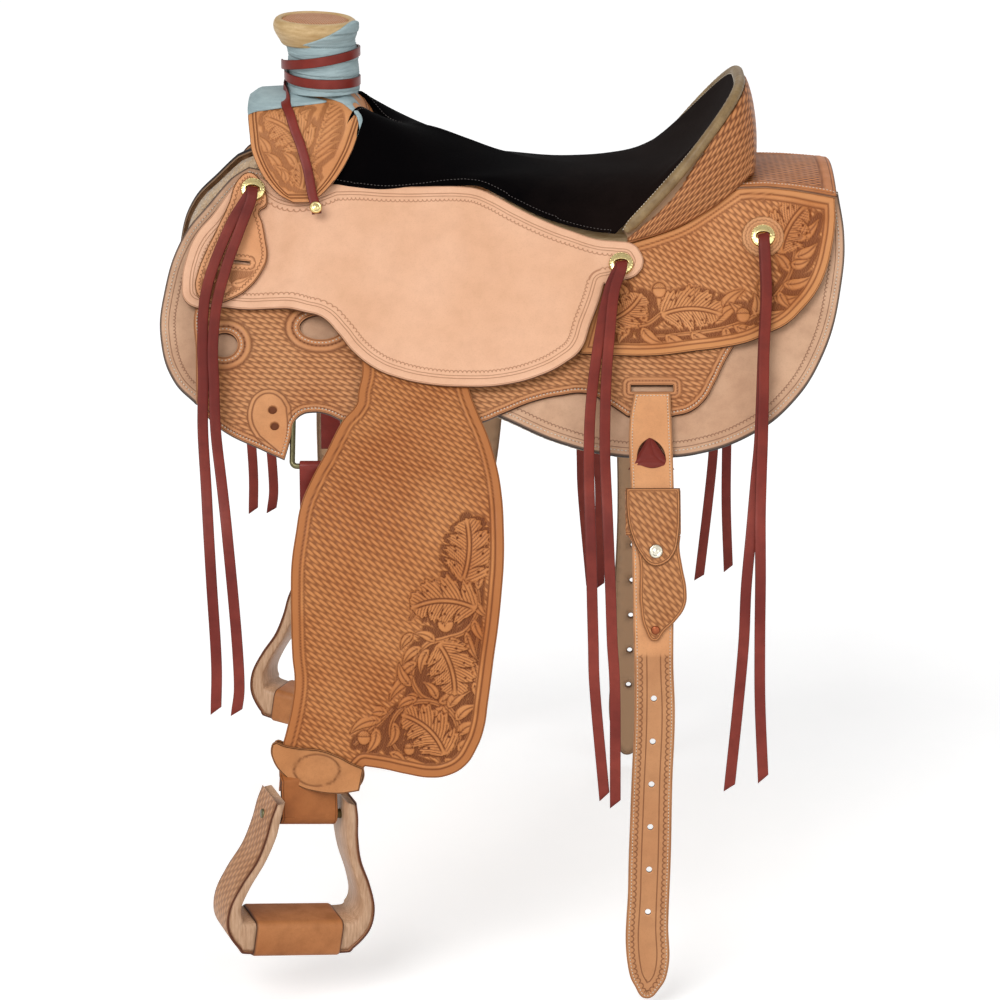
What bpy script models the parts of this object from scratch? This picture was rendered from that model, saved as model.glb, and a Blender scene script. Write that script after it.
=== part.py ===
"""Wade saddle, built as separate leather, wood and metal pieces.

Metres, +Z up. The front of the horse is -X, the near side is -Y. The origin lies
on the centre plane, low in the arch under the seat, where the horse's back is.

Everything that lies on the horse's side is laid out flat and then bent onto it.
A place on the side is (x, s, t): x along the horse, s down the slope from the
ridge, t outwards from the horse.
"""
import bpy
import bmesh
import math
from mathutils import Matrix, Vector
import numpy as np

MM = 0.001
GAP = 0.3 * MM

# The horse's side
RIDGE_Y = 55 * MM
RIDGE_Z = 26.5 * MM
SLOPE = math.radians(51)
HANG = math.radians(84)
BEND_START = 310 * MM
BEND_LENGTH = 140 * MM
RISE_DEPTH = 130 * MM
RISE_REACH = 310 * MM
RISE_CENTRE = 20 * MM
RISE_FRONT = 24 * MM
RISE_REAR = 40 * MM

# Layers, from the horse outwards: inner and outer face
FLEECE = (-18 * MM, -2.2 * MM)
SKIRT = (0.0, 5 * MM)
RIGGING = (5.5 * MM, 11 * MM)
REAR_JOCKEY = (12.5 * MM, 16.5 * MM)
FENDER = (15 * MM, 20 * MM)
SEAT_JOCKEY = (21.5 * MM, 26 * MM)
BILLET = (12 * MM, 16.5 * MM)
JOCKEY_FRONT_DROP = 8 * MM
JOCKEY_EAR_DROP = 4 * MM
JOCKEY_FRONT = (-236 * MM, -200 * MM)
JOCKEY_EAR = (70 * MM, 105 * MM)

# Places (x, s, t) that pieces turn about
LEATHER_PIVOT = (-155 * MM, 105 * MM, 17.5 * MM)
FENDER_FOLD = (-88 * MM, 230 * MM, 17.5 * MM)
BILLET_PIVOT = (155 * MM, 224 * MM, 14 * MM)
BOLT_AT = (-197 * MM, 660 * MM, 9.5 * MM)
BOLT_RADIUS = 5 * MM
STIRRUP_YAW = math.radians(20)
STIRRUP_TILT = math.radians(8)
STIRRUP_DEPTH = 50 * MM

# Horn
HORN_X = -193 * MM
WRAP_RADIUS = 36.5 * MM
CAP_Z = 199 * MM
STRAP_WIDTH = 10 * MM
STRAP_THICK = 2.2 * MM
STRAP_TURNS = 2

SIDES = (("near", -1), ("off", 1))


def fresh_collection(name):
    made = bpy.data.collections.new(name)
    bpy.context.scene.collection.children.link(made)
    return made


for left_over in list(bpy.data.objects):
    bpy.data.objects.remove(left_over, do_unlink=True)
PARTS = fresh_collection("wade_saddle")
CUTTERS = fresh_collection("cutters")


def make_material(name, colour, roughness, metallic=0.0):
    made = bpy.data.materials.new(name)
    made.use_nodes = True
    shader = made.node_tree.nodes["Principled BSDF"]
    shader.inputs["Base Color"].default_value = (*colour, 1.0)
    shader.inputs["Roughness"].default_value = roughness
    shader.inputs["Metallic"].default_value = metallic
    made.diffuse_color = (*colour, 1.0)
    return made


TOOLED = make_material("tooled_leather", (0.55, 0.24, 0.10), 0.5)
NATURAL = make_material("natural_leather", (0.82, 0.52, 0.36), 0.5)
LATIGO = make_material("latigo_leather", (0.20, 0.035, 0.025), 0.45)
SUEDE = make_material("black_suede", (0.012, 0.010, 0.010), 0.9)
RAWHIDE = make_material("rawhide", (0.50, 0.40, 0.21), 0.5)
HORN_WRAP = make_material("horn_wrap_leather", (0.38, 0.52, 0.55), 0.7)
BRASS = make_material("brass", (0.72, 0.55, 0.24), 0.25, 1.0)
STEEL = make_material("steel", (0.55, 0.55, 0.52), 0.3, 1.0)
WOOD = make_material("wood", (0.62, 0.42, 0.24), 0.55)
WOOL = make_material("wool_fleece", (0.70, 0.66, 0.56), 0.95)


def slope_angle(s):
    k = np.clip((np.asarray(s, float) - BEND_START) / BEND_LENGTH, 0.0, 1.0)
    return SLOPE + (HANG - SLOPE) * k * k * (3 - 2 * k)


# Every piece on the side is cut along these lines, so that all of them share the same flats
RIDGE_LINES = [line * MM for line in (-60, 0, 25, 55, 90, 130)]
BEND_LINES = [BEND_START + BEND_LENGTH * i / 4 for i in range(5)]
SIDE_LINES = RIDGE_LINES + BEND_LINES + [1.1]
CROSS_LINES = [line * MM for line in range(-360, 361, 90)]


def travel(reach):
    """How far out and down the side has gone at a distance down the slope."""
    count = 400
    if reach <= 0:
        return RIDGE_Y + reach * math.cos(SLOPE), RIDGE_Z - reach * math.sin(SLOPE)
    angles = slope_angle((np.arange(count) + 0.5) * reach / count)
    return (
        RIDGE_Y + float(np.cos(angles).sum()) * reach / count,
        RIDGE_Z - float(np.sin(angles).sum()) * reach / count,
    )


OUT = [travel(line)[0] for line in SIDE_LINES]
UP = [travel(line)[1] for line in SIDE_LINES]
OUT_LEAN = [math.sin(slope_angle(line)) for line in SIDE_LINES]
UP_LEAN = [math.cos(slope_angle(line)) for line in SIDE_LINES]
FADE = [max(0.0, 1 - max(line, 0.0) / RISE_DEPTH) ** 2 for line in SIDE_LINES]
CLIMB = [
    (RISE_REAR if line > RISE_CENTRE else RISE_FRONT) * ((line - RISE_CENTRE) / RISE_REACH) ** 2
    for line in CROSS_LINES
]


def place(x, s, t, side=-1):
    """World point for a place (x, s, t) on one side of the horse."""
    out = np.interp(s, SIDE_LINES, OUT) + t * np.interp(s, SIDE_LINES, OUT_LEAN)
    up = np.interp(s, SIDE_LINES, UP) + t * np.interp(s, SIDE_LINES, UP_LEAN)
    climb = np.interp(x, CROSS_LINES, CLIMB) * np.interp(s, SIDE_LINES, FADE)
    return Vector((x, side * float(out), float(up + climb)))


def ease(value, start, end):
    k = min(1.0, max(0.0, (value - start) / (end - start)))
    return k * k * (3 - 2 * k)


def smooth(knots, at):
    """A smooth curve through (parameter, value) knots."""
    params = [k[0] for k in knots]
    i = min(max(int(np.searchsorted(params, at)) - 1, 0), len(knots) - 2)
    p0, p1 = knots[i], knots[i + 1]
    before = knots[i - 1] if i else p0
    after = knots[i + 2] if i + 2 < len(knots) else p1
    span = p1[0] - p0[0]
    slope0 = (p1[1] - before[1]) / (p1[0] - before[0])
    slope1 = (after[1] - p0[1]) / (after[0] - p0[0])
    k = (at - p0[0]) / span
    return (
        (2 * k**3 - 3 * k**2 + 1) * p0[1]
        + (k**3 - 2 * k**2 + k) * slope0 * span
        + (3 * k**2 - 2 * k**3) * p1[1]
        + (k**3 - k**2) * slope1 * span
    )


def add_object(name, mesh, material, where=None):
    made = bpy.data.objects.new(name, mesh)
    (where or PARTS).objects.link(made)
    mesh.materials.clear()
    if material:
        mesh.materials.append(material)
    if where is CUTTERS:
        made.hide_render = True
        made.display_type = "WIRE"
    return made


def face_outwards(bm):
    bm.normal_update()
    bmesh.ops.recalc_face_normals(bm, faces=bm.faces)
    if bm.calc_volume(signed=True) < 0:
        bmesh.ops.reverse_faces(bm, faces=bm.faces)


def mesh_from(bm, name):
    face_outwards(bm)
    mesh = bpy.data.meshes.new(name)
    bm.to_mesh(mesh)
    bm.free()
    return mesh


def flat_outline(outline, resolution):
    """A flat face in millimetres; a third value of 1 marks a sharp corner."""
    curve = bpy.data.curves.new("outline", "CURVE")
    curve.dimensions = "2D"
    curve.fill_mode = "NONE"
    curve.resolution_u = resolution
    spline = curve.splines.new("BEZIER")
    spline.bezier_points.add(len(outline) - 1)
    for knot, point in zip(spline.bezier_points, outline):
        kind = "VECTOR" if len(point) > 2 else "AUTO"
        knot.co = (point[0], point[1], 0)
        knot.handle_left_type = kind
        knot.handle_right_type = kind
    spline.use_cyclic_u = True
    holder = bpy.data.objects.new("outline", curve)
    bpy.context.scene.collection.objects.link(holder)
    bpy.context.view_layer.update()
    graph = bpy.context.evaluated_depsgraph_get()
    mesh = bpy.data.meshes.new_from_object(holder.evaluated_get(graph))
    bm = bmesh.new()
    bm.from_mesh(mesh)
    bpy.data.objects.remove(holder)
    bpy.data.meshes.remove(mesh)
    bmesh.ops.remove_doubles(bm, verts=bm.verts, dist=0.05)
    bmesh.ops.edgeloop_fill(bm, edges=bm.edges)
    return bm


def slice_face(bm, axis, values):
    normal = (1, 0, 0) if axis == 0 else (0, 1, 0)
    for value in values:
        point = (value, 0, 0) if axis == 0 else (0, value, 0)
        geometry = bm.verts[:] + bm.edges[:] + bm.faces[:]
        bmesh.ops.bisect_plane(bm, geom=geometry, dist=0.01, plane_co=point, plane_no=normal)


def grid_lines(bm, more):
    """Cuts where the side bends: near the ridge, and below the skirts."""
    xs = [v.co.x for v in bm.verts]
    ss = [v.co.y for v in bm.verts]
    low, high = min(ss), max(ss)
    slice_face(bm, 1, [line / MM for line in RIDGE_LINES + BEND_LINES if low < line / MM < high])
    if low < RIDGE_LINES[-1] / MM:
        slice_face(bm, 0, [line / MM for line in (*CROSS_LINES, *more) if min(xs) < line / MM < max(xs)])


def bend_mesh(bm, inner, side):
    for vert in bm.verts:
        x, s = vert.co.x * MM, vert.co.y * MM
        t = inner(x, s) if callable(inner) else inner
        vert.co = place(x, s, t, side)
    bm.normal_update()
    facing = sum((f.normal.y * side + f.normal.z) * f.calc_area() for f in bm.faces)
    if facing < 0:
        bmesh.ops.reverse_faces(bm, faces=bm.faces)


def thicken(made, thickness, offset=1.0):
    solid = made.modifiers.new("thickness", "SOLIDIFY")
    solid.thickness = thickness
    solid.offset = offset
    solid.use_even_offset = True
    return solid


def panel(name, outline, layer, side, material, resolution=2, where=None, inner=None, more=()):
    """A piece of leather cut flat to an outline and bent onto the side."""
    bm = flat_outline(outline, resolution)
    grid_lines(bm, more)
    bend_mesh(bm, inner or layer[0], side)
    mesh = bpy.data.meshes.new(name)
    bm.to_mesh(mesh)
    bm.free()
    made = add_object(name, mesh, material, where)
    thicken(made, layer[1] - layer[0])
    return made


def cut(piece, cutter, operation="DIFFERENCE"):
    change = piece.modifiers.new("cut", "BOOLEAN")
    change.operation = operation
    change.object = cutter
    change.solver = "EXACT"


def round_outline(centre, radius, count=8, stretch=1.0):
    turns = [2 * math.pi * i / count for i in range(count)]
    return [
        (centre[0] + radius * math.cos(a), centre[1] + radius * stretch * math.sin(a)) for a in turns
    ]


def hole(piece, outline, layer, side, resolution=2):
    """Cuts an outline right through a bent panel."""
    past = 1.5 * MM
    reach = (layer[0] - past, layer[1] + past)
    cutter = panel("cut_" + piece.name, outline, reach, side, None, resolution, CUTTERS)
    cut(piece, cutter)


def skin(bm, one, two):
    """Faces between two rings of points."""
    count = len(one)
    for i in range(count):
        j = (i + 1) % count
        bm.faces.new((one[i], one[j], two[j], two[i]))


def loft(name, rings, material):
    """A solid through rings of equal point counts."""
    bm = bmesh.new()
    rows = [[bm.verts.new(p) for p in ring] for ring in rings]
    for one, two in zip(rows, rows[1:]):
        skin(bm, one, two)
    bm.faces.new(list(reversed(rows[0])))
    bm.faces.new(rows[-1])
    return add_object(name, mesh_from(bm, name), material)


def sleeve(name, outer, inner, material):
    """A skin through outer rings and one through inner rings, joined at both open ends."""
    bm = bmesh.new()
    shells = [[[bm.verts.new(p) for p in ring] for ring in rings] for rings in (outer, inner)]
    for rows in shells:
        for one, two in zip(rows, rows[1:]):
            skin(bm, one, two)
    for end in (0, -1):
        skin(bm, shells[0][end], shells[1][end])
    return add_object(name, mesh_from(bm, name), material)


def sheet(name, grid, material, thickness, offset, up=(0, 0, 1)):
    """A grid of points as an open surface with a thickness."""
    bm = bmesh.new()
    rows = [[bm.verts.new(p) for p in row] for row in grid]
    for one, two in zip(rows, rows[1:]):
        for i in range(len(one) - 1):
            bm.faces.new((one[i], one[i + 1], two[i + 1], two[i]))
    bm.normal_update()
    toward = Vector(up)
    if sum(f.normal.dot(toward) * f.calc_area() for f in bm.faces) < 0:
        bmesh.ops.reverse_faces(bm, faces=bm.faces)
    mesh = bpy.data.meshes.new(name)
    bm.to_mesh(mesh)
    bm.free()
    made = add_object(name, mesh, material)
    thicken(made, thickness, offset)
    return made


def between(name, front, back, material):
    """A closed solid between two grids of the same size."""
    bm = bmesh.new()
    a = [[bm.verts.new(p) for p in row] for row in front]
    b = [[bm.verts.new(p) for p in row] for row in back]
    rows, columns = len(a), len(a[0])
    for grid in (a, b):
        for i in range(rows - 1):
            for j in range(columns - 1):
                bm.faces.new((grid[i][j], grid[i][j + 1], grid[i + 1][j + 1], grid[i + 1][j]))
    border = [(0, j) for j in range(columns)]
    border += [(i, columns - 1) for i in range(1, rows)]
    border += [(rows - 1, j) for j in range(columns - 2, -1, -1)]
    border += [(i, 0) for i in range(rows - 2, 0, -1)]
    for (i, j), (k, m) in zip(border, border[1:] + border[:1]):
        bm.faces.new((a[i][j], a[k][m], b[k][m], b[i][j]))
    return add_object(name, mesh_from(bm, name), material)


def ribbon(name, stations, thickness, material, where=None):
    """A strap swept along stations of (left edge, right edge)."""
    bm = bmesh.new()
    rows = [(bm.verts.new(left), bm.verts.new(right)) for left, right in stations]
    for one, two in zip(rows, rows[1:]):
        bm.faces.new((one[0], one[1], two[1], two[0]))
    mesh = bpy.data.meshes.new(name)
    bm.to_mesh(mesh)
    bm.free()
    made = add_object(name, mesh, material, where)
    thicken(made, thickness, 0.0)
    return made


def tube(name, points, radius, material, closed=False, sides=2, where=None):
    curve = bpy.data.curves.new(name, "CURVE")
    curve.dimensions = "3D"
    curve.bevel_depth = radius
    curve.bevel_resolution = sides
    curve.use_fill_caps = not closed
    spline = curve.splines.new("POLY")
    spline.points.add(len(points) - 1)
    for knot, point in zip(spline.points, points):
        knot.co = (*point, 1)
    spline.use_cyclic_u = closed
    holder = bpy.data.objects.new(name, curve)
    bpy.context.scene.collection.objects.link(holder)
    bpy.context.view_layer.update()
    graph = bpy.context.evaluated_depsgraph_get()
    mesh = bpy.data.meshes.new_from_object(holder.evaluated_get(graph))
    bpy.data.objects.remove(holder)
    bm = bmesh.new()
    bm.from_mesh(mesh)
    bmesh.ops.remove_doubles(bm, verts=bm.verts, dist=0.01 * MM)
    bpy.data.meshes.remove(mesh)
    return add_object(name, mesh_from(bm, name), material, where)


def turned(name, profile, material, steps=20, matrix=None):
    """A solid turned round its own Z axis from (radius, height) pairs."""
    bm = bmesh.new()
    verts = [bm.verts.new((r, 0, z)) for r, z in profile]
    for one, two in zip(verts, verts[1:]):
        bm.edges.new((one, two))
    bmesh.ops.spin(
        bm, geom=bm.verts[:] + bm.edges[:], cent=(0, 0, 0), axis=(0, 0, 1),
        angle=2 * math.pi, steps=steps, use_duplicate=False,
    )
    bmesh.ops.remove_doubles(bm, verts=bm.verts, dist=0.01 * MM)
    if matrix:
        bm.transform(matrix)
    return add_object(name, mesh_from(bm, name), material)


def side_frame(x, s, t, side):
    """A matrix standing on the side: its Z axis points outwards, its Y axis up the slope."""
    here = place(x, s, t, side)
    d = 6 * MM
    along = place(x + d, s, t, side) - place(x - d, s, t, side)
    upward = place(x, s - d, t, side) - place(x, s + d, t, side)
    outward = along.cross(upward).normalized()
    if outward.y * side < 0:
        outward = -outward
    along.normalize()
    upward = outward.cross(along)
    if upward.z < 0:
        along, upward = -along, -upward
    return Matrix.Translation(here) @ Matrix((along, upward, outward)).transposed().to_4x4()


SKIRT_OUTLINE = [
    (-262, -16, 1), (-276, -4), (-300, 21), (-331, 58), (-347, 108), (-349, 161), (-334, 207),
    (-311, 232, 1), (-266, 242), (-204, 233), (-102, 223), (-20, 239), (61, 275), (114, 289),
    (155, 291), (201, 287), (256, 266), (296, 234), (331, 179), (353, 100), (357, 58),
    (351, 24, 1), (250, 18, 1), (120, 10, 1), (-150, -4, 1),
]
RIGGING_OUTLINE = [
    (-300, 106, 1), (-312, 122), (-312, 180), (-310, 234, 1), (-286, 261), (-240, 286),
    (-219, 296, 1), (-213, 272), (-210, 255), (-202, 246), (-192, 243.5), (-178, 245),
    (-161, 253, 1), (-90, 263), (-20, 255), (3, 245), (33, 232), (61, 225), (89, 223),
    (112, 235), (130, 248, 1), (176, 248, 1), (194, 243), (209, 230), (219, 212), (232, 184),
    (246, 160, 1), (250, 110, 1), (0, 100, 1),
]
SEAT_JOCKEY_OUTLINE = [
    (-277, 15, 1), (-297, 37), (-314, 56), (-324, 78), (-328, 105), (-325, 121), (-312, 130),
    (-293, 129), (-261, 132), (-222, 132), (-202, 138), (-183, 144), (-166, 162), (-150, 183),
    (-127, 202), (-104, 212), (-75, 219), (-36, 222), (3, 220), (42, 209), (67, 195),
    (82, 181), (93, 150), (102, 124), (107, 105, 1), (126, 101), (141, 95), (148, 82),
    (145, 70), (137, 61), (120, 57.5, 1), (103, 55.5), (74, 47), (46, 35), (17, 19.5),
    (-6, 6), (-24, -1.5), (-42, -3.5), (-62, -1), (-91, 5), (-119, 9), (-148, 8),
    (-170, 9, 1), (-186, 22), (-204, 29), (-223, 26), (-238, 19), (-254, 8, 1),
]
REAR_JOCKEY_OUTLINE = [
    (81, 181, 1), (120, 183), (160, 183), (199, 178), (228, 174), (257, 167), (277, 157),
    (294, 148), (312, 130), (326, 112), (336, 93), (343, 71), (347, 50), (347, 30, 1),
    (324, 24.5), (301, 18.5), (270, 12.5), (249, 10.5, 1), (233, 18), (212, 29), (191, 40),
    (165, 49), (141, 56), (112, 64, 1),
]
FENDER_OUTLINE = [
    (-146, 231.5, 1), (-160, 257), (-176, 291), (-191, 322), (-201, 347), (-206, 374), (-210, 400),
    (-211, 426), (-211, 454), (-210, 494), (-208, 518), (-211, 545), (-216, 568),
    (-222, 590, 1), (-226, 642, 1), (-163, 645, 1), (-150, 622), (-137, 608, 1), (-118, 611), (-96, 616),
    (-71, 620), (-54, 618), (-36, 608), (-23, 588), (-16, 568), (-12, 541), (-9, 518),
    (-6, 494), (-2, 465), (2, 426), (4, 400), (4, 370), (2, 338), (-4, 303), (-13, 272),
    (-23, 247), (-29, 231.5, 1),
]
STIRRUP_LEATHER_OUTLINE = [
    (-178, 84, 1), (-102, 84, 1), (-64, 130), (-40, 180), (-30, 227, 1), (-145, 227, 1),
    (-141, 200), (-147, 170), (-160, 130),
]
HOBBLE_OUTLINE = [
    (-228, 578), (-221, 586), (-203, 589), (-182, 590), (-163, 597), (-150, 604), (-138, 609, 1),
    (-143, 633, 1), (-164, 636), (-186, 634), (-203, 629), (-218, 618), (-230, 602), (-232, 586),
]
STRAP_KEEPER_OUTLINE = [
    (-260, -1), (-250, 3), (-244, 12), (-241, 21), (-242, 28), (-249, 34), (-246, 43), (-242, 61), (-240, 78),
    (-246, 94), (-258, 110), (-273, 121), (-292, 127), (-308, 123), (-314, 111), (-312, 95),
    (-305, 76), (-294, 54), (-281, 28), (-273, 8),
]
BILLET_OUTLINE = [
    (137, 225, 1), (132, 255), (132, 327), (134, 438), (136, 545), (133, 651), (131, 733),
    (132, 825), (138, 841), (150, 855), (165, 843), (172, 827), (172.5, 774), (174.5, 705),
    (175.5, 625), (177.5, 555), (175.5, 500), (176, 400), (175.5, 300), (174, 225, 1),
]
BILLET_KEEPER_OUTLINE = [
    (126, 330, 1), (127, 356), (131, 376), (138, 390), (141, 440), (146, 465), (156, 478),
    (167, 467), (177, 457), (187, 441), (188, 425), (184, 405), (181, 386), (183, 366),
    (182.5, 330, 1),
]


def jockey_inner(x, s):
    """The seat jockey lies lower in front and where its rear ear meets the rear jockey."""
    front = JOCKEY_FRONT_DROP * ease(-x, -JOCKEY_FRONT[1], -JOCKEY_FRONT[0])
    ear = JOCKEY_EAR_DROP * ease(x, *JOCKEY_EAR)
    return SEAT_JOCKEY[0] - front - ear


def make_skirts(word, side):
    panel("skirt_" + word, SKIRT_OUTLINE, SKIRT, side, NATURAL)
    inset = [(x * 0.985, 1 + s * 0.975, *rest) for x, s, *rest in SKIRT_OUTLINE]
    panel("fleece_" + word, inset, FLEECE, side, WOOL, 1)


def make_rigging(word, side):
    plate = panel("rigging_plate_" + word, RIGGING_OUTLINE, RIGGING, side, TOOLED)
    hole(plate, round_outline((-283, 169), 13.5), RIGGING, side)
    hole(plate, round_outline((-184, 149), 22, stretch=0.62), RIGGING, side)
    hole(plate, [(134, 214, 1), (177, 214, 1), (177, 221, 1), (134, 221, 1)], RIGGING, side)
    make_dee(word, side, plate)


DEE_RADIUS = 2.2 * MM
DEE_T = 8.25 * MM
DEE_BOX = (-211 * MM, -160 * MM, 234 * MM, 303 * MM)
LATIGO_WIDTH = 36 * MM


def dee_points(side):
    x0, x1, s0, s1 = DEE_BOX
    corner = 5 * MM
    path = []
    for cx, cs, start in ((x1, s0, -90), (x1, s1, 0), (x0, s1, 90), (x0, s0, 180)):
        mx = cx - math.copysign(corner, cx - (x0 + x1) / 2)
        ms = cs - math.copysign(corner, cs - (s0 + s1) / 2)
        for step in range(4):
            a = math.radians(start + 30 * step)
            path.append(place(mx + corner * math.cos(a), ms + corner * math.sin(a), DEE_T, side))
    return path


def make_dee(word, side, plate):
    points = dee_points(side)
    tube("rigging_dee_" + word, points, DEE_RADIUS, STEEL, closed=True)
    channel = tube("cut_dee_" + word, points, DEE_RADIUS + GAP, None, closed=True, where=CUTTERS)
    cut(plate, channel)
    make_latigo(word, side)


def make_latigo(word, side):
    """The strap goes over the dee's lower bar and hangs straight down from it."""
    middle = (DEE_BOX[0] + DEE_BOX[1]) / 2
    bar = place(middle, DEE_BOX[3], DEE_T, side)
    wrap = DEE_RADIUS + 0.5 * MM + 1.5 * MM
    out = Vector((0, side, 0))
    up = Vector((0, 0, 1))
    path = [bar - out * wrap - up * 70 * MM, bar - out * wrap - up * 30 * MM]
    for step in range(7):
        a = math.pi * (1 - step / 6)
        path.append(bar + out * wrap * math.cos(a) + up * wrap * math.sin(a))
    path += [bar + out * wrap - up * 40 * MM, bar + out * wrap - up * 130 * MM]
    half = Vector((LATIGO_WIDTH / 2, 0, 0))
    ribbon("latigo_" + word, [(p - half, p + half) for p in path], 3 * MM, LATIGO)


def make_fender(word, side):
    fender = panel("fender_" + word, FENDER_OUTLINE, FENDER, side, TOOLED)
    cut(fender, fender_tail(word, side), "UNION")
    panel("stirrup_leather_" + word, STIRRUP_LEATHER_OUTLINE, FENDER, side, TOOLED, 1)
    make_hobble(word, side)


def make_hobble(word, side):
    reach = (11 * MM, 23.5 * MM)
    hobble = panel("stirrup_hobble_" + word, HOBBLE_OUTLINE, reach, side, TOOLED)
    room = (FENDER[0] - 0.35 * MM, FENDER[1] + 0.35 * MM)
    past = [
        (-222.8, 560, 1), (-222.8, 589, 1), (-227, 650, 1), (-159.5, 650, 1), (-146, 622), (-134, 605, 1),
        (-100, 611, 1), (-100, 560, 1),
    ]
    cut(hobble, panel("cut_hobble_" + word, past, room, side, None, 2, CUTTERS))


def stirrup_axes(side):
    """Along the bolt, down, and outwards, for a stirrup turned and tilted."""
    along = Vector((math.cos(STIRRUP_YAW), -side * math.sin(STIRRUP_YAW), 0))
    outward = Vector((math.sin(STIRRUP_YAW), side * math.cos(STIRRUP_YAW), 0))
    turn = Matrix.Rotation(STIRRUP_TILT, 3, Vector((0, 1, 0)))
    along = turn @ along
    outward = turn @ outward
    down = turn @ Vector((0, 0, -1))
    return along, down, outward


def fender_tail(word, side):
    """The plain end of the leather goes round the bolt and back up behind."""
    centre = place(*BOLT_AT, side)
    along, down, outward = stirrup_axes(side)
    thick = FENDER[1] - FENDER[0] - 0.4 * MM
    bend = BOLT_RADIUS + 1.4 * MM + thick / 2
    middle = (FENDER[0] + FENDER[1]) / 2
    half = 30 * MM
    top = place(-194.5 * MM, 639 * MM, middle, side)
    stations = [(top - Vector((half, 0, 0)), top + Vector((half, 0, 0)))]
    for step in range(9):
        a = math.pi * step / 8
        at = centre + outward * bend * math.cos(a) + down * bend * math.sin(a)
        stations.append((at - along * half, at + along * half))
    back = centre - outward * (bend + 0.5 * MM) - down * 14 * MM
    stations.append((back - along * half, back + along * half))
    tail = ribbon("cut_tail_" + word, stations, thick, None, CUTTERS)
    return tail


STIRRUP_OUTER = [
    (-43, -16), (-47, -4), (-50, 14), (-57, 38), (-70, 62), (-79, 86), (-77, 108), (-62, 126),
    (-48, 131, 1), (48, 131, 1), (62, 126), (77, 108), (79, 86), (70, 62), (57, 38), (50, 14),
    (47, -4), (43, -16),
]
STIRRUP_INNER = [
    (33.5, -16, 1), (36, 0), (38, 16), (46, 40), (58, 64), (65, 84), (62, 96), (50, 101, 1),
    (-50, 101, 1), (-62, 96), (-65, 84), (-58, 64), (-46, 40), (-38, 16), (-36, 0), (-33.5, -16, 1),
]
TREAD_BAR = (101 * MM, 131 * MM)
TREAD_HALF = 47 * MM


def make_stirrup(word, side):
    centre = place(*BOLT_AT, side)
    along, down, outward = stirrup_axes(side)
    basis = Matrix((along, down, outward)).transposed().to_4x4()
    stand = Matrix.Translation(centre) @ basis
    bm = flat_outline(STIRRUP_OUTER + STIRRUP_INNER, 3)
    for vert in bm.verts:
        vert.co = stand @ Vector((vert.co.x * MM, vert.co.y * MM, 0))
    mesh = bpy.data.meshes.new("stirrup_frame_" + word)
    bm.to_mesh(mesh)
    bm.free()
    frame = add_object("stirrup_frame_" + word, mesh, WOOD)
    thicken(frame, STIRRUP_DEPTH, 0.0)
    quarter = stand @ Matrix.Rotation(math.pi / 2, 4, "Y")
    pin = [(0, -48 * MM), (BOLT_RADIUS, -48 * MM), (BOLT_RADIUS, 48 * MM), (0, 48 * MM)]
    turned("stirrup_bolt_" + word, pin, STEEL, 14, quarter)
    wide = BOLT_RADIUS + GAP
    drill = [(0, -60 * MM), (wide, -60 * MM), (wide, 60 * MM), (0, 60 * MM)]
    bore = turned("cut_bolt_" + word, drill, None, 14, quarter)
    PARTS.objects.unlink(bore)
    CUTTERS.objects.link(bore)
    bore.hide_render = True
    bore.display_type = "WIRE"
    cut(frame, bore)
    make_tread(word, stand)


def block(name, size, matrix, material, where=None):
    bm = bmesh.new()
    bmesh.ops.create_cube(bm, size=1.0)
    bm.transform(matrix @ Matrix.Diagonal((*size, 1)))
    return add_object(name, mesh_from(bm, name), material, where)


def make_tread(word, stand):
    """A leather sleeve round the tread bar."""
    middle = (TREAD_BAR[0] + TREAD_BAR[1]) / 2
    deep = TREAD_BAR[1] - TREAD_BAR[0]
    wrap = 3 * MM
    here = stand @ Matrix.Translation((0, middle, 0))
    sleeve = block(
        "stirrup_tread_" + word, (2 * TREAD_HALF, deep + 2 * wrap, STIRRUP_DEPTH + 2 * wrap), here, TOOLED
    )
    core = (4 * TREAD_HALF, deep + 2 * GAP, STIRRUP_DEPTH + 2 * GAP)
    cut(sleeve, block("cut_tread_" + word, core, here, None, CUTTERS))


def make_billet(word, side):
    billet = panel("flank_billet_" + word, BILLET_OUTLINE, BILLET, side, TOOLED)
    for number in range(6):
        at = (156 - 0.9 * number, 538 + 44.9 * number)
        hole(billet, round_outline(at, 3.3, 6), BILLET, side, 1)
    hole(billet, [(152.5, 274, 1), (141, 304, 1), (166, 304, 1)], BILLET, side, 1)
    reach = (8.7 * MM, 19.8 * MM)
    keeper = panel("billet_keeper_" + word, BILLET_KEEPER_OUTLINE, reach, side, TOOLED)
    room = (BILLET[0] - 0.35 * MM, BILLET[1] + 0.35 * MM)
    band = [(129.5, 318, 1), (178.5, 318, 1), (180.5, 500, 1), (130.5, 500, 1)]
    cut(keeper, panel("cut_band_" + word, band, room, side, None, 1, CUTTERS))
    below = [(110, 388, 1), (200, 388, 1), (200, 500, 1), (110, 500, 1)]
    back = (reach[0] - 3 * MM, BILLET[1] + 0.35 * MM)
    cut(keeper, panel("cut_back_" + word, below, back, side, None, 1, CUTTERS))


def make_jockeys(word, side):
    panel("seat_jockey_" + word, SEAT_JOCKEY_OUTLINE, SEAT_JOCKEY, side, NATURAL, 2, None, jockey_inner,
          (JOCKEY_FRONT[0], JOCKEY_FRONT[1], JOCKEY_EAR[0], JOCKEY_EAR[1]))
    panel("rear_jockey_" + word, REAR_JOCKEY_OUTLINE, REAR_JOCKEY, side, TOOLED)
    front = (19 * MM, 23 * MM)
    keeper = panel("strap_keeper_" + word, STRAP_KEEPER_OUTLINE, front, side, TOOLED)
    hole(keeper, [(-285, 81, 1), (-258, 83, 1), (-258, 86, 1), (-285, 84, 1)], front, side, 1)


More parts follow.
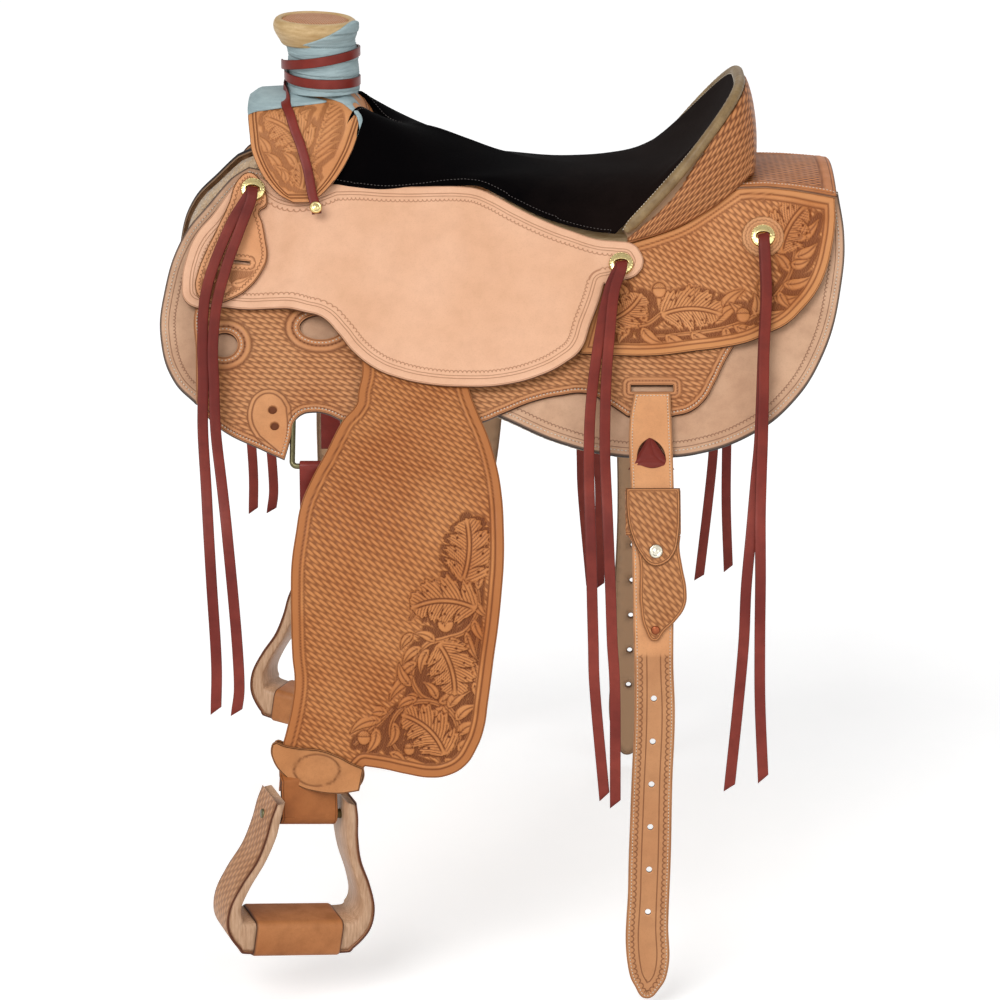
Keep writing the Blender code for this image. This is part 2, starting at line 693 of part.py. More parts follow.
CONCHO_RADIUS = 13 * MM
CONCHO_RISE = 5 * MM
SLOT = (16 * MM, 8.4 * MM)
CONCHOS = {
    "front": (-256 * MM, 15 * MM, 24 * MM),
    "mid": (125 * MM, 84 * MM, 22.8 * MM),
    "rear": (272 * MM, 58 * MM, 17.3 * MM),
}
# Each tail of a string: places (x, s) in millimetres from the concho to the tip
STRINGS = {
    "front": (
        [(-263, 27), (-278, 51), (-295, 92), (-303, 128), (-304, 173), (-302, 218), (-301, 273),
         (-295, 347), (-290, 416), (-286, 496), (-287, 547)],
        [(-257, 28), (-268, 56), (-281, 93), (-290, 133), (-293, 180), (-291, 219), (-287, 282),
         (-274, 376), (-267, 443), (-263, 517), (-266, 548)],
    ),
    "mid": (
        [(122, 92), (112, 116), (102, 167), (93, 236), (90, 292), (90, 340), (92, 408),
         (94, 476), (96, 528), (106, 637)],
        [(125, 94), (117, 120), (112, 168), (108, 219), (106, 293), (108, 358), (111, 423),
         (113, 475), (116, 527), (117, 644)],
    ),
    "rear": (
        [(272, 67), (273, 117), (269, 182), (266, 235), (263, 282), (259, 319), (254, 364),
         (248, 421), (246, 477), (241, 542), (233, 629)],
        [(273, 69), (274, 119), (270, 183), (268, 237), (266, 283), (264, 320), (262, 364),
         (262, 420), (262, 476), (263, 541), (267, 619)],
    ),
}
STRING_WIDTH = 11 * MM
STRING_THICK = 2.2 * MM
TAIL_LIFT = 3.2 * MM
CURVE_STEP = 62 * MM


def resample(points, step):
    """Even points along a smooth curve through (x, s) places."""
    knots = [(i, p[0] * MM) for i, p in enumerate(points)], [(i, p[1] * MM) for i, p in enumerate(points)]
    fine = [
        (smooth(knots[0], u), smooth(knots[1], u))
        for u in np.linspace(0, len(points) - 1, 12 * len(points))
    ]
    lengths = np.concatenate(([0.0], np.cumsum(np.linalg.norm(np.diff(fine, axis=0), axis=1))))
    count = max(2, round(lengths[-1] / step))
    even = np.linspace(0, lengths[-1], count + 1)
    xs = np.interp(even, lengths, [p[0] for p in fine])
    ss = np.interp(even, lengths, [p[1] for p in fine])
    return list(zip(xs, ss))


def make_concho(spot, word, side):
    x, s, t = CONCHOS[spot]
    stand = side_frame(x, s, t, side)
    dome = [(0, 0)]
    dome += [(CONCHO_RADIUS, 0), (CONCHO_RADIUS, 1.0 * MM)]
    for degrees in (35, 65, 90):
        a = math.radians(degrees)
        dome.append((CONCHO_RADIUS * 0.94 * math.cos(a), 1.0 * MM + (CONCHO_RISE - 1.0 * MM) * math.sin(a)))
    name = "concho_%s_%s" % (spot, word)
    concho = turned(name, dome, BRASS, 12, stand)
    slot = block("cut_" + name, (*SLOT, 30 * MM), stand, None, CUTTERS)
    cut(concho, slot)


def tail_edges(x, s, dx, ds, t, side, half=STRING_WIDTH / 2):
    length = math.hypot(dx, ds) or 1.0
    wx, ws = half * ds / length, -half * dx / length
    return place(x - wx, s - ws, t, side), place(x + wx, s + ws, t, side)


def make_string(spot, word, side):
    """One lace folded through the concho's slot, with two tails of unlike length."""
    x, s, base = CONCHOS[spot]
    top = base + CONCHO_RISE + STRING_THICK / 2 + 0.5 * MM
    stations = []
    for number, tail in enumerate(STRINGS[spot]):
        points = resample(tail, CURVE_STEP)
        lift = top + TAIL_LIFT * number
        rows = []
        for i, (px, ps) in enumerate(points):
            one = points[max(i - 1, 0)]
            two = points[min(i + 1, len(points) - 1)]
            dx, ds = two[0] - one[0], two[1] - one[1]
            left, right = tail_edges(px, ps, dx, ds, lift, side)
            if i == len(points) - 1:
                left = place(px - STRING_WIDTH / 2, ps - 9 * MM, lift, side)
            rows.append((left, right))
        stations.append(rows)
    stand = side_frame(x, s, base, side)
    half = Vector((STRING_WIDTH / 2, 0, 0))
    low, mid, high = 1.9 * MM, 3.6 * MM, top - base
    turn = [(-4.6, high), (-1.8, high - 0.5 * MM), (-0.9, mid), (0.6, low), (2.1, mid), (1.4, high + 2.2 * MM),
            (-1.5, high + 3.1 * MM)]
    flip = -1 if (stand.to_3x3() @ Vector((1, 0, 0))).x < 0 else 1
    fold = []
    for up, out in turn:
        at = Vector((0, up * MM, out))
        fold.append((stand @ (at - half * flip), stand @ (at + half * flip)))
    rows = list(reversed(stations[0])) + fold + stations[1]
    ribbon("string_%s_%s" % (spot, word), rows, STRING_THICK, LATIGO)


BAR_INNER = 7.6 * MM
BAR_FACES = [(-262, 12), (-232, 12), (-198, 20), (-168, 20), (-130, 14.5), (15, 14.5), (75, 11.4), (180, 11), (270, 10.3)]
BAR_TOPS = [(-262, -4), (-140, -4), (-110, 2), (80, 2), (200, 20), (270, 24)]


def make_bar(word, side):
    """A tree bar, a long board on the skirt, thick under the fork and thin at both tips."""
    rings = []
    for x in (-262, -232, -198, -168, -130, -90, 0, 90, 180, 270):
        outer = float(np.interp(x, *zip(*BAR_FACES))) * MM
        top = float(np.interp(x, *zip(*BAR_TOPS)))
        low = 72 - 22 * ease(abs(x), 200, 270)
        ring = [
            place(x * MM, s * MM, t, side)
            for s, t in ((top, BAR_INNER), (low, BAR_INNER), (low - 4, outer), (top + 4, outer))
        ]
        rings.append(ring)
    loft("tree_bar_" + word, rings, WOOD)


# The fork's outer contour (out, up) and its front and back edges, from the top to the tip
FORK_OUTER = [(0, 133), (20, 132), (35, 127.5), (50, 118), (62, 101), (71.5, 83), (84, 60), (94, 43)]
FORK_INNER = [(0, 93), (16, 92), (31, 87), (43, 79), (52, 71)]
FORK_INNER_S = [(-8, 20.8), (7, 20.8), (19, 27.0)]
FORK_FRONT = [-262, -262, -262, -262, -260, -257, -243, -221]
FORK_BACK = [-131, -136, -145, -155, -164, -171, -180, -191]
FORK_DIP = 27 * MM
FORK_ACROSS = ((0, 7), (0.08, 1.5), (0.3, 0), (0.55, 0), (0.8, 0), (0.94, 1.5), (1, 6))
FORK_SOFT = [1, 1, 1, 0.9, 0.75, 0.45, 0.25, 0.1]
COVER = 2.6 * MM
WOOD_CLEAR = 1.8 * MM


def fork_dip(x, out):
    """The top of the fork falls away behind the horn."""
    behind = ease(x, -165 * MM, -128 * MM)
    return FORK_DIP * behind * max(0.0, 1 - (out / (50 * MM)) ** 2)


def contour_normal(contour, i):
    """The direction (out, up) away from the horse at a contour's point."""
    if i == 0:
        return 0.0, 1.0
    j, k = i - 1, min(i + 1, len(contour) - 1)
    dy, dz = contour[k][0] - contour[j][0], contour[k][1] - contour[j][1]
    length = math.hypot(dy, dz)
    return -dz / length, dy / length


def fork_ring(i, side, shrink, tuck=0):
    """One slice across the fork's arch; shrink draws it in all round, tuck takes the next slice's width."""
    front = FORK_FRONT[i + tuck] * MM + shrink
    back = FORK_BACK[i + tuck] * MM - shrink
    out, up = FORK_OUTER[i][0] * MM, FORK_OUTER[i][1] * MM
    ny, nz = contour_normal(FORK_OUTER, i)
    across = [(way, soft * FORK_SOFT[i]) for way, soft in FORK_ACROSS]
    ring = []
    for part_way, soft in across:
        x = front + (back - front) * part_way
        draw = shrink + soft * MM
        ring.append(Vector((x, side * (out - ny * draw), up - nz * draw - fork_dip(x, out))))
    for part_way, soft in reversed(across):
        x = front + (back - front) * part_way
        lift = shrink + 0.6 * soft * MM
        if i < len(FORK_INNER):
            my, mz = contour_normal(FORK_INNER, i)
            y, z = FORK_INNER[i][0] * MM + my * lift, FORK_INNER[i][1] * MM + mz * lift
            ring.append(Vector((x, side * y, z - 0.5 * fork_dip(x, out))))
        else:
            s, t = FORK_INNER_S[i - len(FORK_INNER)]
            ring.append(place(x, s * MM, t * MM + lift, side))
    return ring


def fork_rings(shrink, count, tuck=0):
    """Slices from the near tip over the top to the off tip."""
    near = [fork_ring(i, -1, shrink, tuck) for i in range(count - 1, -1, -1)]
    off = [fork_ring(i, 1, shrink, tuck) for i in range(1, count)]
    return near + off


def make_fork():
    """The leather cover is a sleeve open at its lower ends, and the wood fills it."""
    count = len(FORK_OUTER)
    cover = sleeve("fork_cover", fork_rings(0.0, count), fork_rings(COVER, count), TOOLED)
    core = loft("tree_fork", fork_rings(COVER + WOOD_CLEAR, count - 2, 1), WOOD)
    socket = turned_cutter("cut_horn_socket", 27.5 * MM, 100 * MM, 160 * MM)
    cut(cover, socket)
    cut(core, turned_cutter("cut_horn_post", 26.3 * MM, 112 * MM, 160 * MM))


def turned_cutter(name, radius, low, high):
    shape = [(0, low), (radius, low), (radius, high), (0, high)]
    made = turned(name, shape, None, 24, Matrix.Translation((HORN_X, 0, 0)))
    PARTS.objects.unlink(made)
    CUTTERS.objects.link(made)
    made.hide_render = True
    made.display_type = "WIRE"
    return made


def make_horn():
    """Post, rawhide-bound cap, wrap and the two-turn strap with its stud."""
    upright = Matrix.Translation((HORN_X, 0, 0))
    post = [(0, 112.3), (26, 112.3), (26, 140), (25, 165), (29, 186), (32, 192), (0, 192)]
    turned("horn_post", [(r * MM, z * MM) for r, z in post], WOOD, 18, upright)
    tip = upright @ Matrix.Translation((0, 0, CAP_Z)) @ Matrix.Rotation(math.radians(2), 4, "Y")
    cap = [(0, -5.5), (33, -5.5), (34.6, -2), (34.6, 3), (32, 5.5), (20, 6.6), (0, 7)]
    turned("horn_cap_leather", [(r * MM, z * MM) for r, z in cap], TOOLED, 22, tip)
    rim = [(35, -4), (35, 3), (37.5, 6.5), (41.5, 5), (43.3, -1), (41.5, -10), (36, -17.5),
           (33.6, -18.5), (33.4, -7.5)]
    rim.append(rim[0])
    turned("horn_rim_binding", [(r * MM, z * MM) for r, z in rim], RAWHIDE, 22, tip)
    wrap = [(29.3, 137), (36, 137), (37.2, 143), (36.2, 160), (35.2, 179.2), (32.6, 179.2), (29.3, 172)]
    wrap.append(wrap[0])
    turned("horn_wrap", [(r * MM, z * MM) for r, z in wrap], HORN_WRAP, 22, upright)
    make_horn_strap()


STRAP_HEIGHTS = [(0.0, 142.5), (0.5, 146.5), (1.0, 155.0), (1.5, 175.0), (2.0, 164.5)]


def horn_strap_point(turn):
    """A place on the wrap: turn 0 is in front, and turns run round the off side."""
    radius = WRAP_RADIUS + 1.2 * MM + STRAP_THICK / 2
    radius += 3.0 * MM * ease(turn, 1.62, 1.9)
    height = smooth(STRAP_HEIGHTS, turn) * MM
    a = 2 * math.pi * turn
    return Vector((HORN_X - radius * math.cos(a), radius * math.sin(a), height))


STRAP_HANG = [(-190, 7.7), (-193, 6.9), (-197, 6), (-202, 5), (-207, 4), (-211, 3), (-214, 2.5), (-216, 2)]
STRAP_CLEAR = 3 * MM


def fork_face(x, station, off):
    """A place off the near face of the fork, at a station along its outer contour."""
    i = min(int(station), len(FORK_OUTER) - 2)
    one, two = (Vector(p) * MM for p in FORK_OUTER[i:i + 2])
    here = one + (two - one) * (station - i)
    away = Vector((-(two - one).y, (two - one).x)).normalized() * off
    return Vector((x, -(here.x + away.x), here.y + away.y))


def least_gap(stations, thickness):
    """The smallest distance between stretches of a ribbon that are over half a turn apart, less its thickness."""
    apart = 12
    rows = [np.linspace(one, two, 5) for one, two in stations]
    fine = []
    for one, two in zip(rows, rows[1:]):
        fine += [one + (two - one) * k / 4 for k in range(4)]
    least = 1.0
    for i in range(len(fine)):
        for j in range(i + 4 * apart, len(fine)):
            between_points = np.linalg.norm(fine[i][:, None] - fine[j][None, :], axis=2)
            least = min(least, float(between_points.min()))
    return least - thickness


def make_horn_strap():
    turns = STRAP_TURNS * 22
    path = [horn_strap_point(STRAP_TURNS * i / turns) for i in range(turns + 1)]
    lead = []
    for turn, height in ((-0.14, 134.5), (-0.10, 137.5), (-0.05, 140.5)):
        a = 2 * math.pi * turn
        radius = WRAP_RADIUS + 2.5 * MM + STRAP_THICK / 2
        lead.append(Vector((HORN_X - radius * math.cos(a), radius * math.sin(a), height * MM)))
    low = [fork_face(x * MM, station, STRAP_CLEAR) for x, station in STRAP_HANG]
    path = low + lead + path
    axis = Vector((HORN_X, 0, 0))
    stations = []
    for i, here in enumerate(path):
        ahead = (path[min(i + 1, len(path) - 1)] - path[max(i - 1, 0)]).normalized()
        if i < len(low):
            outward = fork_face(here.x, STRAP_HANG[i][1], 2 * STRAP_CLEAR) - here
        else:
            outward = Vector((here.x - axis.x, here.y, 0)).normalized()
        across = ahead.cross(outward).normalized() * STRAP_WIDTH / 2
        stations.append((here - across, here + across))
    print("horn wrap strap, least gap to itself: %.2f mm" % (least_gap(stations, STRAP_THICK) / MM))
    ribbon("horn_wrap_strap", stations, STRAP_THICK, LATIGO)
    stud = [(0, 0), (6.4, 0), (6.4, 1.8), (5.2, 3.4), (2.5, 4.2), (0, 4.4)]
    at = fork_face(-191 * MM, 7.4, STRAP_CLEAR + STRAP_THICK / 2 + 1.5 * MM)
    stand = Matrix.Translation(at) @ side_frame(-191 * MM, 20 * MM, 30 * MM, -1).to_3x3().to_4x4()
    turned("horn_strap_stud", [(r * MM, z * MM) for r, z in stud], BRASS, 16, stand)


# The seat: centre line (x, up) and side seam (x, s) against v, from front to rear
SEAT_CENTRE = [
    (0, -103, 100), (0.1, -68, 93.5), (0.2, -35, 81.5), (0.3, -3, 69.5), (0.4, 33, 60), (0.5, 70, 55.5),
    (0.6, 106, 54.5), (0.7, 143, 58.5), (0.8, 180, 70), (0.88, 210, 92), (0.94, 231, 120), (1, 246, 148),
]
SEAT_SEAM = [
    (0, -172, 2), (0.1, -147, 4), (0.2, -119, 5), (0.3, -88, -1), (0.4, -55, -9), (0.5, -24, -9),
    (0.6, 8, 9), (0.7, 42, 29), (0.8, 74, 42), (0.9, 100, 50), (1, 119, 53),
]
SEAM_T = 28 * MM
SEAT_THICK = 8 * MM
GROUND_THICK = 4 * MM
EAR_RISE = 33 * MM


def seat_point(u, v, sink=0.0):
    """The seat's upper face: u runs across from -1 to 1, v from front to rear."""
    a = abs(u)
    side = 1 if u > 0 else -1
    cx = smooth([(k[0], k[1]) for k in SEAT_CENTRE], v) * MM
    cz = smooth([(k[0], k[2]) for k in SEAT_CENTRE], v) * MM
    seam = place(smooth([(k[0], k[1]) for k in SEAT_SEAM], v) * MM,
                 smooth([(k[0], k[2]) for k in SEAT_SEAM], v) * MM, SEAM_T, side)
    forward = a ** (0.65 * (3.3 / 0.65) ** v)
    fall = a ** (2.2 + 0.9 * v)
    spread = a * (1.25 - 0.25 * a * a)
    ear = EAR_RISE * math.sin(math.pi * min(a * 1.02, 1.0)) ** 2 * max(0.0, 1 - v / 0.26) ** 2
    return Vector((
        cx + (seam.x - cx) * forward,
        side * abs(seam.y) * spread if u else 0.0,
        cz + (seam.z - cz) * fall + ear - sink,
    ))


def seat_normal(u, v):
    d = 0.004
    v0, v1 = max(v - d, 0), min(v + d, 1)
    u0, u1 = max(u - d, -1), min(u + d, 1)
    along = seat_point(u, v1) - seat_point(u, v0)
    across = seat_point(u1, v) - seat_point(u0, v)
    return along.cross(across).normalized()


def seat_grid(columns, rows, depth, u_reach=1.0, v_range=(0.0, 1.0)):
    grid = []
    for j in range(rows + 1):
        v = v_range[0] + (v_range[1] - v_range[0]) * j / rows
        row = []
        for i in range(columns + 1):
            u = u_reach * (-1 + 2 * i / columns)
            normal = seat_normal(u, v)
            if normal.z < 0:
                normal = -normal
            row.append(seat_point(u, v) - normal * depth)
        grid.append(row)
    return grid


def make_seat():
    """The padded suede seat over its leather ground."""
    count = 14
    top = seat_grid(count, count, 0.0)
    bottom = seat_grid(count, count, SEAT_THICK)
    between("seat_pad", top, bottom, SUEDE)
    reach = 1 - 2 / count
    ends = (1 / count, 1 - 1 / count)
    ground = [
        seat_grid(count - 2, count - 2, SEAT_THICK + depth, reach, ends) for depth in (2 * GAP, GROUND_THICK)
    ]
    between("ground_seat", *ground, NATURAL)


BINDING_RADIUS = 6.5 * MM
BACK_KNOTS = [  # a, bottom edge x, s, t in millimetres; the ridge itself is set apart
    (0.3, 257, 2, 18.5), (0.5, 244, 11, 18), (0.65, 217, 27, 18), (0.8, 178, 44, 18), (1.0, 128, 57.5, 18),
]
BACK_RIDGE = (261 * MM, 60 * MM)
BACK_BULGE = 9 * MM
COVER_THICK = 3.5 * MM
COVER_CLEAR = 4.5 * MM
WOOD_REACH = 0.66


def rim_point(u, outset, fall):
    """A place off the cantle's rim: outset goes past the seat's edge, fall goes behind it."""
    here = seat_point(u, 1.0)
    d = 0.02
    rim = seat_point(min(u + d, 1), 1.0) - seat_point(max(u - d, -1), 1.0)
    rim.normalize()
    outward = here - seat_point(u, 0.975)
    outward = (outward - rim * outward.dot(rim)).normalized()
    normal = seat_normal(u, 0.995)
    if normal.z < 0:
        normal = -normal
    return here + outward * outset - normal * fall


def back_bottom(u):
    a = abs(u)
    side = 1 if u > 0 else -1
    if a < 0.3:
        edge = place(*[k * MM for k in BACK_KNOTS[0][1:]], side)
        k = a / 0.3
        ridge = Vector((BACK_RIDGE[0], 0, BACK_RIDGE[1]))
        return Vector((
            ridge.x + (edge.x - ridge.x) * k * k, edge.y * k, ridge.z + (edge.z - ridge.z) * k * k,
        ))
    x, s, t = (smooth([(k[0], k[n]) for k in BACK_KNOTS], a) * MM for n in (1, 2, 3))
    return place(x, s, t, side)


def back_point(u, w):
    """The cantle's back: w runs from the rim down to the rear jockeys."""
    top = rim_point(u, 3.5 * MM, SEAT_THICK + 11 * MM + 3 * MM * ease(abs(u), 0.8, 1))
    low = back_bottom(u)
    here = top.lerp(low, w)
    swell = BACK_BULGE * math.sin(math.pi * w) * (1 - 0.6 * abs(u))
    return here + Vector((0.75, math.copysign(0.6, u) * min(1, 2 * abs(u)), 0.25)) * swell


def make_cantle():
    """Binding round the rim, the stamped back cover and the wood between."""
    columns = 18
    us = [-0.97 + 1.94 * i / columns for i in range(columns + 1)]
    rim = [rim_point(u, BINDING_RADIUS + 1.3 * MM, SEAT_THICK / 2) for u in us]
    tube("cantle_binding", rim, BINDING_RADIUS, RAWHIDE)
    cover = [[back_point(u, w / 4) for u in us] for w in range(5)]
    sheet("cantle_back_cover", cover, TOOLED, COVER_THICK, 1.0, up=(1, 0, 0))
    front = seat_grid(10, 3, SEAT_THICK + GROUND_THICK + 2 * MM, WOOD_REACH, (0.8, 0.95))
    rear = []
    for j, row in enumerate(front):
        rear.append([])
        for i, here in enumerate(row):
            there = back_point(0.93 * WOOD_REACH * (-1 + 2 * i / 10), 0.75 - 0.2 * j)
            rear[-1].append(there - (there - here).normalized() * COVER_CLEAR)
    between("tree_cantle", front, rear, WOOD)


def make_rear_housing():
    """The piece that bridges the two rear jockeys behind the cantle."""
    edges = [(252, 10.5), (276, 13), (301, 18), (324, 23.5), (348, 29.5)]
    grid = []
    for j in range(4):
        f = j / 3
        row = []
        for i in range(11):
            u = -1 + i / 5
            start = 273 - 14 * u * u
            x = start + (349 - start) * f
            s = float(np.interp(x, [e[0] for e in edges], [e[1] for e in edges]))
            edge = place(x * MM, s * MM, 18 * MM, 1)
            crown = 57 * MM
            row.append(Vector((x * MM, edge.y * u, crown + (edge.z - crown) * u * u)))
        grid.append(row)
    sheet("rear_housing", grid, TOOLED, 3 * MM, 1.0)


def move_origin(piece, to):
    """A moving piece has its origin on the axis that it turns about."""
    piece.data.transform(Matrix.Translation(-to))
    piece.location = to


HUNG_ON = {
    "stirrup_leather": LEATHER_PIVOT, "fender": FENDER_FOLD, "stirrup_hobble": FENDER_FOLD,
    "stirrup_frame": BOLT_AT, "stirrup_tread": BOLT_AT, "stirrup_bolt": BOLT_AT,
    "flank_billet": BILLET_PIVOT, "billet_keeper": BILLET_PIVOT,
    "latigo": ((DEE_BOX[0] + DEE_BOX[1]) / 2, DEE_BOX[3], DEE_T),
    "string_front": CONCHOS["front"], "string_mid": CONCHOS["mid"], "string_rear": CONCHOS["rear"],
}

for side_word, side_sign in SIDES:
    make_skirts(side_word, side_sign)
    make_bar(side_word, side_sign)
    make_rigging(side_word, side_sign)
    make_fender(side_word, side_sign)
    make_stirrup(side_word, side_sign)
    make_billet(side_word, side_sign)
    make_jockeys(side_word, side_sign)
    for place_word in CONCHOS:
        make_concho(place_word, side_word, side_sign)
        make_string(place_word, side_word, side_sign)
make_fork()
make_horn()
make_seat()
make_cantle()
make_rear_housing()
for side_word, side_sign in SIDES:
    for hung, pivot in HUNG_ON.items():
        move_origin(PARTS.objects[hung + "_" + side_word], place(*pivot, side_sign))
for piece in PARTS.objects:
    piece.data.set_sharp_from_angle(angle=math.radians(35))
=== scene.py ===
"""The looks of the wade saddle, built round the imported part.

Metres, +Z up, the front of the horse is -X and the near side is -Y. Leather on the
horse's side is laid out flat in millimetres as (x, s) and bent onto the side: x runs
along the horse, s down the slope from the ridge and t outwards from the horse.
"""
import math
import bpy
import bmesh
import numpy as np
from mathutils import Matrix, Vector
from mathutils.geometry import delaunay_2d_cdt
from mathutils.kdtree import KDTree


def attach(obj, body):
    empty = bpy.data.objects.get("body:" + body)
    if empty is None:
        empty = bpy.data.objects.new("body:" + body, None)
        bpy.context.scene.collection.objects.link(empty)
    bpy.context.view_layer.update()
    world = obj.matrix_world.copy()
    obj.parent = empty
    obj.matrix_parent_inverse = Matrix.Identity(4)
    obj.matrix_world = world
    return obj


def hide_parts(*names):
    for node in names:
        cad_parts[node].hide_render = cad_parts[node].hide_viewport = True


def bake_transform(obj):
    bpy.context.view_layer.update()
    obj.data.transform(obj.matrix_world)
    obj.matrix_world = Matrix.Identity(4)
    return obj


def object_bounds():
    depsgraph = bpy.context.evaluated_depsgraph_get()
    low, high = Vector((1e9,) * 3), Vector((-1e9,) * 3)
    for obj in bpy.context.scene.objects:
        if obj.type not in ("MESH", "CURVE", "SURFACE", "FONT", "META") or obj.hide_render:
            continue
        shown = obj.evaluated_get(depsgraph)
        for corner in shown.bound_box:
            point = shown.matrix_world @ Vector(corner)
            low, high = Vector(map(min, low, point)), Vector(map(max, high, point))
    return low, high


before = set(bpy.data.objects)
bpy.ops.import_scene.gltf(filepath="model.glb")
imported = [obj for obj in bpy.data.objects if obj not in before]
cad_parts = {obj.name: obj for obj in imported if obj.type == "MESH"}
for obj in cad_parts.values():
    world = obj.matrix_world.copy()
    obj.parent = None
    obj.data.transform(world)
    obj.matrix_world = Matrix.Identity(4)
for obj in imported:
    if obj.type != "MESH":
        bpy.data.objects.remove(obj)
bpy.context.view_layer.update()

MM = 0.001
SIDES = (("near", -1), ("off", 1))

# Camera, found from the photograph
LOOK_AT = Vector((0, -0.12, -0.28))
CAMERA_DISTANCE = 4.5
CAMERA_HEIGHT = math.radians(17)
LENS = 154.3
LAMPS_AT = Vector((0, 0, -0.2))
FLOOR_REACH = 40

# The horse's side, in millimetres
RIDGE_Y = 55
RIDGE_Z = 26.5
SLOPE = math.radians(51)
HANG = math.radians(84)
BEND_START = 310
BEND_LENGTH = 140
RISE_DEPTH = 130
RISE_REACH = 310
RISE_CENTRE = 20
RISE_FRONT = 24
RISE_REAR = 40


# ---- flat leather and the horse's side


def slope_angle(s):
    k = np.clip((np.asarray(s, float) - BEND_START) / BEND_LENGTH, 0.0, 1.0)
    return SLOPE + (HANG - SLOPE) * k * k * (3 - 2 * k)


DOWN_STEP = 0.5
DOWN = np.arange(-150.0, 1250.5, DOWN_STEP)
ANGLES = slope_angle(DOWN + DOWN_STEP / 2)
OUT = np.concatenate(([0], np.cumsum(np.cos(ANGLES) * DOWN_STEP)))[:-1]
UP = -np.concatenate(([0], np.cumsum(np.sin(ANGLES) * DOWN_STEP)))[:-1]
OUT += RIDGE_Y - np.interp(0, DOWN, OUT)
UP += RIDGE_Z - np.interp(0, DOWN, UP)


def on_side(x, s, t, side=-1):
    """World points for places (x, s, t) in millimetres on one side of the horse."""
    x, s, t = np.broadcast_arrays(np.asarray(x, float), np.asarray(s, float), np.asarray(t, float))
    angle = slope_angle(s)
    rise = np.where(x > RISE_CENTRE, RISE_REAR, RISE_FRONT) * ((x - RISE_CENTRE) / RISE_REACH) ** 2
    fade = np.clip(1 - np.maximum(s, 0) / RISE_DEPTH, 0, 1) ** 2
    out = np.interp(s, DOWN, OUT) + t * np.sin(angle)
    up = np.interp(s, DOWN, UP) + t * np.cos(angle) + rise * fade
    return np.stack((x, side * out, up), -1) * MM


def place(x, s, t, side=-1):
    return Vector(on_side(x, s, t, side))


def ease(value, start, end):
    k = np.clip((np.asarray(value, float) - start) / (end - start), 0, 1)
    return k * k * (3 - 2 * k)


def unit(vectors):
    return vectors / np.maximum(np.linalg.norm(vectors, axis=-1, keepdims=True), 1e-9)


def lengths_along(line):
    """How far along a line each of its points lies."""
    return np.concatenate(([0.0], np.cumsum(np.linalg.norm(np.diff(line, axis=0), axis=1))))


def bead(value, at, width, high=1):
    """A raised line where a value is at a place, falling off smoothly on both sides."""
    return high * np.exp(-(((value - at) / width) ** 2))


def smooth(knots, at):
    """A smooth curve through rows of (parameter, value...) knots."""
    knots = np.asarray(knots, float)
    params, values = knots[:, 0], knots[:, 1:]
    at = np.asarray(at, float)
    i = np.clip(np.searchsorted(params, at) - 1, 0, len(knots) - 2)
    before, after = np.maximum(i - 1, 0), np.minimum(i + 2, len(knots) - 1)
    span = (params[i + 1] - params[i])[..., None]
    slope0 = (values[i + 1] - values[before]) / (params[i + 1] - params[before])[..., None]
    slope1 = (values[after] - values[i]) / (params[after] - params[i])[..., None]
    k = (at - params[i])[..., None] / span
    made = (2 * k**3 - 3 * k**2 + 1) * values[i] + (k**3 - 2 * k**2 + k) * slope0 * span
    made += (3 * k**2 - 2 * k**3) * values[i + 1] + (k**3 - k**2) * slope1 * span
    return made[..., 0] if values.shape[1] == 1 else made


def line_through(points, step):
    """Even points along a smooth line through the given points."""
    points = np.asarray(points, float)
    knots = np.column_stack((np.arange(len(points)), points))
    fine = smooth(knots, np.linspace(0, len(points) - 1, 24 * len(points)))
    lengths = lengths_along(fine)
    even = np.linspace(0, lengths[-1], max(3, round(lengths[-1] / step)) + 1)
    return np.stack([np.interp(even, lengths, fine[:, n]) for n in range(fine.shape[1])], -1)


# The way between two knots of a loop over the length of their handles, so that the loop is round
HANDLE = 2.5614


def smooth_loop(outline, step):
    """Points along a closed outline; a third value of 1 marks a sharp corner."""
    knots = np.array([p[:2] for p in outline], float)
    sharp = [len(p) > 2 for p in outline]
    count = len(knots)

    def handle(i, way):
        here, there = knots[i], knots[(i + way) % count]
        if sharp[i]:
            return here + (there - here) / 3
        past, ahead = here - knots[i - 1], knots[(i + 1) % count] - here
        direction = past / np.linalg.norm(past) + ahead / np.linalg.norm(ahead)
        return here + way * unit(direction) * np.linalg.norm(there - here) / HANDLE

    made = []
    for i in range(count):
        j = (i + 1) % count
        a, b, c, d = knots[i], handle(i, 1), handle(j, -1), knots[j]
        k = np.linspace(0, 1, max(1, round(np.linalg.norm(d - a) * 1.04 / step)) + 1)[:-1, None]
        made.append((1 - k) ** 3 * a + 3 * (1 - k) ** 2 * k * b + 3 * (1 - k) * k * k * c + k**3 * d)
    return np.concatenate(made)


def inward_normals(loop, hole=False):
    """Unit normals that point into the leather, longer at corners so that an inset is even."""
    past, ahead = unit(loop - np.roll(loop, 1, 0)), unit(np.roll(loop, -1, 0) - loop)
    area = np.sum(loop[:, 0] * np.roll(loop[:, 1], -1) - np.roll(loop[:, 0], -1) * loop[:, 1])
    turn = (1 if area > 0 else -1) * (-1 if hole else 1)
    normal = unit(past + ahead)
    normal = np.column_stack((-normal[:, 1], normal[:, 0])) * turn
    flank = np.column_stack((-past[:, 1], past[:, 0])) * turn
    return normal / np.maximum(np.sum(normal * flank, 1), 0.55)[:, None]


def inside_loop(points, loop):
    x, y = points[:, 0], points[:, 1]
    inside = np.zeros(len(points), bool)
    for (x0, y0), (x1, y1) in zip(loop, np.roll(loop, -1, 0)):
        if y0 != y1:
            inside ^= ((y0 > y) != (y1 > y)) & (x < (x1 - x0) * (y - y0) / (y1 - y0) + x0)
    return inside


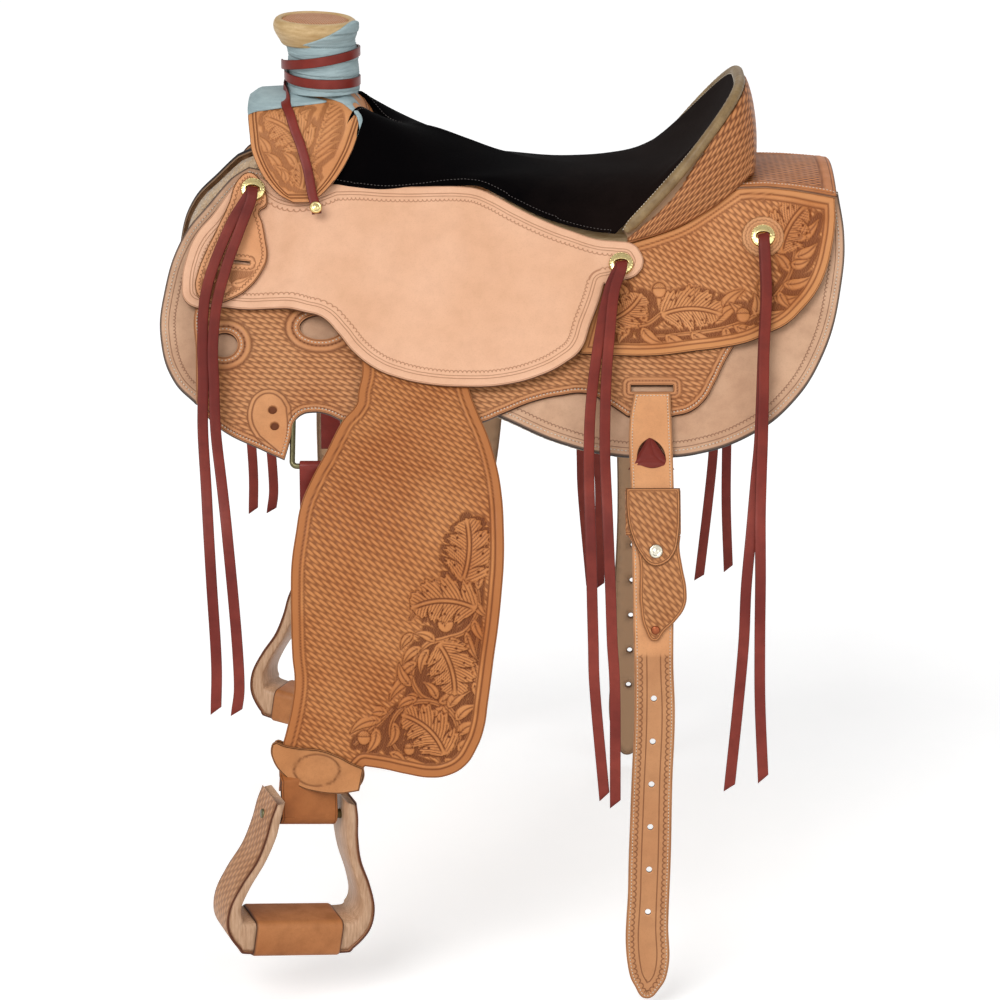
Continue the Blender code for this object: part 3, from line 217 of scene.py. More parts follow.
class Measure:
    """How far in from the edge a flat place is, and how far along the edge."""

    def __init__(self, loops):
        self.start = np.concatenate(loops)
        self.end = np.concatenate([np.roll(loop, -1, 0) for loop in loops])
        long = np.linalg.norm(self.end - self.start, axis=1)
        offsets = np.cumsum([0] + [len(loop) for loop in loops])
        self.along = np.concatenate([np.cumsum(long[a:b]) - long[a:b] for a,
                                     b in zip(offsets, offsets[1:])])
        spans = list(zip(offsets, offsets[1:]))
        self.past = np.concatenate([a + (np.arange(b - a) - 1) % (b - a) for a, b in spans])
        self.tree = KDTree(len(self.start))
        for i, (x, y) in enumerate(self.start):
            self.tree.insert((x, y, 0), i)
        self.tree.balance()

    def __call__(self, points):
        near = np.array([self.tree.find((x, y, 0))[1] for x, y in points], int)
        best, along = None, None
        for i in (near, self.past[near]):
            run = self.end[i] - self.start[i]
            ahead = np.sum((points - self.start[i]) * run, 1)
            k = np.clip(ahead / np.maximum(np.sum(run * run, 1), 1e-9), 0, 1)
            away = np.linalg.norm(points - self.start[i] - run * k[:, None], axis=1)
            here = self.along[i] + k * np.linalg.norm(run, axis=1)
            if best is None:
                best, along = away, here
            else:
                along = np.where(away < best, here, along)
                best = np.minimum(away, best)
        return best, along


def hex_grid(low, high, spacing):
    rows = np.arange(low[1], high[1], spacing * 0.866)
    columns = np.arange(low[0], high[0], spacing)
    x, y = np.meshgrid(columns, rows)
    x = x + (np.arange(len(rows)) % 2 * spacing / 2)[:, None]
    return np.column_stack((x.ravel(), y.ravel()))


def fill_loops(loops, points):
    """Triangles over a flat piece: its loops first, then the points inside it."""
    edges, start = [], 0
    for loop in loops:
        edges += [(start + i, start + (i + 1) % len(loop)) for i in range(len(loop))]
        start += len(loop)
    every = np.concatenate([*loops, points]) if len(points) else np.concatenate(loops)
    made = delaunay_2d_cdt([Vector(p) for p in every], edges, [], 1, 1e-7)
    where, faces = np.array([tuple(v) for v in made[0]]), np.array(made[2], int)
    middle = where[faces].mean(1)
    keep = inside_loop(middle, loops[0])
    for hole in loops[1:]:
        keep &= ~inside_loop(middle, hole)
    faces = faces[keep]
    source = np.array([origin[0] if origin else -1 for origin in made[3]], int)
    if (source < 0).any() or len(source) != len(every):
        for i in np.nonzero(source < 0)[0]:
            source[i] = np.argmin(np.linalg.norm(every - where[i], axis=1))
        faces = source[faces]
        a, b, c = faces.T
        faces = faces[(a != b) & (b != c) & (a != c)]
    return faces


# How a cut edge is rounded over, as (inset, fall) in millimetres
ROUND = ((1.3, 0.0), (0.45, 0.35), (0.0, 1.2))


def cut_flat(outline, holes=(), fine=None, fine_step=0.9, coarse=5.0, border=14.0, border_step=1.8,
             edge=1.0,
             hole_marks=True):
    """A piece of leather cut flat: points, faces and measures, for one side's worth of work."""
    loops = [smooth_loop(outline, 1.6)] + [smooth_loop(hole, 1.2) for hole in holes]
    normals = [inward_normals(loop, n > 0) for n, loop in enumerate(loops)]
    measure = Measure(loops)
    rings = [[loop + normal * inset * edge for loop, normal in zip(loops, normals)] for inset, _ in ROUND]
    low, high = loops[0].min(0), loops[0].max(0)
    chosen = []
    for spacing, kind in ((fine_step, "fine"), (border_step, "border"), (coarse, "coarse")):
        if kind == "fine" and fine is None:
            continue
        points = hex_grid(low, high, spacing)
        if fine is not None:
            is_fine = fine(points)
            points = points[is_fine if kind == "fine" else ~is_fine]
        points = points[inside_loop(points, loops[0])]
        for hole in loops[1:]:
            points = points[~inside_loop(points, hole)]
        inward, _ = measure(points)
        rule = inward > ROUND[0][0] * edge + 0.55 * spacing
        if kind == "border":
            rule &= inward <= border
        if kind == "coarse":
            rule &= inward > border
        chosen.append(points[rule])
    inner = np.concatenate(chosen)
    top = fill_loops(rings[0], inner)
    back_points = hex_grid(low, high, 9.0)
    back_points = back_points[inside_loop(back_points, loops[0])]
    for hole in loops[1:]:
        back_points = back_points[~inside_loop(back_points, hole)]
    back_points = back_points[measure(back_points)[0] > 6]
    back = fill_loops(rings[0], back_points)
    points = [*rings[0], inner]
    drop = [np.zeros(sum(map(len, points)))]
    ring_count = sum(map(len, loops))
    for ring, (_, fall) in list(zip(rings, ROUND))[1:]:
        points += ring
        drop.append(np.full(ring_count, fall * edge))
    points += rings[2] + rings[0] + [back_points]
    drop += [np.full(ring_count, -1.0), np.full(ring_count + len(back_points), -2.0)]
    points, drop = np.concatenate(points), np.concatenate(drop)
    top_count = ring_count + len(inner)
    starts = [0, top_count, top_count + ring_count, top_count + 2 * ring_count, top_count + 3 * ring_count]
    quads, first = [], 0
    for loop in loops:
        i = np.arange(len(loop)) + first
        j = (np.arange(len(loop)) + 1) % len(loop) + first
        for one, two in zip(starts, starts[1:]):
            quads.append(np.column_stack((i + one, j + one, j + two, i + two)))
        first += len(loop)
    rim = triangles(np.concatenate(quads))
    marked = measure if hole_marks else Measure(loops[:1])
    inward, along = marked(points)
    is_back = drop < -1.5
    is_edge = (drop > 1.0 * edge) | ((drop < -0.5) & (drop > -1.5))
    return {
        "points": points, "drop": drop, "inward": inward, "along": along, "loops": loops,
        "measure": measure, "faces": np.concatenate((top, rim, back + starts[4])),
        "top": np.arange(len(points)) < top_count, "edge": is_edge, "back": is_back, "normals": normals,
    }


def triangles(quads):
    return np.concatenate((quads[:, [0, 1, 2]], quads[:, [0, 2, 3]]))


def tube_faces(rows, around, ring=False, fans=False):
    """Triangles over rows of points round a tube. A ring's last row joins its first; fans close the ends."""
    i = np.arange(rows if ring else rows - 1)[:, None] * around
    j = np.arange(around)[None, :]
    k = (j + 1) % around
    over = (i + around) % (rows * around)
    faces = triangles(np.stack((i + j, i + k, over + k, over + j), -1).reshape(-1, 4))
    if fans:
        last = (rows - 1) * around
        fan = [(0, n, n + 1) for n in range(1, around - 1)]
        fan += [(last, last + n + 1, last + n) for n in range(1, around - 1)]
        faces = np.concatenate((faces, fan))
    return faces


def moved(points, matrix):
    matrix = np.array(matrix)
    return points @ matrix[:3, :3].T + matrix[:3, 3]


def closed_volume(points, faces):
    a, b, c = (points[faces[:, n]] for n in range(3))
    return float(np.sum(a * np.cross(b, c)))


def put_object(name, data):
    piece = bpy.data.objects.new(name, data)
    bpy.context.scene.collection.objects.link(piece)
    return piece


def put_mesh(name, points, faces, finish, uvs=None, attributes=None):
    """A new piece from arrays of points and of faces, which are turned to look outwards."""
    mesh = bpy.data.meshes.new(name)
    faces = np.asarray(faces, int)
    if closed_volume(points, faces) < 0:
        faces = faces[:, ::-1]
    mesh.vertices.add(len(points))
    mesh.vertices.foreach_set("co", np.asarray(points, np.float32).ravel())
    mesh.loops.add(faces.size)
    mesh.loops.foreach_set("vertex_index", faces.ravel().astype(np.int32))
    mesh.polygons.add(len(faces))
    mesh.polygons.foreach_set("loop_start", np.arange(0, faces.size, 3, dtype=np.int32))
    mesh.update(calc_edges=True)
    mesh.polygons.foreach_set("use_smooth", np.full(len(faces), True))
    for label, coords in (uvs or {}).items():
        layer = mesh.uv_layers.new(name=label)
        layer.data.foreach_set("uv", np.asarray(coords, np.float32)[faces.ravel()].ravel())
    for label, values in (attributes or {}).items():
        layer = mesh.attributes.new(label, "FLOAT", "POINT")
        layer.data.foreach_set("value", np.asarray(values, np.float32))
    mesh.materials.append(finish)
    mesh.validate()
    return put_object(name, mesh)


def edge_maps(flat):
    """The two flat maps of a cut piece: where a place is, and how it lies to the edge."""
    return {"flat": flat["points"] * MM, "border": np.column_stack((flat["along"], flat["inward"])) * MM}


def bend_piece(name, flat, inner, thick, side, finish, relief=None, tone=0, weave=0):
    """Bends a flat piece onto one side of the horse."""
    x, s = flat["points"].T
    base = inner(x, s) if callable(inner) else np.full(len(x), float(inner))
    drop = flat["drop"]
    t = base + np.where(drop >= 0, thick - drop, np.where(drop > -1.5, min(1.0, thick * 0.3), 0.0))
    if relief is not None:
        t[flat["top"]] += relief[flat["top"]]
    given = {"edge": flat["edge"], "back": flat["back"]}
    for label, values in (("tone", tone), ("weave", weave)):
        given[label] = np.where(flat["top"], values, 0)
    return put_mesh(name, on_side(x, s, t, side), flat["faces"], finish, edge_maps(flat), given)


def closed_grid(name, top, bottom, finish, flat=None, border=None, attributes=None):
    """A closed piece between two grids of places in millimetres; values are given for the top grid only."""
    rows, columns = top.shape[:2]
    total = rows * columns
    points = np.concatenate((top.reshape(-1, 3), bottom.reshape(-1, 3))) * MM
    i = np.arange(rows - 1)[:, None] * columns
    j = np.arange(columns - 1)[None, :]
    quads = np.stack((i + j, i + j + 1, i + columns + j + 1, i + columns + j), -1).reshape(-1, 4)
    rim = [n for n in range(columns)] + [n * columns + columns - 1 for n in range(1, rows)]
    rim += [total - 1 - n for n in range(1, columns)] + [n * columns for n in range(rows - 2, 0, -1)]
    rim = np.array(rim)
    after = np.roll(rim, -1)
    wall = np.column_stack((rim, after, after + total, rim + total))
    faces = triangles(np.concatenate((quads, quads[:, ::-1] + total, wall[:, ::-1])))
    uvs = {}
    if flat is not None:
        uvs["flat"] = np.concatenate((flat, flat)) * MM
    if border is not None:
        uvs["border"] = np.concatenate((border, border)) * MM
    given = {key: np.concatenate((np.ravel(v), np.zeros(total))) for key, v in (attributes or {}).items()}
    given["back"] = np.concatenate((np.zeros(total), np.ones(total)))
    return put_mesh(name, points, faces, finish, uvs, given)


def finish_piece(piece, body, *nodes, slot):
    """Hands a piece over: the body that it rides on and the nodes that it replaces. The slot is not used."""
    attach(piece, body)
    if nodes:
        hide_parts(*nodes)


def lay(name, node_name, word, flat, inner, thick, finish, *looks, body="saddle", slot="tooled_leather",
        **more):
    """Bends a flat piece onto the side of this word and hands it over in place of a node."""
    piece = bend_piece("%s_%s" % (name, word), flat, inner, thick, dict(SIDES)[word], finish, *looks,
                       **more)
    finish_piece(piece, body, "%s_%s" % (node_name, word), slot=slot)


# ---- finishes


def tint(red, green, blue):
    """A colour as a screen shows it, 0 to 255, turned into the linear values that a shader takes."""
    made = []
    for value in (red, green, blue):
        v = value / 255
        made.append(v / 12.92 if v <= 0.04045 else ((v + 0.055) / 1.055) ** 2.4)
    return (*made, 1.0)


def node(tree, kind, values=None, **settings):
    """A new node, its settings made and its inputs joined or filled in."""
    made = tree.nodes.new(kind)
    for key, value in settings.items():
        setattr(made, key, value)
    for key, value in (values or {}).items():
        if isinstance(value, Signal):
            value = value.socket
        if isinstance(value, bpy.types.NodeSocket):
            tree.links.new(value, made.inputs[key])
        else:
            made.inputs[key].default_value = value
    return made


class Signal:
    """A value inside a shader. Arithmetic on it adds the nodes that work it out."""

    def __init__(self, tree, socket):
        self.tree, self.socket = tree, socket

    def maths(self, operation, *others):
        values = dict(enumerate((self, *others)))
        return Signal(self.tree, node(self.tree, "ShaderNodeMath", values, operation=operation).outputs[0])

    def __add__(self, other):
        return self.maths("ADD", other)

    def __sub__(self, other):
        return self.maths("SUBTRACT", other)

    def __mul__(self, other):
        return self.maths("MULTIPLY", other)

    def __truediv__(self, other):
        return self.maths("DIVIDE", other)

    def __abs__(self):
        return self.maths("ABSOLUTE")

    def ramp(self, low, high, to_low=0.0, to_high=1.0, kind="LINEAR"):
        """Takes low to to_low and high to to_high, and holds still beyond them."""
        made = node(self.tree, "ShaderNodeMapRange", {0: self, 1: low, 2: high, 3: to_low, 4: to_high},
                    interpolation_type=kind, clamp=True)
        return Signal(self.tree, made.outputs[0])

    def near(self, at, width):
        """1 where the value is at a place, falling to 0 a width away from it."""
        return abs(self - at).ramp(0.0, width, 1.0, 0.0, "SMOOTHSTEP")


def mixed(factor, one, other):
    """One colour where the factor is 0, and the other where it is 1."""
    made = node(factor.tree, "ShaderNodeMix", {0: factor, 6: one, 7: other}, data_type="RGBA")
    return Signal(factor.tree, made.outputs[2])


class Finish:
    """A material in the making, and what its shader can read off a piece."""

    def __init__(self, name, roughness=0.5, metallic=0.0, **more):
        self.made = bpy.data.materials.new(name)
        self.made.use_nodes = True
        self.tree = self.made.node_tree
        self.shader = self.tree.nodes["Principled BSDF"]
        for socket, value in {"Roughness": roughness, "Metallic": metallic, **more}.items():
            self.shader.inputs[socket.replace("_", " ")].default_value = value

    def signal(self, kind, output, values=None, **settings):
        return Signal(self.tree, node(self.tree, kind, values, **settings).outputs[output])

    def attribute(self, name):
        return self.signal("ShaderNodeAttribute", "Fac", attribute_name=name)

    def place(self):
        return self.signal("ShaderNodeTexCoord", "Object")

    def noise(self, scale, detail=3.0, rough=0.55, stretch=None):
        where = self.place()
        if stretch:
            where = self.signal("ShaderNodeMapping", 0, {"Vector": where, "Scale": stretch})
        values = {"Vector": where, "Scale": scale, "Detail": detail, "Roughness": rough}
        return self.signal("ShaderNodeTexNoise", "Fac", values)

    def cells(self, scale):
        return self.signal("ShaderNodeTexVoronoi", "Distance", {"Vector": self.place(), "Scale": scale})

    def flat_map(self, name, turn=0.0):
        """The two measures of a flat map, turned if need be."""
        where = self.signal("ShaderNodeUVMap", 0, uv_map=name)
        if turn:
            where = self.signal("ShaderNodeMapping", 0, {"Vector": where, "Rotation": (0, 0, turn)})
        parts = node(self.tree, "ShaderNodeSeparateXYZ", {0: where}).outputs
        return Signal(self.tree, parts[0]), Signal(self.tree, parts[1])

    def join(self, socket, signal):
        self.tree.links.new(signal.socket, self.shader.inputs[socket])

    def done(self, shade, height=None, strength=0.0, distance=0.0, rough=None):
        """Joins up the colour, and the bumps and the roughness where they are given."""
        self.join("Base Color", shade)
        if rough is not None:
            self.join("Roughness", rough)
        if height is not None:
            values = {"Strength": strength, "Distance": distance, "Height": height}
            self.join("Normal", self.signal("ShaderNodeBump", 0, values))
        return self.made


def basket(made, long, high, turn):
    """Basket stamping: rows of pointed bars, each row half a bar further on. 1 on top, 0 between."""
    u, v = made.flat_map("flat", turn)
    row = v / (high * MM)
    odd = abs(row.maths("FLOOR").maths("MODULO", 2.0))
    bar = (u / (long * MM) + odd * 0.5).maths("FRACT")
    parts = ((bar, 1.5), (row.maths("FRACT"), 0.7))
    long_way, high_way = ((part * math.pi).maths("SINE").maths("MAXIMUM", 0.0).maths("POWER", power)
                          for part, power in parts)
    return long_way * high_way


def border_marks(made, marks):
    """Lines, dots and shells that follow the cut edge, as (kind, inset, size...) in millimetres."""
    along, inward = made.flat_map("border")
    total = None
    for kind, inset, *sizes in marks:
        pitch = sizes[0] * MM
        if kind == "line":
            mark = inward.near(inset * MM, pitch)
        else:
            across = inward - inset * MM
            down = ((along / pitch).maths("FRACT") - 0.5) * pitch
            away = (across * across + down * down).maths("SQRT")
            if kind == "dots":
                mark = away.ramp(0.0, sizes[1] * MM, 1.0, 0.0, "SMOOTHSTEP")
            else:
                mark = away.near(sizes[1] * MM, sizes[2] * MM) * across.maths("GREATER_THAN", -0.0003)
        total = mark if total is None else total.maths("MAXIMUM", mark)
    return total


def leather(name, colour, deep, weave=None, marks=(), roughness=0.48, mottle=0.16, light=None,
            edge_colour=(70, 45, 34), band=None, pores=0.5, low_marks=()):
    """Tooled or plain leather: mottled colour, pores, basket stamps and border lines; the tooling is
    darkened with stain and painted shade, the stamps' tops lit with a painted highlight.
    """
    made = Finish(name, roughness, Specular_IOR_Level=0.22)
    dark = tint(*deep)
    pale = tint(*(light or (min(255, c + 18) for c in colour)))
    cloud, fine = made.noise(60.0, 4.0, 0.6), made.noise(700.0, 3.0, 0.6)
    shade = mixed(made.noise(11.0, 2.0).ramp(0.35, 0.65), tint(*colour), pale)
    shade = mixed(cloud.ramp(0.4, 0.75, 0.0, mottle), shade, dark)
    shade = mixed(fine.ramp(0.5, 0.8, 0.0, 0.16), shade, dark)
    height = (fine + made.cells(950.0) * 0.6) * (0.10 * pores)
    if band:
        inset, band_colour = band
        _, inward = made.flat_map("border")
        shade = mixed(inward.ramp((inset + 0.6) * MM, (inset - 0.6) * MM) * 0.85, shade, tint(*band_colour))
    if weave:
        long, high, turn, depth = weave
        stamp, mask = basket(made, long, high, turn), made.attribute("weave")
        # Stamps: the gaps between bars darkened, stain with painted shade, and the bar tops lightened as a
        # painted highlight
        shade = mixed(stamp.ramp(0.05, 0.6, 1.0, 0.0) * mask * depth, shade, dark)
        shade = mixed(stamp.ramp(0.5, 0.95) * mask * 0.7, shade, pale)
        height = height + stamp * mask * 0.75
    if marks:
        lines = border_marks(made, marks)
        # Tooled lines, dots and shells darkened: stain with painted shade in the cuts
        shade = mixed(lines * 0.75, shade, dark)
        height = height - lines * 0.45
    if low_marks:
        low = made.attribute("weave")
        lines = border_marks(made, low_marks) * low
        # The low tooled lines darkened the same way, stain with painted shade; the whole low zone is a
        # little darker
        shade = mixed(lines * 0.8, mixed(low * 0.34, shade, dark), dark)
        height = height - lines * 0.45
    tone = made.attribute("tone")
    # tone: stain in the cuts, bevels, pits and folds with painted shade there
    shade = mixed(tone.ramp(0.0, 1.0, 0.0, 0.95), shade, dark)
    shade = mixed(made.attribute("edge"), shade, tint(*edge_colour))
    shade = mixed(made.attribute("back"), shade, tint(176, 140, 108))
    rough = cloud.ramp(0.3, 0.7, roughness - 0.07, roughness + 0.08) + tone * 0.12
    return made.done(shade, height, 0.9, 0.0009, rough)


def suede_finish(name, colour, rear):
    """Suede, worn browner towards the rear."""
    made = Finish(name, 0.98, Sheen_Weight=0.02, Sheen_Roughness=0.5, Specular_IOR_Level=0.02)
    nap, brushed = made.noise(1200.0, 4.0, 0.7), made.noise(22.0, 4.0, 0.6)
    x = made.signal("ShaderNodeSeparateXYZ", 0, {0: made.place()})
    shade = mixed(x.ramp(0.02, 0.24), tint(*colour), tint(*rear))
    worn = x.ramp(-0.04, 0.22, 0.12, 1.0)
    shade = mixed(brushed.ramp(0.45, 0.75, 0.0, 0.5) * worn, shade, tint(*(c + 5 for c in rear)))
    shade = mixed(nap.ramp(0.5, 0.8, 0.0, 0.4) * worn, shade, tint(*(c + 16 for c in rear)))
    # tone: painted shade in the sunk seam
    shade = mixed(made.attribute("tone"), shade, tint(4, 3, 3))
    return made.done(shade, nap, 0.6, 0.0006)


def metal_finish(name, colour, tarnish, roughness):
    made = Finish(name, roughness, 1.0)
    marks = made.noise(260.0, 4.0, 0.6)
    shade = mixed(marks.ramp(0.45, 0.8, 0.0, 0.6), tint(*colour), tint(*tarnish))
    shade = mixed(made.attribute("tone"), shade, tint(60, 44, 24))
    return made.done(shade, marks, 0.25, 0.0002, marks.ramp(0.3, 0.75, roughness - 0.06, roughness + 0.16))


def wood_finish(name, colour, deep, stretch):
    """Wood with long grain: the larger numbers of stretch run across it."""
    made = Finish(name, 0.45, Specular_IOR_Level=0.4)
    grain, pores = made.noise(40.0, 6.0, 0.65, stretch), made.noise(300.0, 3.0, 0.6, stretch)
    shade = mixed(grain.ramp(0.3, 0.72), tint(*colour), tint(*deep))
    shade = mixed(pores.ramp(0.55, 0.8, 0.0, 0.5), shade, tint(*deep))
    return made.done(shade, pores, 0.3, 0.0004)


def hide_finish(name, colour, deep, stretch, roughness=0.5, ridge=0.5):
    """Rawhide or soft hide: streaks and small wrinkles that run one way."""
    made = Finish(name, roughness, Specular_IOR_Level=0.4)
    streak, fine = made.noise(45.0, 5.0, 0.6, stretch), made.noise(600.0, 3.0, 0.6)
    shade = mixed(streak.ramp(0.3, 0.7), tint(*colour), tint(*deep))
    shade = mixed(fine.ramp(0.45, 0.75, 0.0, 0.35), shade, tint(*deep))
    # tone: painted shade where one turn of the wrap lies over the next
    shade = mixed(made.attribute("tone"), shade, tint(*(c * 0.55 for c in deep)))
    return made.done(shade, streak * ridge + fine * 0.2, 0.6, 0.001)


def wool_finish(name):
    made = Finish(name, 0.95, Sheen_Weight=0.4, Specular_IOR_Level=0.1)
    curl, tuft = made.cells(230.0), made.noise(90.0, 5.0, 0.7)
    shade = mixed(tuft.ramp(0.35, 0.7), tint(236, 212, 182), tint(212, 182, 146))
    # Darker down between the curls, where the bumps sink: painted shade
    shade = mixed(curl.ramp(0.1, 0.5, 0.0, 0.6), shade, tint(186, 152, 116))
    return made.done(shade, curl * -0.7 + tuft, 1.0, 0.003)


def thread_finish(name, colour):
    made = Finish(name, 0.6)
    return made.done(mixed(made.noise(1400.0, 2.0), tint(*colour), tint(*(c * 0.72 for c in colour))))


FENDER_LEATHER = leather(
    "fender_leather", (184, 110, 56), (92, 40, 12), (16.2, 3.3, math.radians(-37), 0.62),
    [("line", 1.2, 0.7)], light=(208, 138, 82), band=(10.5, (178, 110, 60)))
REAR_LEATHER = leather(
    "rear_jockey_leather", (196, 124, 70), (106, 50, 18), (16.2, 3.3, math.radians(-43), 0.66),
    [("line", 1.2, 0.7)], light=(220, 152, 98), band=(7.5, (206, 140, 86)))
RIGGING_LEATHER = leather(
    "rigging_leather", (194, 124, 74), (98, 48, 22), (16.2, 3.4, math.radians(-23), 0.66),
    [("line", 1.0, 0.7), ("dots", 4.6, 3.4, 1.0)], light=(216, 152, 102), band=(6.6, (206, 142, 96)))
FORK_LEATHER = leather(
    "fork_cover_leather", (204, 134, 82), (112, 56, 22), None, [("line", 5.0, 0.8), ("line", 8.0, 0.8)],
    light=(218, 152, 98))
SKIRT_LEATHER = leather(
    "skirt_leather", (202, 158, 126), (128, 84, 60), None,
    [("dots", 6.0, 3.8, 1.1), ("line", 9.4, 0.8), ("shells", 14.0, 4.4, 2.2, 0.9)], mottle=0.24,
    light=(214, 172, 140), edge_colour=(34, 28, 28), band=(2.0, (62, 52, 48)))
JOCKEY_LEATHER = leather(
    "seat_jockey_leather", (232, 180, 144), (168, 112, 80), None,
    [("line", 1.0, 0.6), ("line", 8.6, 0.8), ("line", 11.6, 0.7), ("shells", 15.0, 4.6, 2.2, 0.9)],
    mottle=0.14, light=(240, 190, 156), edge_colour=(120, 84, 62))
KEEPER_LEATHER = leather(
    "strap_keeper_leather", (222, 154, 106), (132, 76, 40), None,
    [("line", 1.0, 0.6), ("shells", 4.0, 4.4, 2.0, 0.9)], light=(234, 170, 122))
BILLET_LEATHER = leather(
    "billet_leather", (212, 148, 100), (108, 62, 34), None, [("line", 1.0, 0.6), ("dots", 3.6, 3.2, 0.9)],
    light=(226, 164, 114), low_marks=[("shells", 5.6, 6.0, 2.8, 1.1), ("line", 13.0, 1.0)])
CUFF_LEATHER = leather(
    "billet_keeper_leather", (188, 122, 72), (94, 46, 20), (16.2, 3.4, math.radians(-45), 0.62),
    [("line", 1.0, 0.6), ("line", 3.0, 0.7)], light=(206, 144, 94), band=(2.8, (192, 128, 80)))
PLAIN_LEATHER = leather(
    "plain_tail_leather", (158, 92, 46), (88, 44, 20), None, [("line", 2.4, 0.7)], light=(174, 108, 60),
    mottle=0.3)
HOBBLE_LEATHER = leather(
    "hobble_leather", (184, 120, 70), (98, 52, 24), None, [("line", 1.2, 0.6)], light=(202, 140, 90),
    mottle=0.25)
HOUSING_LEATHER = leather(
    "rear_housing_leather", (194, 120, 68), (92, 44, 16), (13.0, 3.8, 0.0, 0.85), [("line", 4.0, 0.9)],
    light=(212, 140, 86))
BACK_LEATHER = leather(
    "cantle_back_leather", (196, 126, 76), (92, 44, 18), (15.0, 4.1, math.radians(8), 0.8),
    [("line", 2.0, 0.8)], light=(206, 142, 92))
CAP_LEATHER = leather(
    "horn_cap_leather", (212, 148, 102), (140, 82, 44), (3.2, 2.2, 0.3, 0.7), [], light=(224, 164, 118))
STIRRUP_LEATHER = leather(
    "stirrup_cover_leather", (190, 136, 96), (104, 62, 36), (12.0, 4.8, 0.25, 0.45), [("line", 2.2, 0.8)],
    light=(208, 156, 116), edge_colour=(92, 50, 30))
TREAD_LEATHER = leather(
    "tread_leather", (172, 108, 62), (90, 46, 22), None, [], light=(190, 126, 78), mottle=0.3)
LACE_LEATHER = leather(
    "saddle_string_leather", (112, 36, 28), (58, 18, 14), None, [], roughness=0.42, mottle=0.3,
    light=(136, 54, 42), edge_colour=(70, 22, 16), pores=0.3)
LATIGO_LEATHER = leather(
    "latigo_leather", (116, 36, 28), (50, 12, 10), None, [], roughness=0.34, mottle=0.3,
    light=(134, 48, 38), edge_colour=(58, 16, 14), pores=0.3)
GROUND_LEATHER = leather("ground_seat_leather", (196, 150, 112), (120, 80, 50), None, [])
BLACK_SUEDE = suede_finish("black_suede", (4, 3, 4), (30, 21, 18))
BRASS = metal_finish("brass", (232, 212, 150), (178, 140, 78), 0.2)
NICKEL = metal_finish("nickel", (214, 208, 190), (140, 128, 104), 0.26)
STEEL = metal_finish("old_steel", (112, 106, 78), (60, 54, 34), 0.36)
COPPER = metal_finish("copper", (156, 88, 58), (92, 50, 34), 0.34)
STIRRUP_WOOD = wood_finish("stirrup_wood", (212, 174, 142), (168, 126, 92), (10.0, 10.0, 1.2))
TREE_WOOD = wood_finish("tree_wood", (206, 178, 136), (160, 122, 78), (1.0, 8.0, 8.0))
RAWHIDE = hide_finish("rawhide", (220, 190, 142), (182, 146, 94), (1.0, 1.0, 6.0))
CANTLE_RAWHIDE = hide_finish("cantle_rawhide", (160, 134, 92), (112, 86, 52), (1.0, 1.0, 1.0), 0.45)
BLUE_HIDE = hide_finish("horn_wrap_hide", (176, 196, 198), (146, 166, 170), (1.0, 1.0, 7.0), 0.7, 0.8)
WOOL = wool_finish("wool_fleece")
THREAD = thread_finish("thread", (246, 232, 212))
SEAT_THREAD = thread_finish("seat_thread", (104, 96, 92))
ROSETTE_LEATHER = leather("rosette_leather", (208, 146, 98), (116, 62, 28), light=(220, 160, 112))


# ---- straps, laces and turned pieces


def strap_section(corner):
    """Points round a flat strap's cross-section, as (side, corner side, up, corner up)."""
    quarter = np.radians([0, 30, 60, 90])
    made = [(1, corner * math.cos(a), 1, corner * math.sin(a)) for a in quarter]
    made += [(k, 0.0, 1, corner) for k in (0.5, 0, -0.5)]
    made += [(-1, -corner * math.sin(a), 1, corner * math.cos(a)) for a in quarter]
    made += [(-1, -corner * math.cos(a), -1, -corner * math.sin(a)) for a in quarter]
    made += [(0, 0.0, -1, -corner)]
    made += [(1, corner * math.sin(a), -1, -corner * math.cos(a)) for a in quarter]
    return np.array(made)


def swept(name, path, across, normal, width, thick, finish, skew=None):
    """A strap with rounded edges along a path in metres; skew draws its rows out along the path."""
    path, across, normal = (np.asarray(v, float) for v in (path, across, normal))
    count = len(path)
    half, deep = width / 2, thick / 2
    corner = deep * 0.7
    section = strap_section(corner)
    side = np.broadcast_to(section[:, 0] * (half - corner) + section[:, 1], (count, len(section)))
    up = section[:, 2] * (deep - corner) + section[:, 3]
    points = path[:, None] + across[:, None] * side[..., None] + normal[:, None] * up[:, None]
    tangent = unit(np.gradient(path, axis=0))
    if skew is not None:
        points = points + tangent[:, None] * (side * skew[:, None])[..., None]
    around = len(section)
    along = lengths_along(path)
    flat = np.stack((np.broadcast_to(along[:, None], side.shape), side), -1).reshape(-1, 2)
    border = np.column_stack((flat[:, 0], np.maximum(half - np.abs(flat[:, 1]), 0)))
    edge = np.tile(np.abs(section[:, 1]) > 0.8 * corner, count).astype(float)
    points = points.reshape(-1, 3)
    ends = np.array([points[:around].mean(0), points[-around:].mean(0)])
    j = np.arange(around)
    k = (j + 1) % around
    first = np.column_stack((np.full(around, len(points)), k, j))
    last = (count - 1) * around
    other = np.column_stack((np.full(around, len(points) + 1), last + j, last + k))
    faces = np.concatenate((tube_faces(count, around), first, other))
    points = np.concatenate((points, ends))
    flat = np.concatenate((flat, [[0, 0], [along[-1], 0]]))
    border = np.concatenate((border, [[0, 0.002], [along[-1], 0.002]]))
    edge = np.concatenate((edge, [1, 1]))
    return put_mesh(name, points, faces, finish, {"flat": flat, "border": border},
                    {"weave": np.ones(len(points)), "edge": edge})


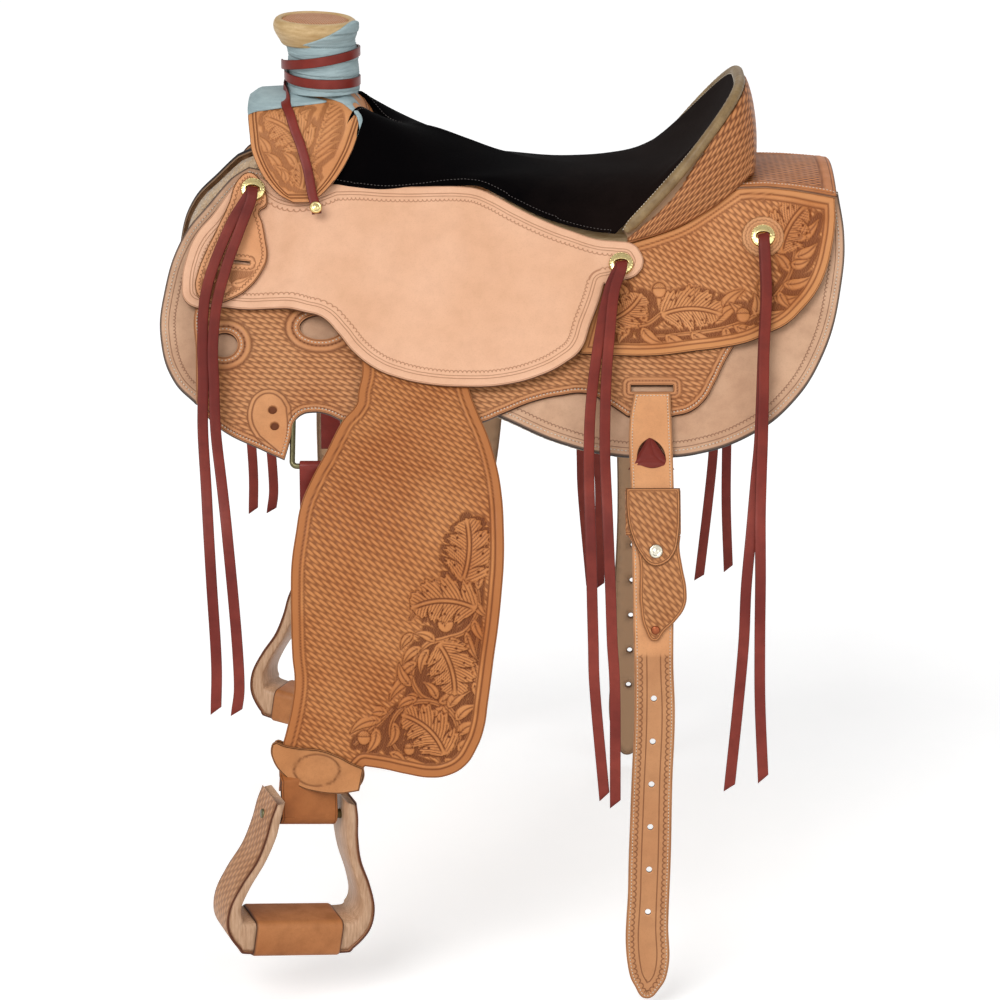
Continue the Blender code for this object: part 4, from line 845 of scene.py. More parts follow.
def side_strap(name, flat_path, side, width, thick, finish, skew_tip):
    """A strap along (x, s, t) places in millimetres on the horse's side, its tip cut at a slant."""
    run = unit(np.gradient(flat_path[:, :2], axis=0))
    off = np.column_stack((run[:, 1], -run[:, 0], np.zeros(len(run))))
    left, right = (on_side(*(flat_path + off * k).T, side) for k in (-3, 3))
    path = on_side(*flat_path.T, side)
    across = unit(right - left)
    normal = unit(np.cross(np.gradient(path, axis=0), across))
    if np.sum(normal[:, 1]) * side < 0:
        normal = -normal
    skew = np.zeros(len(path))
    skew[-1] = skew_tip
    return swept(name, path, across, normal, width, thick, finish, skew), path


def turned(name, profile, finish, matrix, steps=48):
    """A piece turned round its own Z axis from (radius, height) pairs in millimetres."""
    profile = np.array(profile) * MM
    angle = np.linspace(0, 2 * math.pi, steps, endpoint=False)
    radius, height = profile[:, 0], profile[:, 1]
    points = np.stack((radius[:, None] * np.cos(angle), radius[:, None] * np.sin(angle),
                       np.broadcast_to(height[:, None], (len(profile), steps))), -1).reshape(-1, 3)
    ring = np.arange(len(profile))
    closed = bool(np.allclose(profile[0], profile[-1]) and radius[0] > 0)
    quads = []
    j = np.arange(steps)
    k = (j + 1) % steps
    for one, two in zip(ring, ring[1:]):
        if closed and two == ring[-1]:
            two = 0
        quads.append(np.column_stack((one * steps + j, one * steps + k, two * steps + k, two * steps + j)))
    mesh = bpy.data.meshes.new(name)
    mesh.from_pydata([tuple(p) for p in points], [], [tuple(q) for q in np.concatenate(quads)])
    bm = bmesh.new()
    bm.from_mesh(mesh)
    bmesh.ops.remove_doubles(bm, verts=bm.verts, dist=0.00001)
    bmesh.ops.delete(bm, geom=[v for v in bm.verts if not v.link_faces], context="VERTS")
    bmesh.ops.recalc_face_normals(bm, faces=bm.faces)
    if bm.calc_volume(signed=True) < 0:
        bmesh.ops.reverse_faces(bm, faces=bm.faces)
    bm.transform(matrix)
    if bm.calc_volume(signed=True) < 0:
        bmesh.ops.reverse_faces(bm, faces=bm.faces)
    bm.to_mesh(mesh)
    bm.free()
    mesh.polygons.foreach_set("use_smooth", np.full(len(mesh.polygons), True))
    mesh.materials.append(finish)
    return put_object(name, mesh)


def side_matrix(x, s, t, side):
    """A matrix standing on the side: Z points outwards, Y up the slope, in metres."""
    here = place(x, s, t, side)
    along = (place(x + 5, s, t, side) - place(x - 5, s, t, side)).normalized()
    upward = place(x, s - 5, t, side) - place(x, s + 5, t, side)
    outward = along.cross(upward).normalized()
    if outward.y * side < 0:
        outward = -outward
    upward = outward.cross(along)
    if upward.z < 0:
        along, upward = -along, -upward
    return Matrix.Translation(here) @ Matrix((along, upward, outward)).transposed().to_4x4()


def joined(name, pieces):
    """Several pieces made into one, with their finishes kept."""
    with bpy.context.temp_override(active_object=pieces[0], selected_editable_objects=pieces):
        bpy.ops.object.join()
    pieces[0].name = name
    pieces[0].data.name = name
    return pieces[0]


# ---- repeated small work, by Geometry Nodes


def stitch_tree():
    """Small rounded stitches laid end to end along every line of the geometry."""
    tree = bpy.data.node_groups.new("stitching", "GeometryNodeTree")
    face = tree.interface
    face.new_socket("Geometry", in_out="INPUT", socket_type="NodeSocketGeometry")
    for label in ("Pitch", "Length", "Width"):
        face.new_socket(label, in_out="INPUT", socket_type="NodeSocketFloat")
    face.new_socket("Finish", in_out="INPUT", socket_type="NodeSocketMaterial")
    face.new_socket("Geometry", in_out="OUTPUT", socket_type="NodeSocketGeometry")
    given = node(tree, "NodeGroupInput").outputs
    line = node(tree, "GeometryNodeMeshToCurve", {"Mesh": given["Geometry"]}).outputs[0]
    even = node(tree, "GeometryNodeResampleCurve", {"Curve": line, "Length": given["Pitch"]},
                mode="LENGTH").outputs[0]
    bead = node(tree, "GeometryNodeMeshIcoSphere", {"Radius": 0.5, "Subdivisions": 1}).outputs[0]
    size = node(tree, "ShaderNodeCombineXYZ",
                {0: given["Length"], 1: given["Width"], 2: given["Width"]}).outputs[0]
    tangent = node(tree, "GeometryNodeInputTangent").outputs[0]
    turn = node(tree, "FunctionNodeAlignEulerToVector", {"Vector": tangent}, axis="X").outputs[0]
    laid = node(tree, "GeometryNodeInstanceOnPoints", {
        "Points": even, "Instance": bead, "Rotation": turn, "Scale": size}).outputs[0]
    real = node(tree, "GeometryNodeRealizeInstances", {"Geometry": laid}).outputs[0]
    rounded = node(tree, "GeometryNodeSetShadeSmooth", {"Geometry": real}).outputs[0]
    done = node(tree, "GeometryNodeSetMaterial",
                {"Geometry": rounded, "Material": given["Finish"]}).outputs[0]
    node(tree, "NodeGroupOutput", {0: done})
    return tree


STITCHING = stitch_tree()


def evaluated_mesh(piece):
    """The mesh that a piece's modifier or curve makes."""
    bpy.context.view_layer.update()
    return bpy.data.meshes.new_from_object(piece.evaluated_get(bpy.context.evaluated_depsgraph_get()))


def stitches(name, lines, pitch, long, wide, finish):
    """Stitches along lines of world points; the sizes are in millimetres."""
    points, edges = [], []
    for line in lines:
        start = len(points)
        points += [tuple(p) for p in line]
        edges += [(start + i, start + i + 1) for i in range(len(line) - 1)]
    mesh = bpy.data.meshes.new(name)
    mesh.from_pydata(points, edges, [])
    piece = put_object(name, mesh)
    work = piece.modifiers.new("stitching", "NODES")
    work.node_group = STITCHING
    values = {"Pitch": pitch * MM, "Length": long * MM, "Width": wide * MM, "Finish": finish}
    for item in STITCHING.interface.items_tree:
        if item.in_out == "INPUT" and item.name in values:
            work[item.identifier] = values[item.name]
    made = evaluated_mesh(piece)
    piece.modifiers.clear()
    piece.data = made
    made.name = name
    bpy.data.meshes.remove(mesh)
    return piece


def sew(name, body, slot, lines, pitch, long, wide, finish=None):
    finish_piece(stitches(name, lines, pitch, long, wide, finish or THREAD), body, slot=slot)


def edge_line(flat, inset, height, side, loop=0):
    """World lines that follow a flat piece's edge at an inset."""
    ring = flat["loops"][loop] + flat["normals"][loop] * inset
    away, _ = flat["measure"](ring)
    good = away > inset * 0.8
    world = on_side(ring[:, 0], ring[:, 1], height, side)
    lines, line = [], []
    for ok, point in zip(good, world):
        if ok:
            line.append(point)
        elif line:
            lines.append(line)
            line = []
    if line:
        lines.append(line)
    if good.all() and lines:
        lines[0].append(lines[0][0])
    return [line for line in lines if len(line) > 3]


# ---- carving


def flat_noise(points, size, seed=0.0):
    """Soft noise between -1 and 1 over flat points, from a few crossed waves."""
    x, y = points.T / size
    made = np.zeros(len(points))
    for n in range(5):
        a = 2.399 * n + seed
        k = 1 + 0.45 * n
        phase = k * (x * math.cos(a) + y * math.sin(a)) * 2 * math.pi + 1.7 * n + seed
        made += np.sin(phase) / (1 + 0.25 * n)
    return made / 2.6


def bent_line(base, tip, bend, count):
    """Points from a base to a tip along a line that bows to one side."""
    base, tip = np.array(base, float), np.array(tip, float)
    run = tip - base
    middle = (base + tip) / 2 + np.array((-run[1], run[0])) / np.linalg.norm(run) * bend * 2
    k = np.linspace(0, 1, count)[:, None]
    return (1 - k) ** 2 * base + 2 * k * (1 - k) * middle + k * k * tip


class Carving:
    """Height in millimetres and darkness of a carved design over flat points; the darkness is stain with
    painted shade in its cuts, bevels and matted ground.
    """

    def __init__(self, points, ground):
        self.points = points
        self.reach = np.full(len(points), -99.0)
        mat = flat_noise(points, 1.9, 0.3)
        self.height = -0.95 * ground + 0.2 * mat * ground
        # The matted ground is darker: stain with painted shade
        self.tone = ground * (0.68 + 0.2 * mat)
        self.clear = ground.copy()

    def near(self, line, reach):
        """Points near a line: their indices, their distance, how far along it they lie, and its length."""
        line = np.asarray(line, float)
        low, high = line.min(0) - reach, line.max(0) + reach
        pick = np.flatnonzero(((self.points > low) & (self.points < high)).all(1))
        gaps = self.points[pick][:, None] - line[None]
        far = np.sqrt((gaps**2).sum(-1))
        best = far.argmin(1)
        run = unit(np.gradient(line, axis=0))[best]
        gap = gaps[np.arange(len(pick)), best]
        lengths = lengths_along(line)
        on_run = np.sum(run * gap, 1)
        share = (lengths[best] + on_run) / lengths[-1]
        beside = np.abs(run[:, 0] * gap[:, 1] - run[:, 1] * gap[:, 0])
        away = np.where((share < 0) | (share > 1), far.min(1), beside)
        return pick, away, np.clip(share, 0, 1), lengths[-1]

    def put(self, pick, inside, detail, dark):
        """Raises a shape whose edge is where inside is 0, and bevels the leather down all round it."""
        height, tone = self.height[pick], self.tone[pick]
        shoulder = np.clip(1 + inside / 2.2, 0, 1)
        lower = np.minimum(height, -0.35 - 0.75 * shoulder**1.5)
        around = inside < 0
        height = np.where(around & (shoulder > 0), lower * shoulder + height * (1 - shoulder), height)
        # Painted shade with stain on the bevel round the shape
        tone = np.where(around, np.maximum(tone, 0.95 * shoulder**2.2), tone)
        body = ease(inside, -0.2, 1.2)
        height = np.where(around, height, -0.55 * (1 - body) + 0.3 * body + detail * body)
        # Inside: painted shade with stain at the shape's edge and in its dark cuts
        tone = np.where(around, tone, np.clip(0.5 * (1 - body) ** 2 + dark, 0, 1))
        self.height[pick], self.tone[pick] = height, tone
        self.reach[pick] = np.maximum(self.reach[pick], inside)
        self.clear[pick] = np.maximum(self.clear[pick], ease(inside, -2.4, -1.2))

    def oak_leaf(self, base, tip, bend, width):
        """A lobed leaf with a midrib, cuts between its lobes and a pair of dots at each."""
        lobes = 4
        line = bent_line(base, tip, bend, 60)
        pick, away, share, long = self.near(line, width / 2 + 4)
        swept_back = share - 0.35 * away / long
        reach = width / 2 * np.maximum(np.sin(math.pi * np.clip(share, 0, 1) ** 0.85), 0) ** 0.45
        wave = np.abs(np.sin(math.pi * (lobes * swept_back + 0.1)))
        lobe = 0.5 + 0.5 * wave**0.6 + 0.08 * np.cos(2 * math.pi * lobes * 3 * swept_back)
        half = np.where((share <= 0) | (share >= 1), 0.4, reach * lobe)
        inside = (half - away) * 0.8
        pitch = long / (lobes * 4 + 1.5)
        sweep = (share * long - 0.75 * away) / pitch
        vein = np.clip(1.6 * np.cos(2 * math.pi * sweep) - 0.5, 0, 1)
        vein = vein * ease(away, 2.2, 4.0) * ease(inside, 0.8, 2.6)
        groove = bead(away, 2.2, 0.8) * ease(share, 0.02, 0.12) * ease(share, 1.0, 0.85)
        cut = bead(wave, 0, 0.16) * ease(away / np.maximum(half, 1), 0.35, 0.6) * ease(share, 0.08, 0.2)
        crown = 0.5 * bead(away, 0, 1.4) + 0.55 * wave * ease(away / np.maximum(half, 1), 0.2, 0.8)
        self.put(pick, inside, crown - 0.5 * vein - 0.6 * groove - 0.5 * cut,
                 0.7 * vein + 0.9 * groove + 0.8 * cut)
        for n in range(1, lobes + 1):
            at = (n - 0.1) / lobes
            if at < 0.93:
                i = int(at * 59)
                flank = unit(np.gradient(line, axis=0))[i]
                spread = width / 2 * math.sin(math.pi * at**0.85) ** 0.45 * 0.56
                for way in (-1, 1):
                    self.dot(line[i] + way * spread * np.array((-flank[1], flank[0])))

    def dot(self, centre):
        k = ease(np.linalg.norm(self.points - centre, axis=1), 1.8, 0.7)
        self.height -= 0.7 * k
        # The dot's pit darkened: stain with painted shade
        self.tone = np.maximum(self.tone, k)

    def blade(self, base, tip, bend, width):
        """A pointed leaf with a groove down its middle."""
        line = bent_line(base, tip, bend, 50)
        pick, away, share, long = self.near(line, width / 2 + 4)
        half = width / 2 * np.sin(math.pi * np.clip(share, 0, 1) ** 0.7) + 0.25
        inside = half - away
        groove = bead(away, 0, 0.75) * ease(share, 0.05, 0.2) * ease(share, 1.0, 0.8)
        lines = np.clip(1.5 * np.cos(2 * math.pi * (share * long - 0.8 * away) / 3.6) - 0.5, 0, 1)
        lines = lines * ease(share, 0.45, 0.1) * ease(inside, 0.4, 1.4)
        self.put(pick, inside, 0.2 * ease(inside, 0, 3) - 0.4 * groove - 0.3 * lines,
                 0.7 * groove + 0.55 * lines)

    def blades(self, rows):
        for x, y, tip_x, tip_y, bend, width in rows:
            self.blade((x, y), (tip_x, tip_y), bend, width)

    def stem(self, points, width):
        line = line_through(points, 1.5)
        pick, away, share, _ = self.near(line, width / 2 + 4)
        half = width / 2 * (0.65 + 0.35 * np.sin(math.pi * share))
        inside = np.where((share <= 0) | (share >= 1), -away, half - away)
        groove = bead(away, 0, 0.7)
        self.put(pick, inside, -0.35 * groove, 0.65 * groove)

    def bud(self, centre, radius):
        """An acorn: a smooth nut in a cap marked with small dots."""
        centre = np.array(centre, float)
        gap = self.points - centre
        away = np.linalg.norm(gap * (1, 0.85), axis=1)
        pick = np.flatnonzero(away < radius + 4)
        gap, away = gap[pick], away[pick]
        cap = ease(gap[:, 1], -radius * 0.15, -radius * 0.3)
        check = np.clip(np.cos(gap[:, 0] * 2.6) * np.cos(gap[:, 1] * 2.6) * 2, 0, 1)
        rim = bead(gap[:, 1] + radius * 0.22, 0, 0.7)
        self.put(pick, radius - away, 0.5 * ease(away / radius, 1, 0.2) - 0.4 * rim,
                 0.6 * rim + 0.45 * cap * check)

    def flower(self, centre, radius):
        petals = 5
        centre = np.array(centre, float)
        gap = self.points - centre
        away = np.linalg.norm(gap, axis=1)
        pick = np.flatnonzero(away < radius + 4)
        gap, away = gap[pick], away[pick]
        angle = np.arctan2(gap[:, 1], gap[:, 0])
        edge = radius * (0.8 + 0.2 * np.abs(np.cos(angle * petals / 2)))
        line = bead(np.sin(angle * petals / 2) * away, 0, 0.8) * ease(away, radius * 0.35, radius * 0.5)
        heart = bead(away, radius * 0.33, 0.7)
        self.put(pick, edge - away, 0.3 - 0.5 * line - 0.4 * heart, 0.7 * line + 0.7 * heart)


# ---- the leather on the horse's sides


SKIRT_OUTLINE = [
    (-262, -16, 1), (-276, -4), (-300, 21), (-331, 58), (-347, 108), (-349, 161), (-334, 207),
    (-311, 232, 1), (-266, 242), (-204, 233), (-102, 223), (-20, 239), (61, 275), (114, 289), (155, 291),
    (201, 287), (256, 266), (296, 234), (331, 179), (353, 100), (357, 58), (351, 24, 1), (250, 18, 1),
    (120, 10, 1), (-150, -4, 1),
]
RIGGING_OUTLINE = [
    (-300, 106, 1), (-312, 122), (-312, 180), (-310, 234, 1), (-286, 261), (-240, 286), (-219, 296, 1),
    (-213, 272), (-210, 255), (-202, 246), (-192, 243.5), (-178, 245), (-161, 253, 1), (-90, 263),
    (-20, 255), (3, 245), (33, 232), (61, 225), (89, 223), (112, 235), (130, 248, 1), (176, 248, 1),
    (194, 243), (209, 230), (219, 212), (232, 184), (246, 160, 1), (250, 110, 1), (0, 100, 1),
]
SEAT_JOCKEY_OUTLINE = [
    (-275, 8, 1), (-297, 37), (-314, 56), (-324, 78), (-328, 105), (-325, 121), (-312, 130), (-293, 129),
    (-261, 132), (-222, 132), (-202, 138), (-183, 144), (-166, 162), (-150, 183), (-127, 202),
    (-104, 212), (-75, 219), (-36, 222), (3, 220), (42, 209), (67, 195), (82, 181), (93, 150), (102, 124),
    (107, 105, 1), (126, 101), (141, 95), (148, 82), (145, 70), (137, 61), (120, 57.5, 1), (103, 55.5),
    (74, 47), (46, 35), (17, 19.5), (-6, 6), (-24, -1.5), (-42, -3.5), (-62, -3), (-91, -1), (-119, 0),
    (-148, 0), (-172, 2, 1), (-188, 9), (-206, 15), (-224, 12), (-240, 4), (-254, -3, 1),
]
REAR_JOCKEY_OUTLINE = [
    (81, 181, 1), (120, 183), (160, 183), (199, 178), (228, 174), (257, 167), (277, 157), (294, 148),
    (312, 130), (326, 112), (336, 93), (343, 71), (347, 50), (347, 30, 1), (324, 24.5), (301, 18.5),
    (270, 12.5), (249, 10.5, 1), (233, 18), (212, 29), (191, 40), (165, 49), (141, 56), (112, 64, 1),
]
FENDER_OUTLINE = [
    (-145, 227), (-146, 238), (-160, 257), (-176, 291), (-191, 322), (-201, 347), (-206, 374),
    (-210, 400), (-211, 426), (-211, 454), (-210, 494), (-208, 518), (-211, 545), (-216, 568),
    (-222, 590, 1), (-225, 634, 1), (-160, 634, 1), (-150, 622), (-137, 608, 1), (-118, 611), (-96, 616),
    (-71, 620), (-54, 618), (-36, 608), (-23, 588), (-16, 568), (-12, 541), (-9, 518), (-6, 494),
    (-2, 465), (2, 426), (4, 400), (4, 370), (2, 338), (-4, 303), (-13, 272), (-23, 247), (-30, 227),
    (-40, 180), (-64, 130), (-102, 84, 1), (-178, 84, 1), (-160, 130), (-147, 170), (-141, 200),
]
HOBBLE_OUTLINE = [
    (-229, 582), (-219, 585), (-203, 588), (-182, 590), (-163, 597), (-150, 604), (-138, 609, 1),
    (-143, 633, 1), (-164, 636), (-186, 634), (-203, 629), (-218, 618), (-230, 602), (-232, 586),
]
STRAP_KEEPER_OUTLINE = [
    (-260, -1), (-250, 3), (-244, 12), (-241, 21), (-242, 28), (-249, 34), (-246, 43), (-242, 61),
    (-240, 78), (-246, 94), (-258, 110), (-273, 121), (-292, 127), (-308, 123), (-314, 111), (-312, 95),
    (-305, 76), (-294, 54), (-281, 28), (-273, 8),
]
BILLET_OUTLINE = [
    (137, 225, 1), (132, 255), (132, 327), (134, 438), (136, 545), (133, 651), (131, 733), (132, 825),
    (138, 841), (150, 855), (165, 843), (172, 827), (172.5, 774), (174.5, 705), (175.5, 625),
    (177.5, 555), (175.5, 500), (176, 400), (175.5, 300), (174, 225, 1),
]
KEEPER_TONGUE_OUTLINE = [
    (129, 376, 1), (138, 390), (141, 440), (146, 465), (156, 478), (167, 467), (177, 457), (187, 441),
    (188, 425), (184, 405), (181, 386), (182, 376, 1),
]
KEEPER_FLAP_OUTLINE = [
    (127, 331, 1), (182, 331, 1), (182, 352), (180.5, 376), (176, 392), (165, 402), (152, 403),
    (141, 393), (132, 376), (128, 360),
]


def seat_jockey_inner(x, _):
    """The seat jockey lies lower in front and where its rear ear meets the rear jockey."""
    return 21.5 - 8 * ease(-x, 200, 236) - 4 * ease(x, 70, 105)


def oval(centre, radius, stretch=1.0, count=12):
    turns = [2 * math.pi * i / count for i in range(count)]
    return [(centre[0] + radius * math.cos(a), centre[1] + radius * stretch * math.sin(a)) for a in turns]


def region(points, outline):
    """1 inside a flat outline, fading over a soft edge."""
    loop = smooth_loop(outline, 2.0)
    away, _ = Measure([loop])(points)
    return ease(np.where(inside_loop(points, loop), away, -away), -1.5, 1.5)


FENDER_FLORAL = [
    (-14, 352), (-14, 400), (-17, 450), (-20, 500), (-24, 548), (-32, 585), (-48, 604), (-75, 608),
    (-110, 602), (-140, 598), (-152, 588), (-146, 574), (-122, 566), (-112, 548), (-98, 536), (-96, 505),
    (-92, 484), (-80, 470), (-80, 455), (-88, 444), (-76, 428), (-60, 424), (-62, 400), (-58, 378),
    (-48, 362), (-30, 352),
]
REAR_FLORAL = [
    (92, 170), (130, 172), (180, 171), (230, 165), (262, 156), (290, 138), (312, 116), (325, 88),
    (333, 60), (334, 38), (318, 35), (300, 34), (278, 40), (284, 62), (286, 92), (268, 112), (250, 122),
    (226, 112), (196, 106), (160, 112), (140, 102), (112, 106), (96, 126),
]


def carve_fender(points, ground):
    work = Carving(points, ground)
    work.stem([(-27, 408), (-21, 436), (-25, 453), (-36, 468), (-56, 475), (-74, 481), (-86, 498),
               (-89, 517),
               (-80, 534), (-66, 541), (-50, 549), (-41, 566), (-42, 588)], 5.4)
    work.stem([(-48, 603), (-34, 586), (-27, 560), (-24, 530), (-26, 500), (-22, 470)], 4.2)
    turns = [math.radians(a) for a in range(-50, 250, 20)]
    work.stem([(-77 + 34 * math.cos(a), 572 - 32 * math.sin(a)) for a in turns], 5.0)
    work.stem([(-77 + 27 * math.cos(a), 574 - 25 * math.sin(a)) for a in turns[2:-3]], 3.4)
    work.stem([(-108, 548), (-124, 564), (-148, 586)], 4.4)
    work.stem([(-60, 430), (-78, 440), (-92, 456)], 3.4)
    work.blades([
        (-84, 500, -104, 522, 4, 10), (-88, 514, -112, 540, 4, 10), (-90, 524, -102, 500, -3, 9),
        (-83, 534, -97, 548, 3, 10), (-80, 484, -98, 502, 3, 9), (-66, 478, -86, 470, 3, 9),
        (-62, 541, -46, 524, 4, 10), (-52, 547, -30, 530, -4, 11), (-44, 560, -22, 545, -4, 11),
        (-42, 576, -20, 566, -5, 11), (-42, 592, -24, 586, -5, 9), (-56, 600, -38, 604, 3, 8),
        (-114, 552, -138, 560, 5, 11), (-120, 560, -152, 574, 5, 11), (-126, 568, -136, 594, -4, 11),
        (-100, 598, -70, 607, 3, 9), (-112, 594, -96, 607, -3, 8), (-108, 562, -115, 588, -5, 9),
        (-26, 455, -14, 478, 3, 9), (-50, 474, -28, 484, 4, 10), (-25, 500, -13, 522, 4, 9),
        (-22, 425, -12, 404, -3, 8), (-24, 436, -12, 452, 3, 8), (-34, 468, -22, 498, 2, 8),
        (-84, 538, -104, 548, 3, 9), (-88, 470, -100, 486, 2, 8), (-72, 486, -80, 512, 3, 9),
        (-26, 520, -14, 540, 3, 8), (-46, 478, -40, 500, 3, 8), (-64, 538, -78, 520, 3, 9),
        (-28, 400, -16, 382, 3, 8), (-50, 420, -66, 416, -3, 8),
    ])
    work.bud((-55, 459), 8.0)
    work.bud((-138, 578), 6.5)
    work.flower((-60, 552), 7.5)
    work.bud((-92, 590), 5.5)
    work.oak_leaf((-38, 418), (-34, 360), 5, 50)
    work.oak_leaf((-24, 444), (-90, 444), 8, 48)
    work.oak_leaf((-62, 480), (-46, 534), -5, 50)
    work.oak_leaf((-56, 596), (-100, 554), 8, 48)
    return work


def carve_rear_jockey(points, ground):
    work = Carving(points, ground)
    work.stem([(98, 154), (124, 150), (150, 148), (166, 136), (180, 130)], 5.0)
    work.stem([(150, 162), (190, 159), (232, 152), (262, 138), (284, 116), (300, 92), (306, 66)], 5.0)
    work.stem([(106, 168), (140, 171), (180, 168), (214, 166), (244, 160)], 3.6)
    work.blades([
        (120, 152, 100, 168, 3, 11), (134, 152, 122, 170, 3, 10), (146, 152, 168, 170, 4, 12),
        (170, 160, 196, 172, 3, 12), (196, 158, 222, 168, 3, 11), (150, 146, 152, 118, -4, 11),
        (166, 134, 160, 106, 3, 10), (228, 134, 252, 110, -4, 12), (222, 148, 250, 126, -4, 12),
        (240, 150, 272, 152, 4, 11), (262, 138, 262, 114, 3, 11), (252, 146, 236, 124, 3, 10),
        (282, 118, 308, 116, 4, 11), (292, 104, 322, 96, 4, 11), (298, 92, 282, 74, 3, 10),
        (304, 78, 328, 66, 3, 11), (268, 138, 294, 132, 3, 10), (306, 62, 330, 46, 3, 10),
        (130, 118, 116, 102, 3, 10), (276, 124, 272, 98, -3, 10), (300, 84, 320, 80, 3, 9),
        (106, 150, 94, 138, -3, 10), (214, 150, 206, 126, -3, 10), (288, 112, 300, 130, 3, 9),
        (190, 118, 206, 106, 3, 10), (176, 128, 184, 108, 3, 9), (292, 66, 280, 50, 3, 9),
        (232, 152, 240, 168, 3, 9), (120, 148, 110, 128, 3, 9),
    ])
    work.bud((164, 110), 7.0)
    work.bud((250, 138), 7.0)
    work.flower((260, 156), 8.0)
    work.bud((272, 106), 6.0)
    work.oak_leaf((166, 138), (228, 138), -7, 50)
    work.oak_leaf((106, 146), (146, 114), 6, 42)
    work.oak_leaf((290, 74), (318, 34), -6, 46)
    return work


def tooled_piece(outline, floral, carve, bead_at):
    """A flat piece with a raised border line, basket stamps and a carved corner."""
    zone = smooth_loop(floral, 3.0)
    zone_measure = Measure([zone])

    def fine(points):
        away, _ = zone_measure(points)
        return inside_loop(points, zone) | (away < 13)

    flat = cut_flat(outline, fine=fine, fine_step=0.95, border=20.0)
    points, inward = flat["points"], flat["inward"]
    relief = bead(inward, bead_at, 1.5, 0.7) - bead(inward, bead_at - 2.4, 0.9, 0.45)
    relief -= bead(inward, bead_at + 2.4, 0.9, 0.45)
    # The grooves beside the raised line darkened: stain with painted shade
    tone = 0.9 * bead(inward, bead_at - 2.3, 0.8) + 0.9 * bead(inward, bead_at + 2.3, 0.8)
    weave = ease(inward, bead_at + 2.0, bead_at + 3.5)
    pick = flat["top"] & fine(points)
    probe = carve(points[pick], np.zeros(pick.sum()))
    ground = region(points[pick], floral) * ease(probe.reach, -6.5, -4.0)
    work = carve(points[pick], ground)
    inner = ease(inward[pick], bead_at + 2.4, bead_at + 4.0)
    relief[pick] += 1.5 * work.height * inner
    # The carving's darkness, stain with painted shade, made stronger
    tone[pick] = np.maximum(tone[pick], np.minimum(1.25 * work.tone, 1) * inner)
    weave[pick] *= 1 - work.clear
    return flat, relief, tone, weave


def make_skirts():
    flat = cut_flat(SKIRT_OUTLINE, coarse=7.0, border=24.0, border_step=2.6)
    lining = [(x * 0.985, 1 + s * 0.975, *rest) for x, s, *rest in SKIRT_OUTLINE]
    wool = cut_flat(lining, coarse=3.4, border=10.0, border_step=3.0, edge=3.0)
    for word, side in SIDES:
        lay("skirt_leather", "skirt", word, flat, 0.0, 5.0, SKIRT_LEATHER, slot="natural_leather")
        rows = edge_line(flat, 6.0, 5.1, side)
        sew("skirt_stitching_" + word, "saddle", "natural_leather", rows, 3.9, 2.6, 1.5)
        make_fleece(word, side, wool)


def make_fleece(word, side, flat):
    """Wool outwards is towards the horse: the leather side stays flat and the curls stand inwards."""
    x, s = flat["points"].T
    drop = flat["drop"]
    curls = 1.5 * flat_noise(flat["points"], 11.0, 1.0) + 1.1 * flat_noise(flat["points"], 5.0, 2.0)
    face = np.where(drop >= 0, -17.0 + drop + np.where(flat["top"], curls, 0.4 * curls), -2.4)
    face = np.where((drop < -0.5) & (drop > -1.5), -4.0, face)
    piece = put_mesh("fleece_wool_" + word, on_side(x, s, face, side), flat["faces"], WOOL)
    finish_piece(piece, "saddle", "fleece_" + word, slot="wool")


RIGGING_HOLES = (oval((-283, 169), 13.5), oval((-184, 149), 22, 0.62),
                 [(134, 214, 1), (177, 214, 1), (177, 221, 1), (134, 221, 1)])


RIGGING_HEART = [
    (-246, 272, 1), (-254, 256), (-254, 238), (-248, 226), (-236, 221), (-224, 226), (-216, 238, 1),
    (-214, 262), (-217, 298, 1),
]

RIGGING_PITS = [(-232, 241.5), (-229.5, 259.5)]


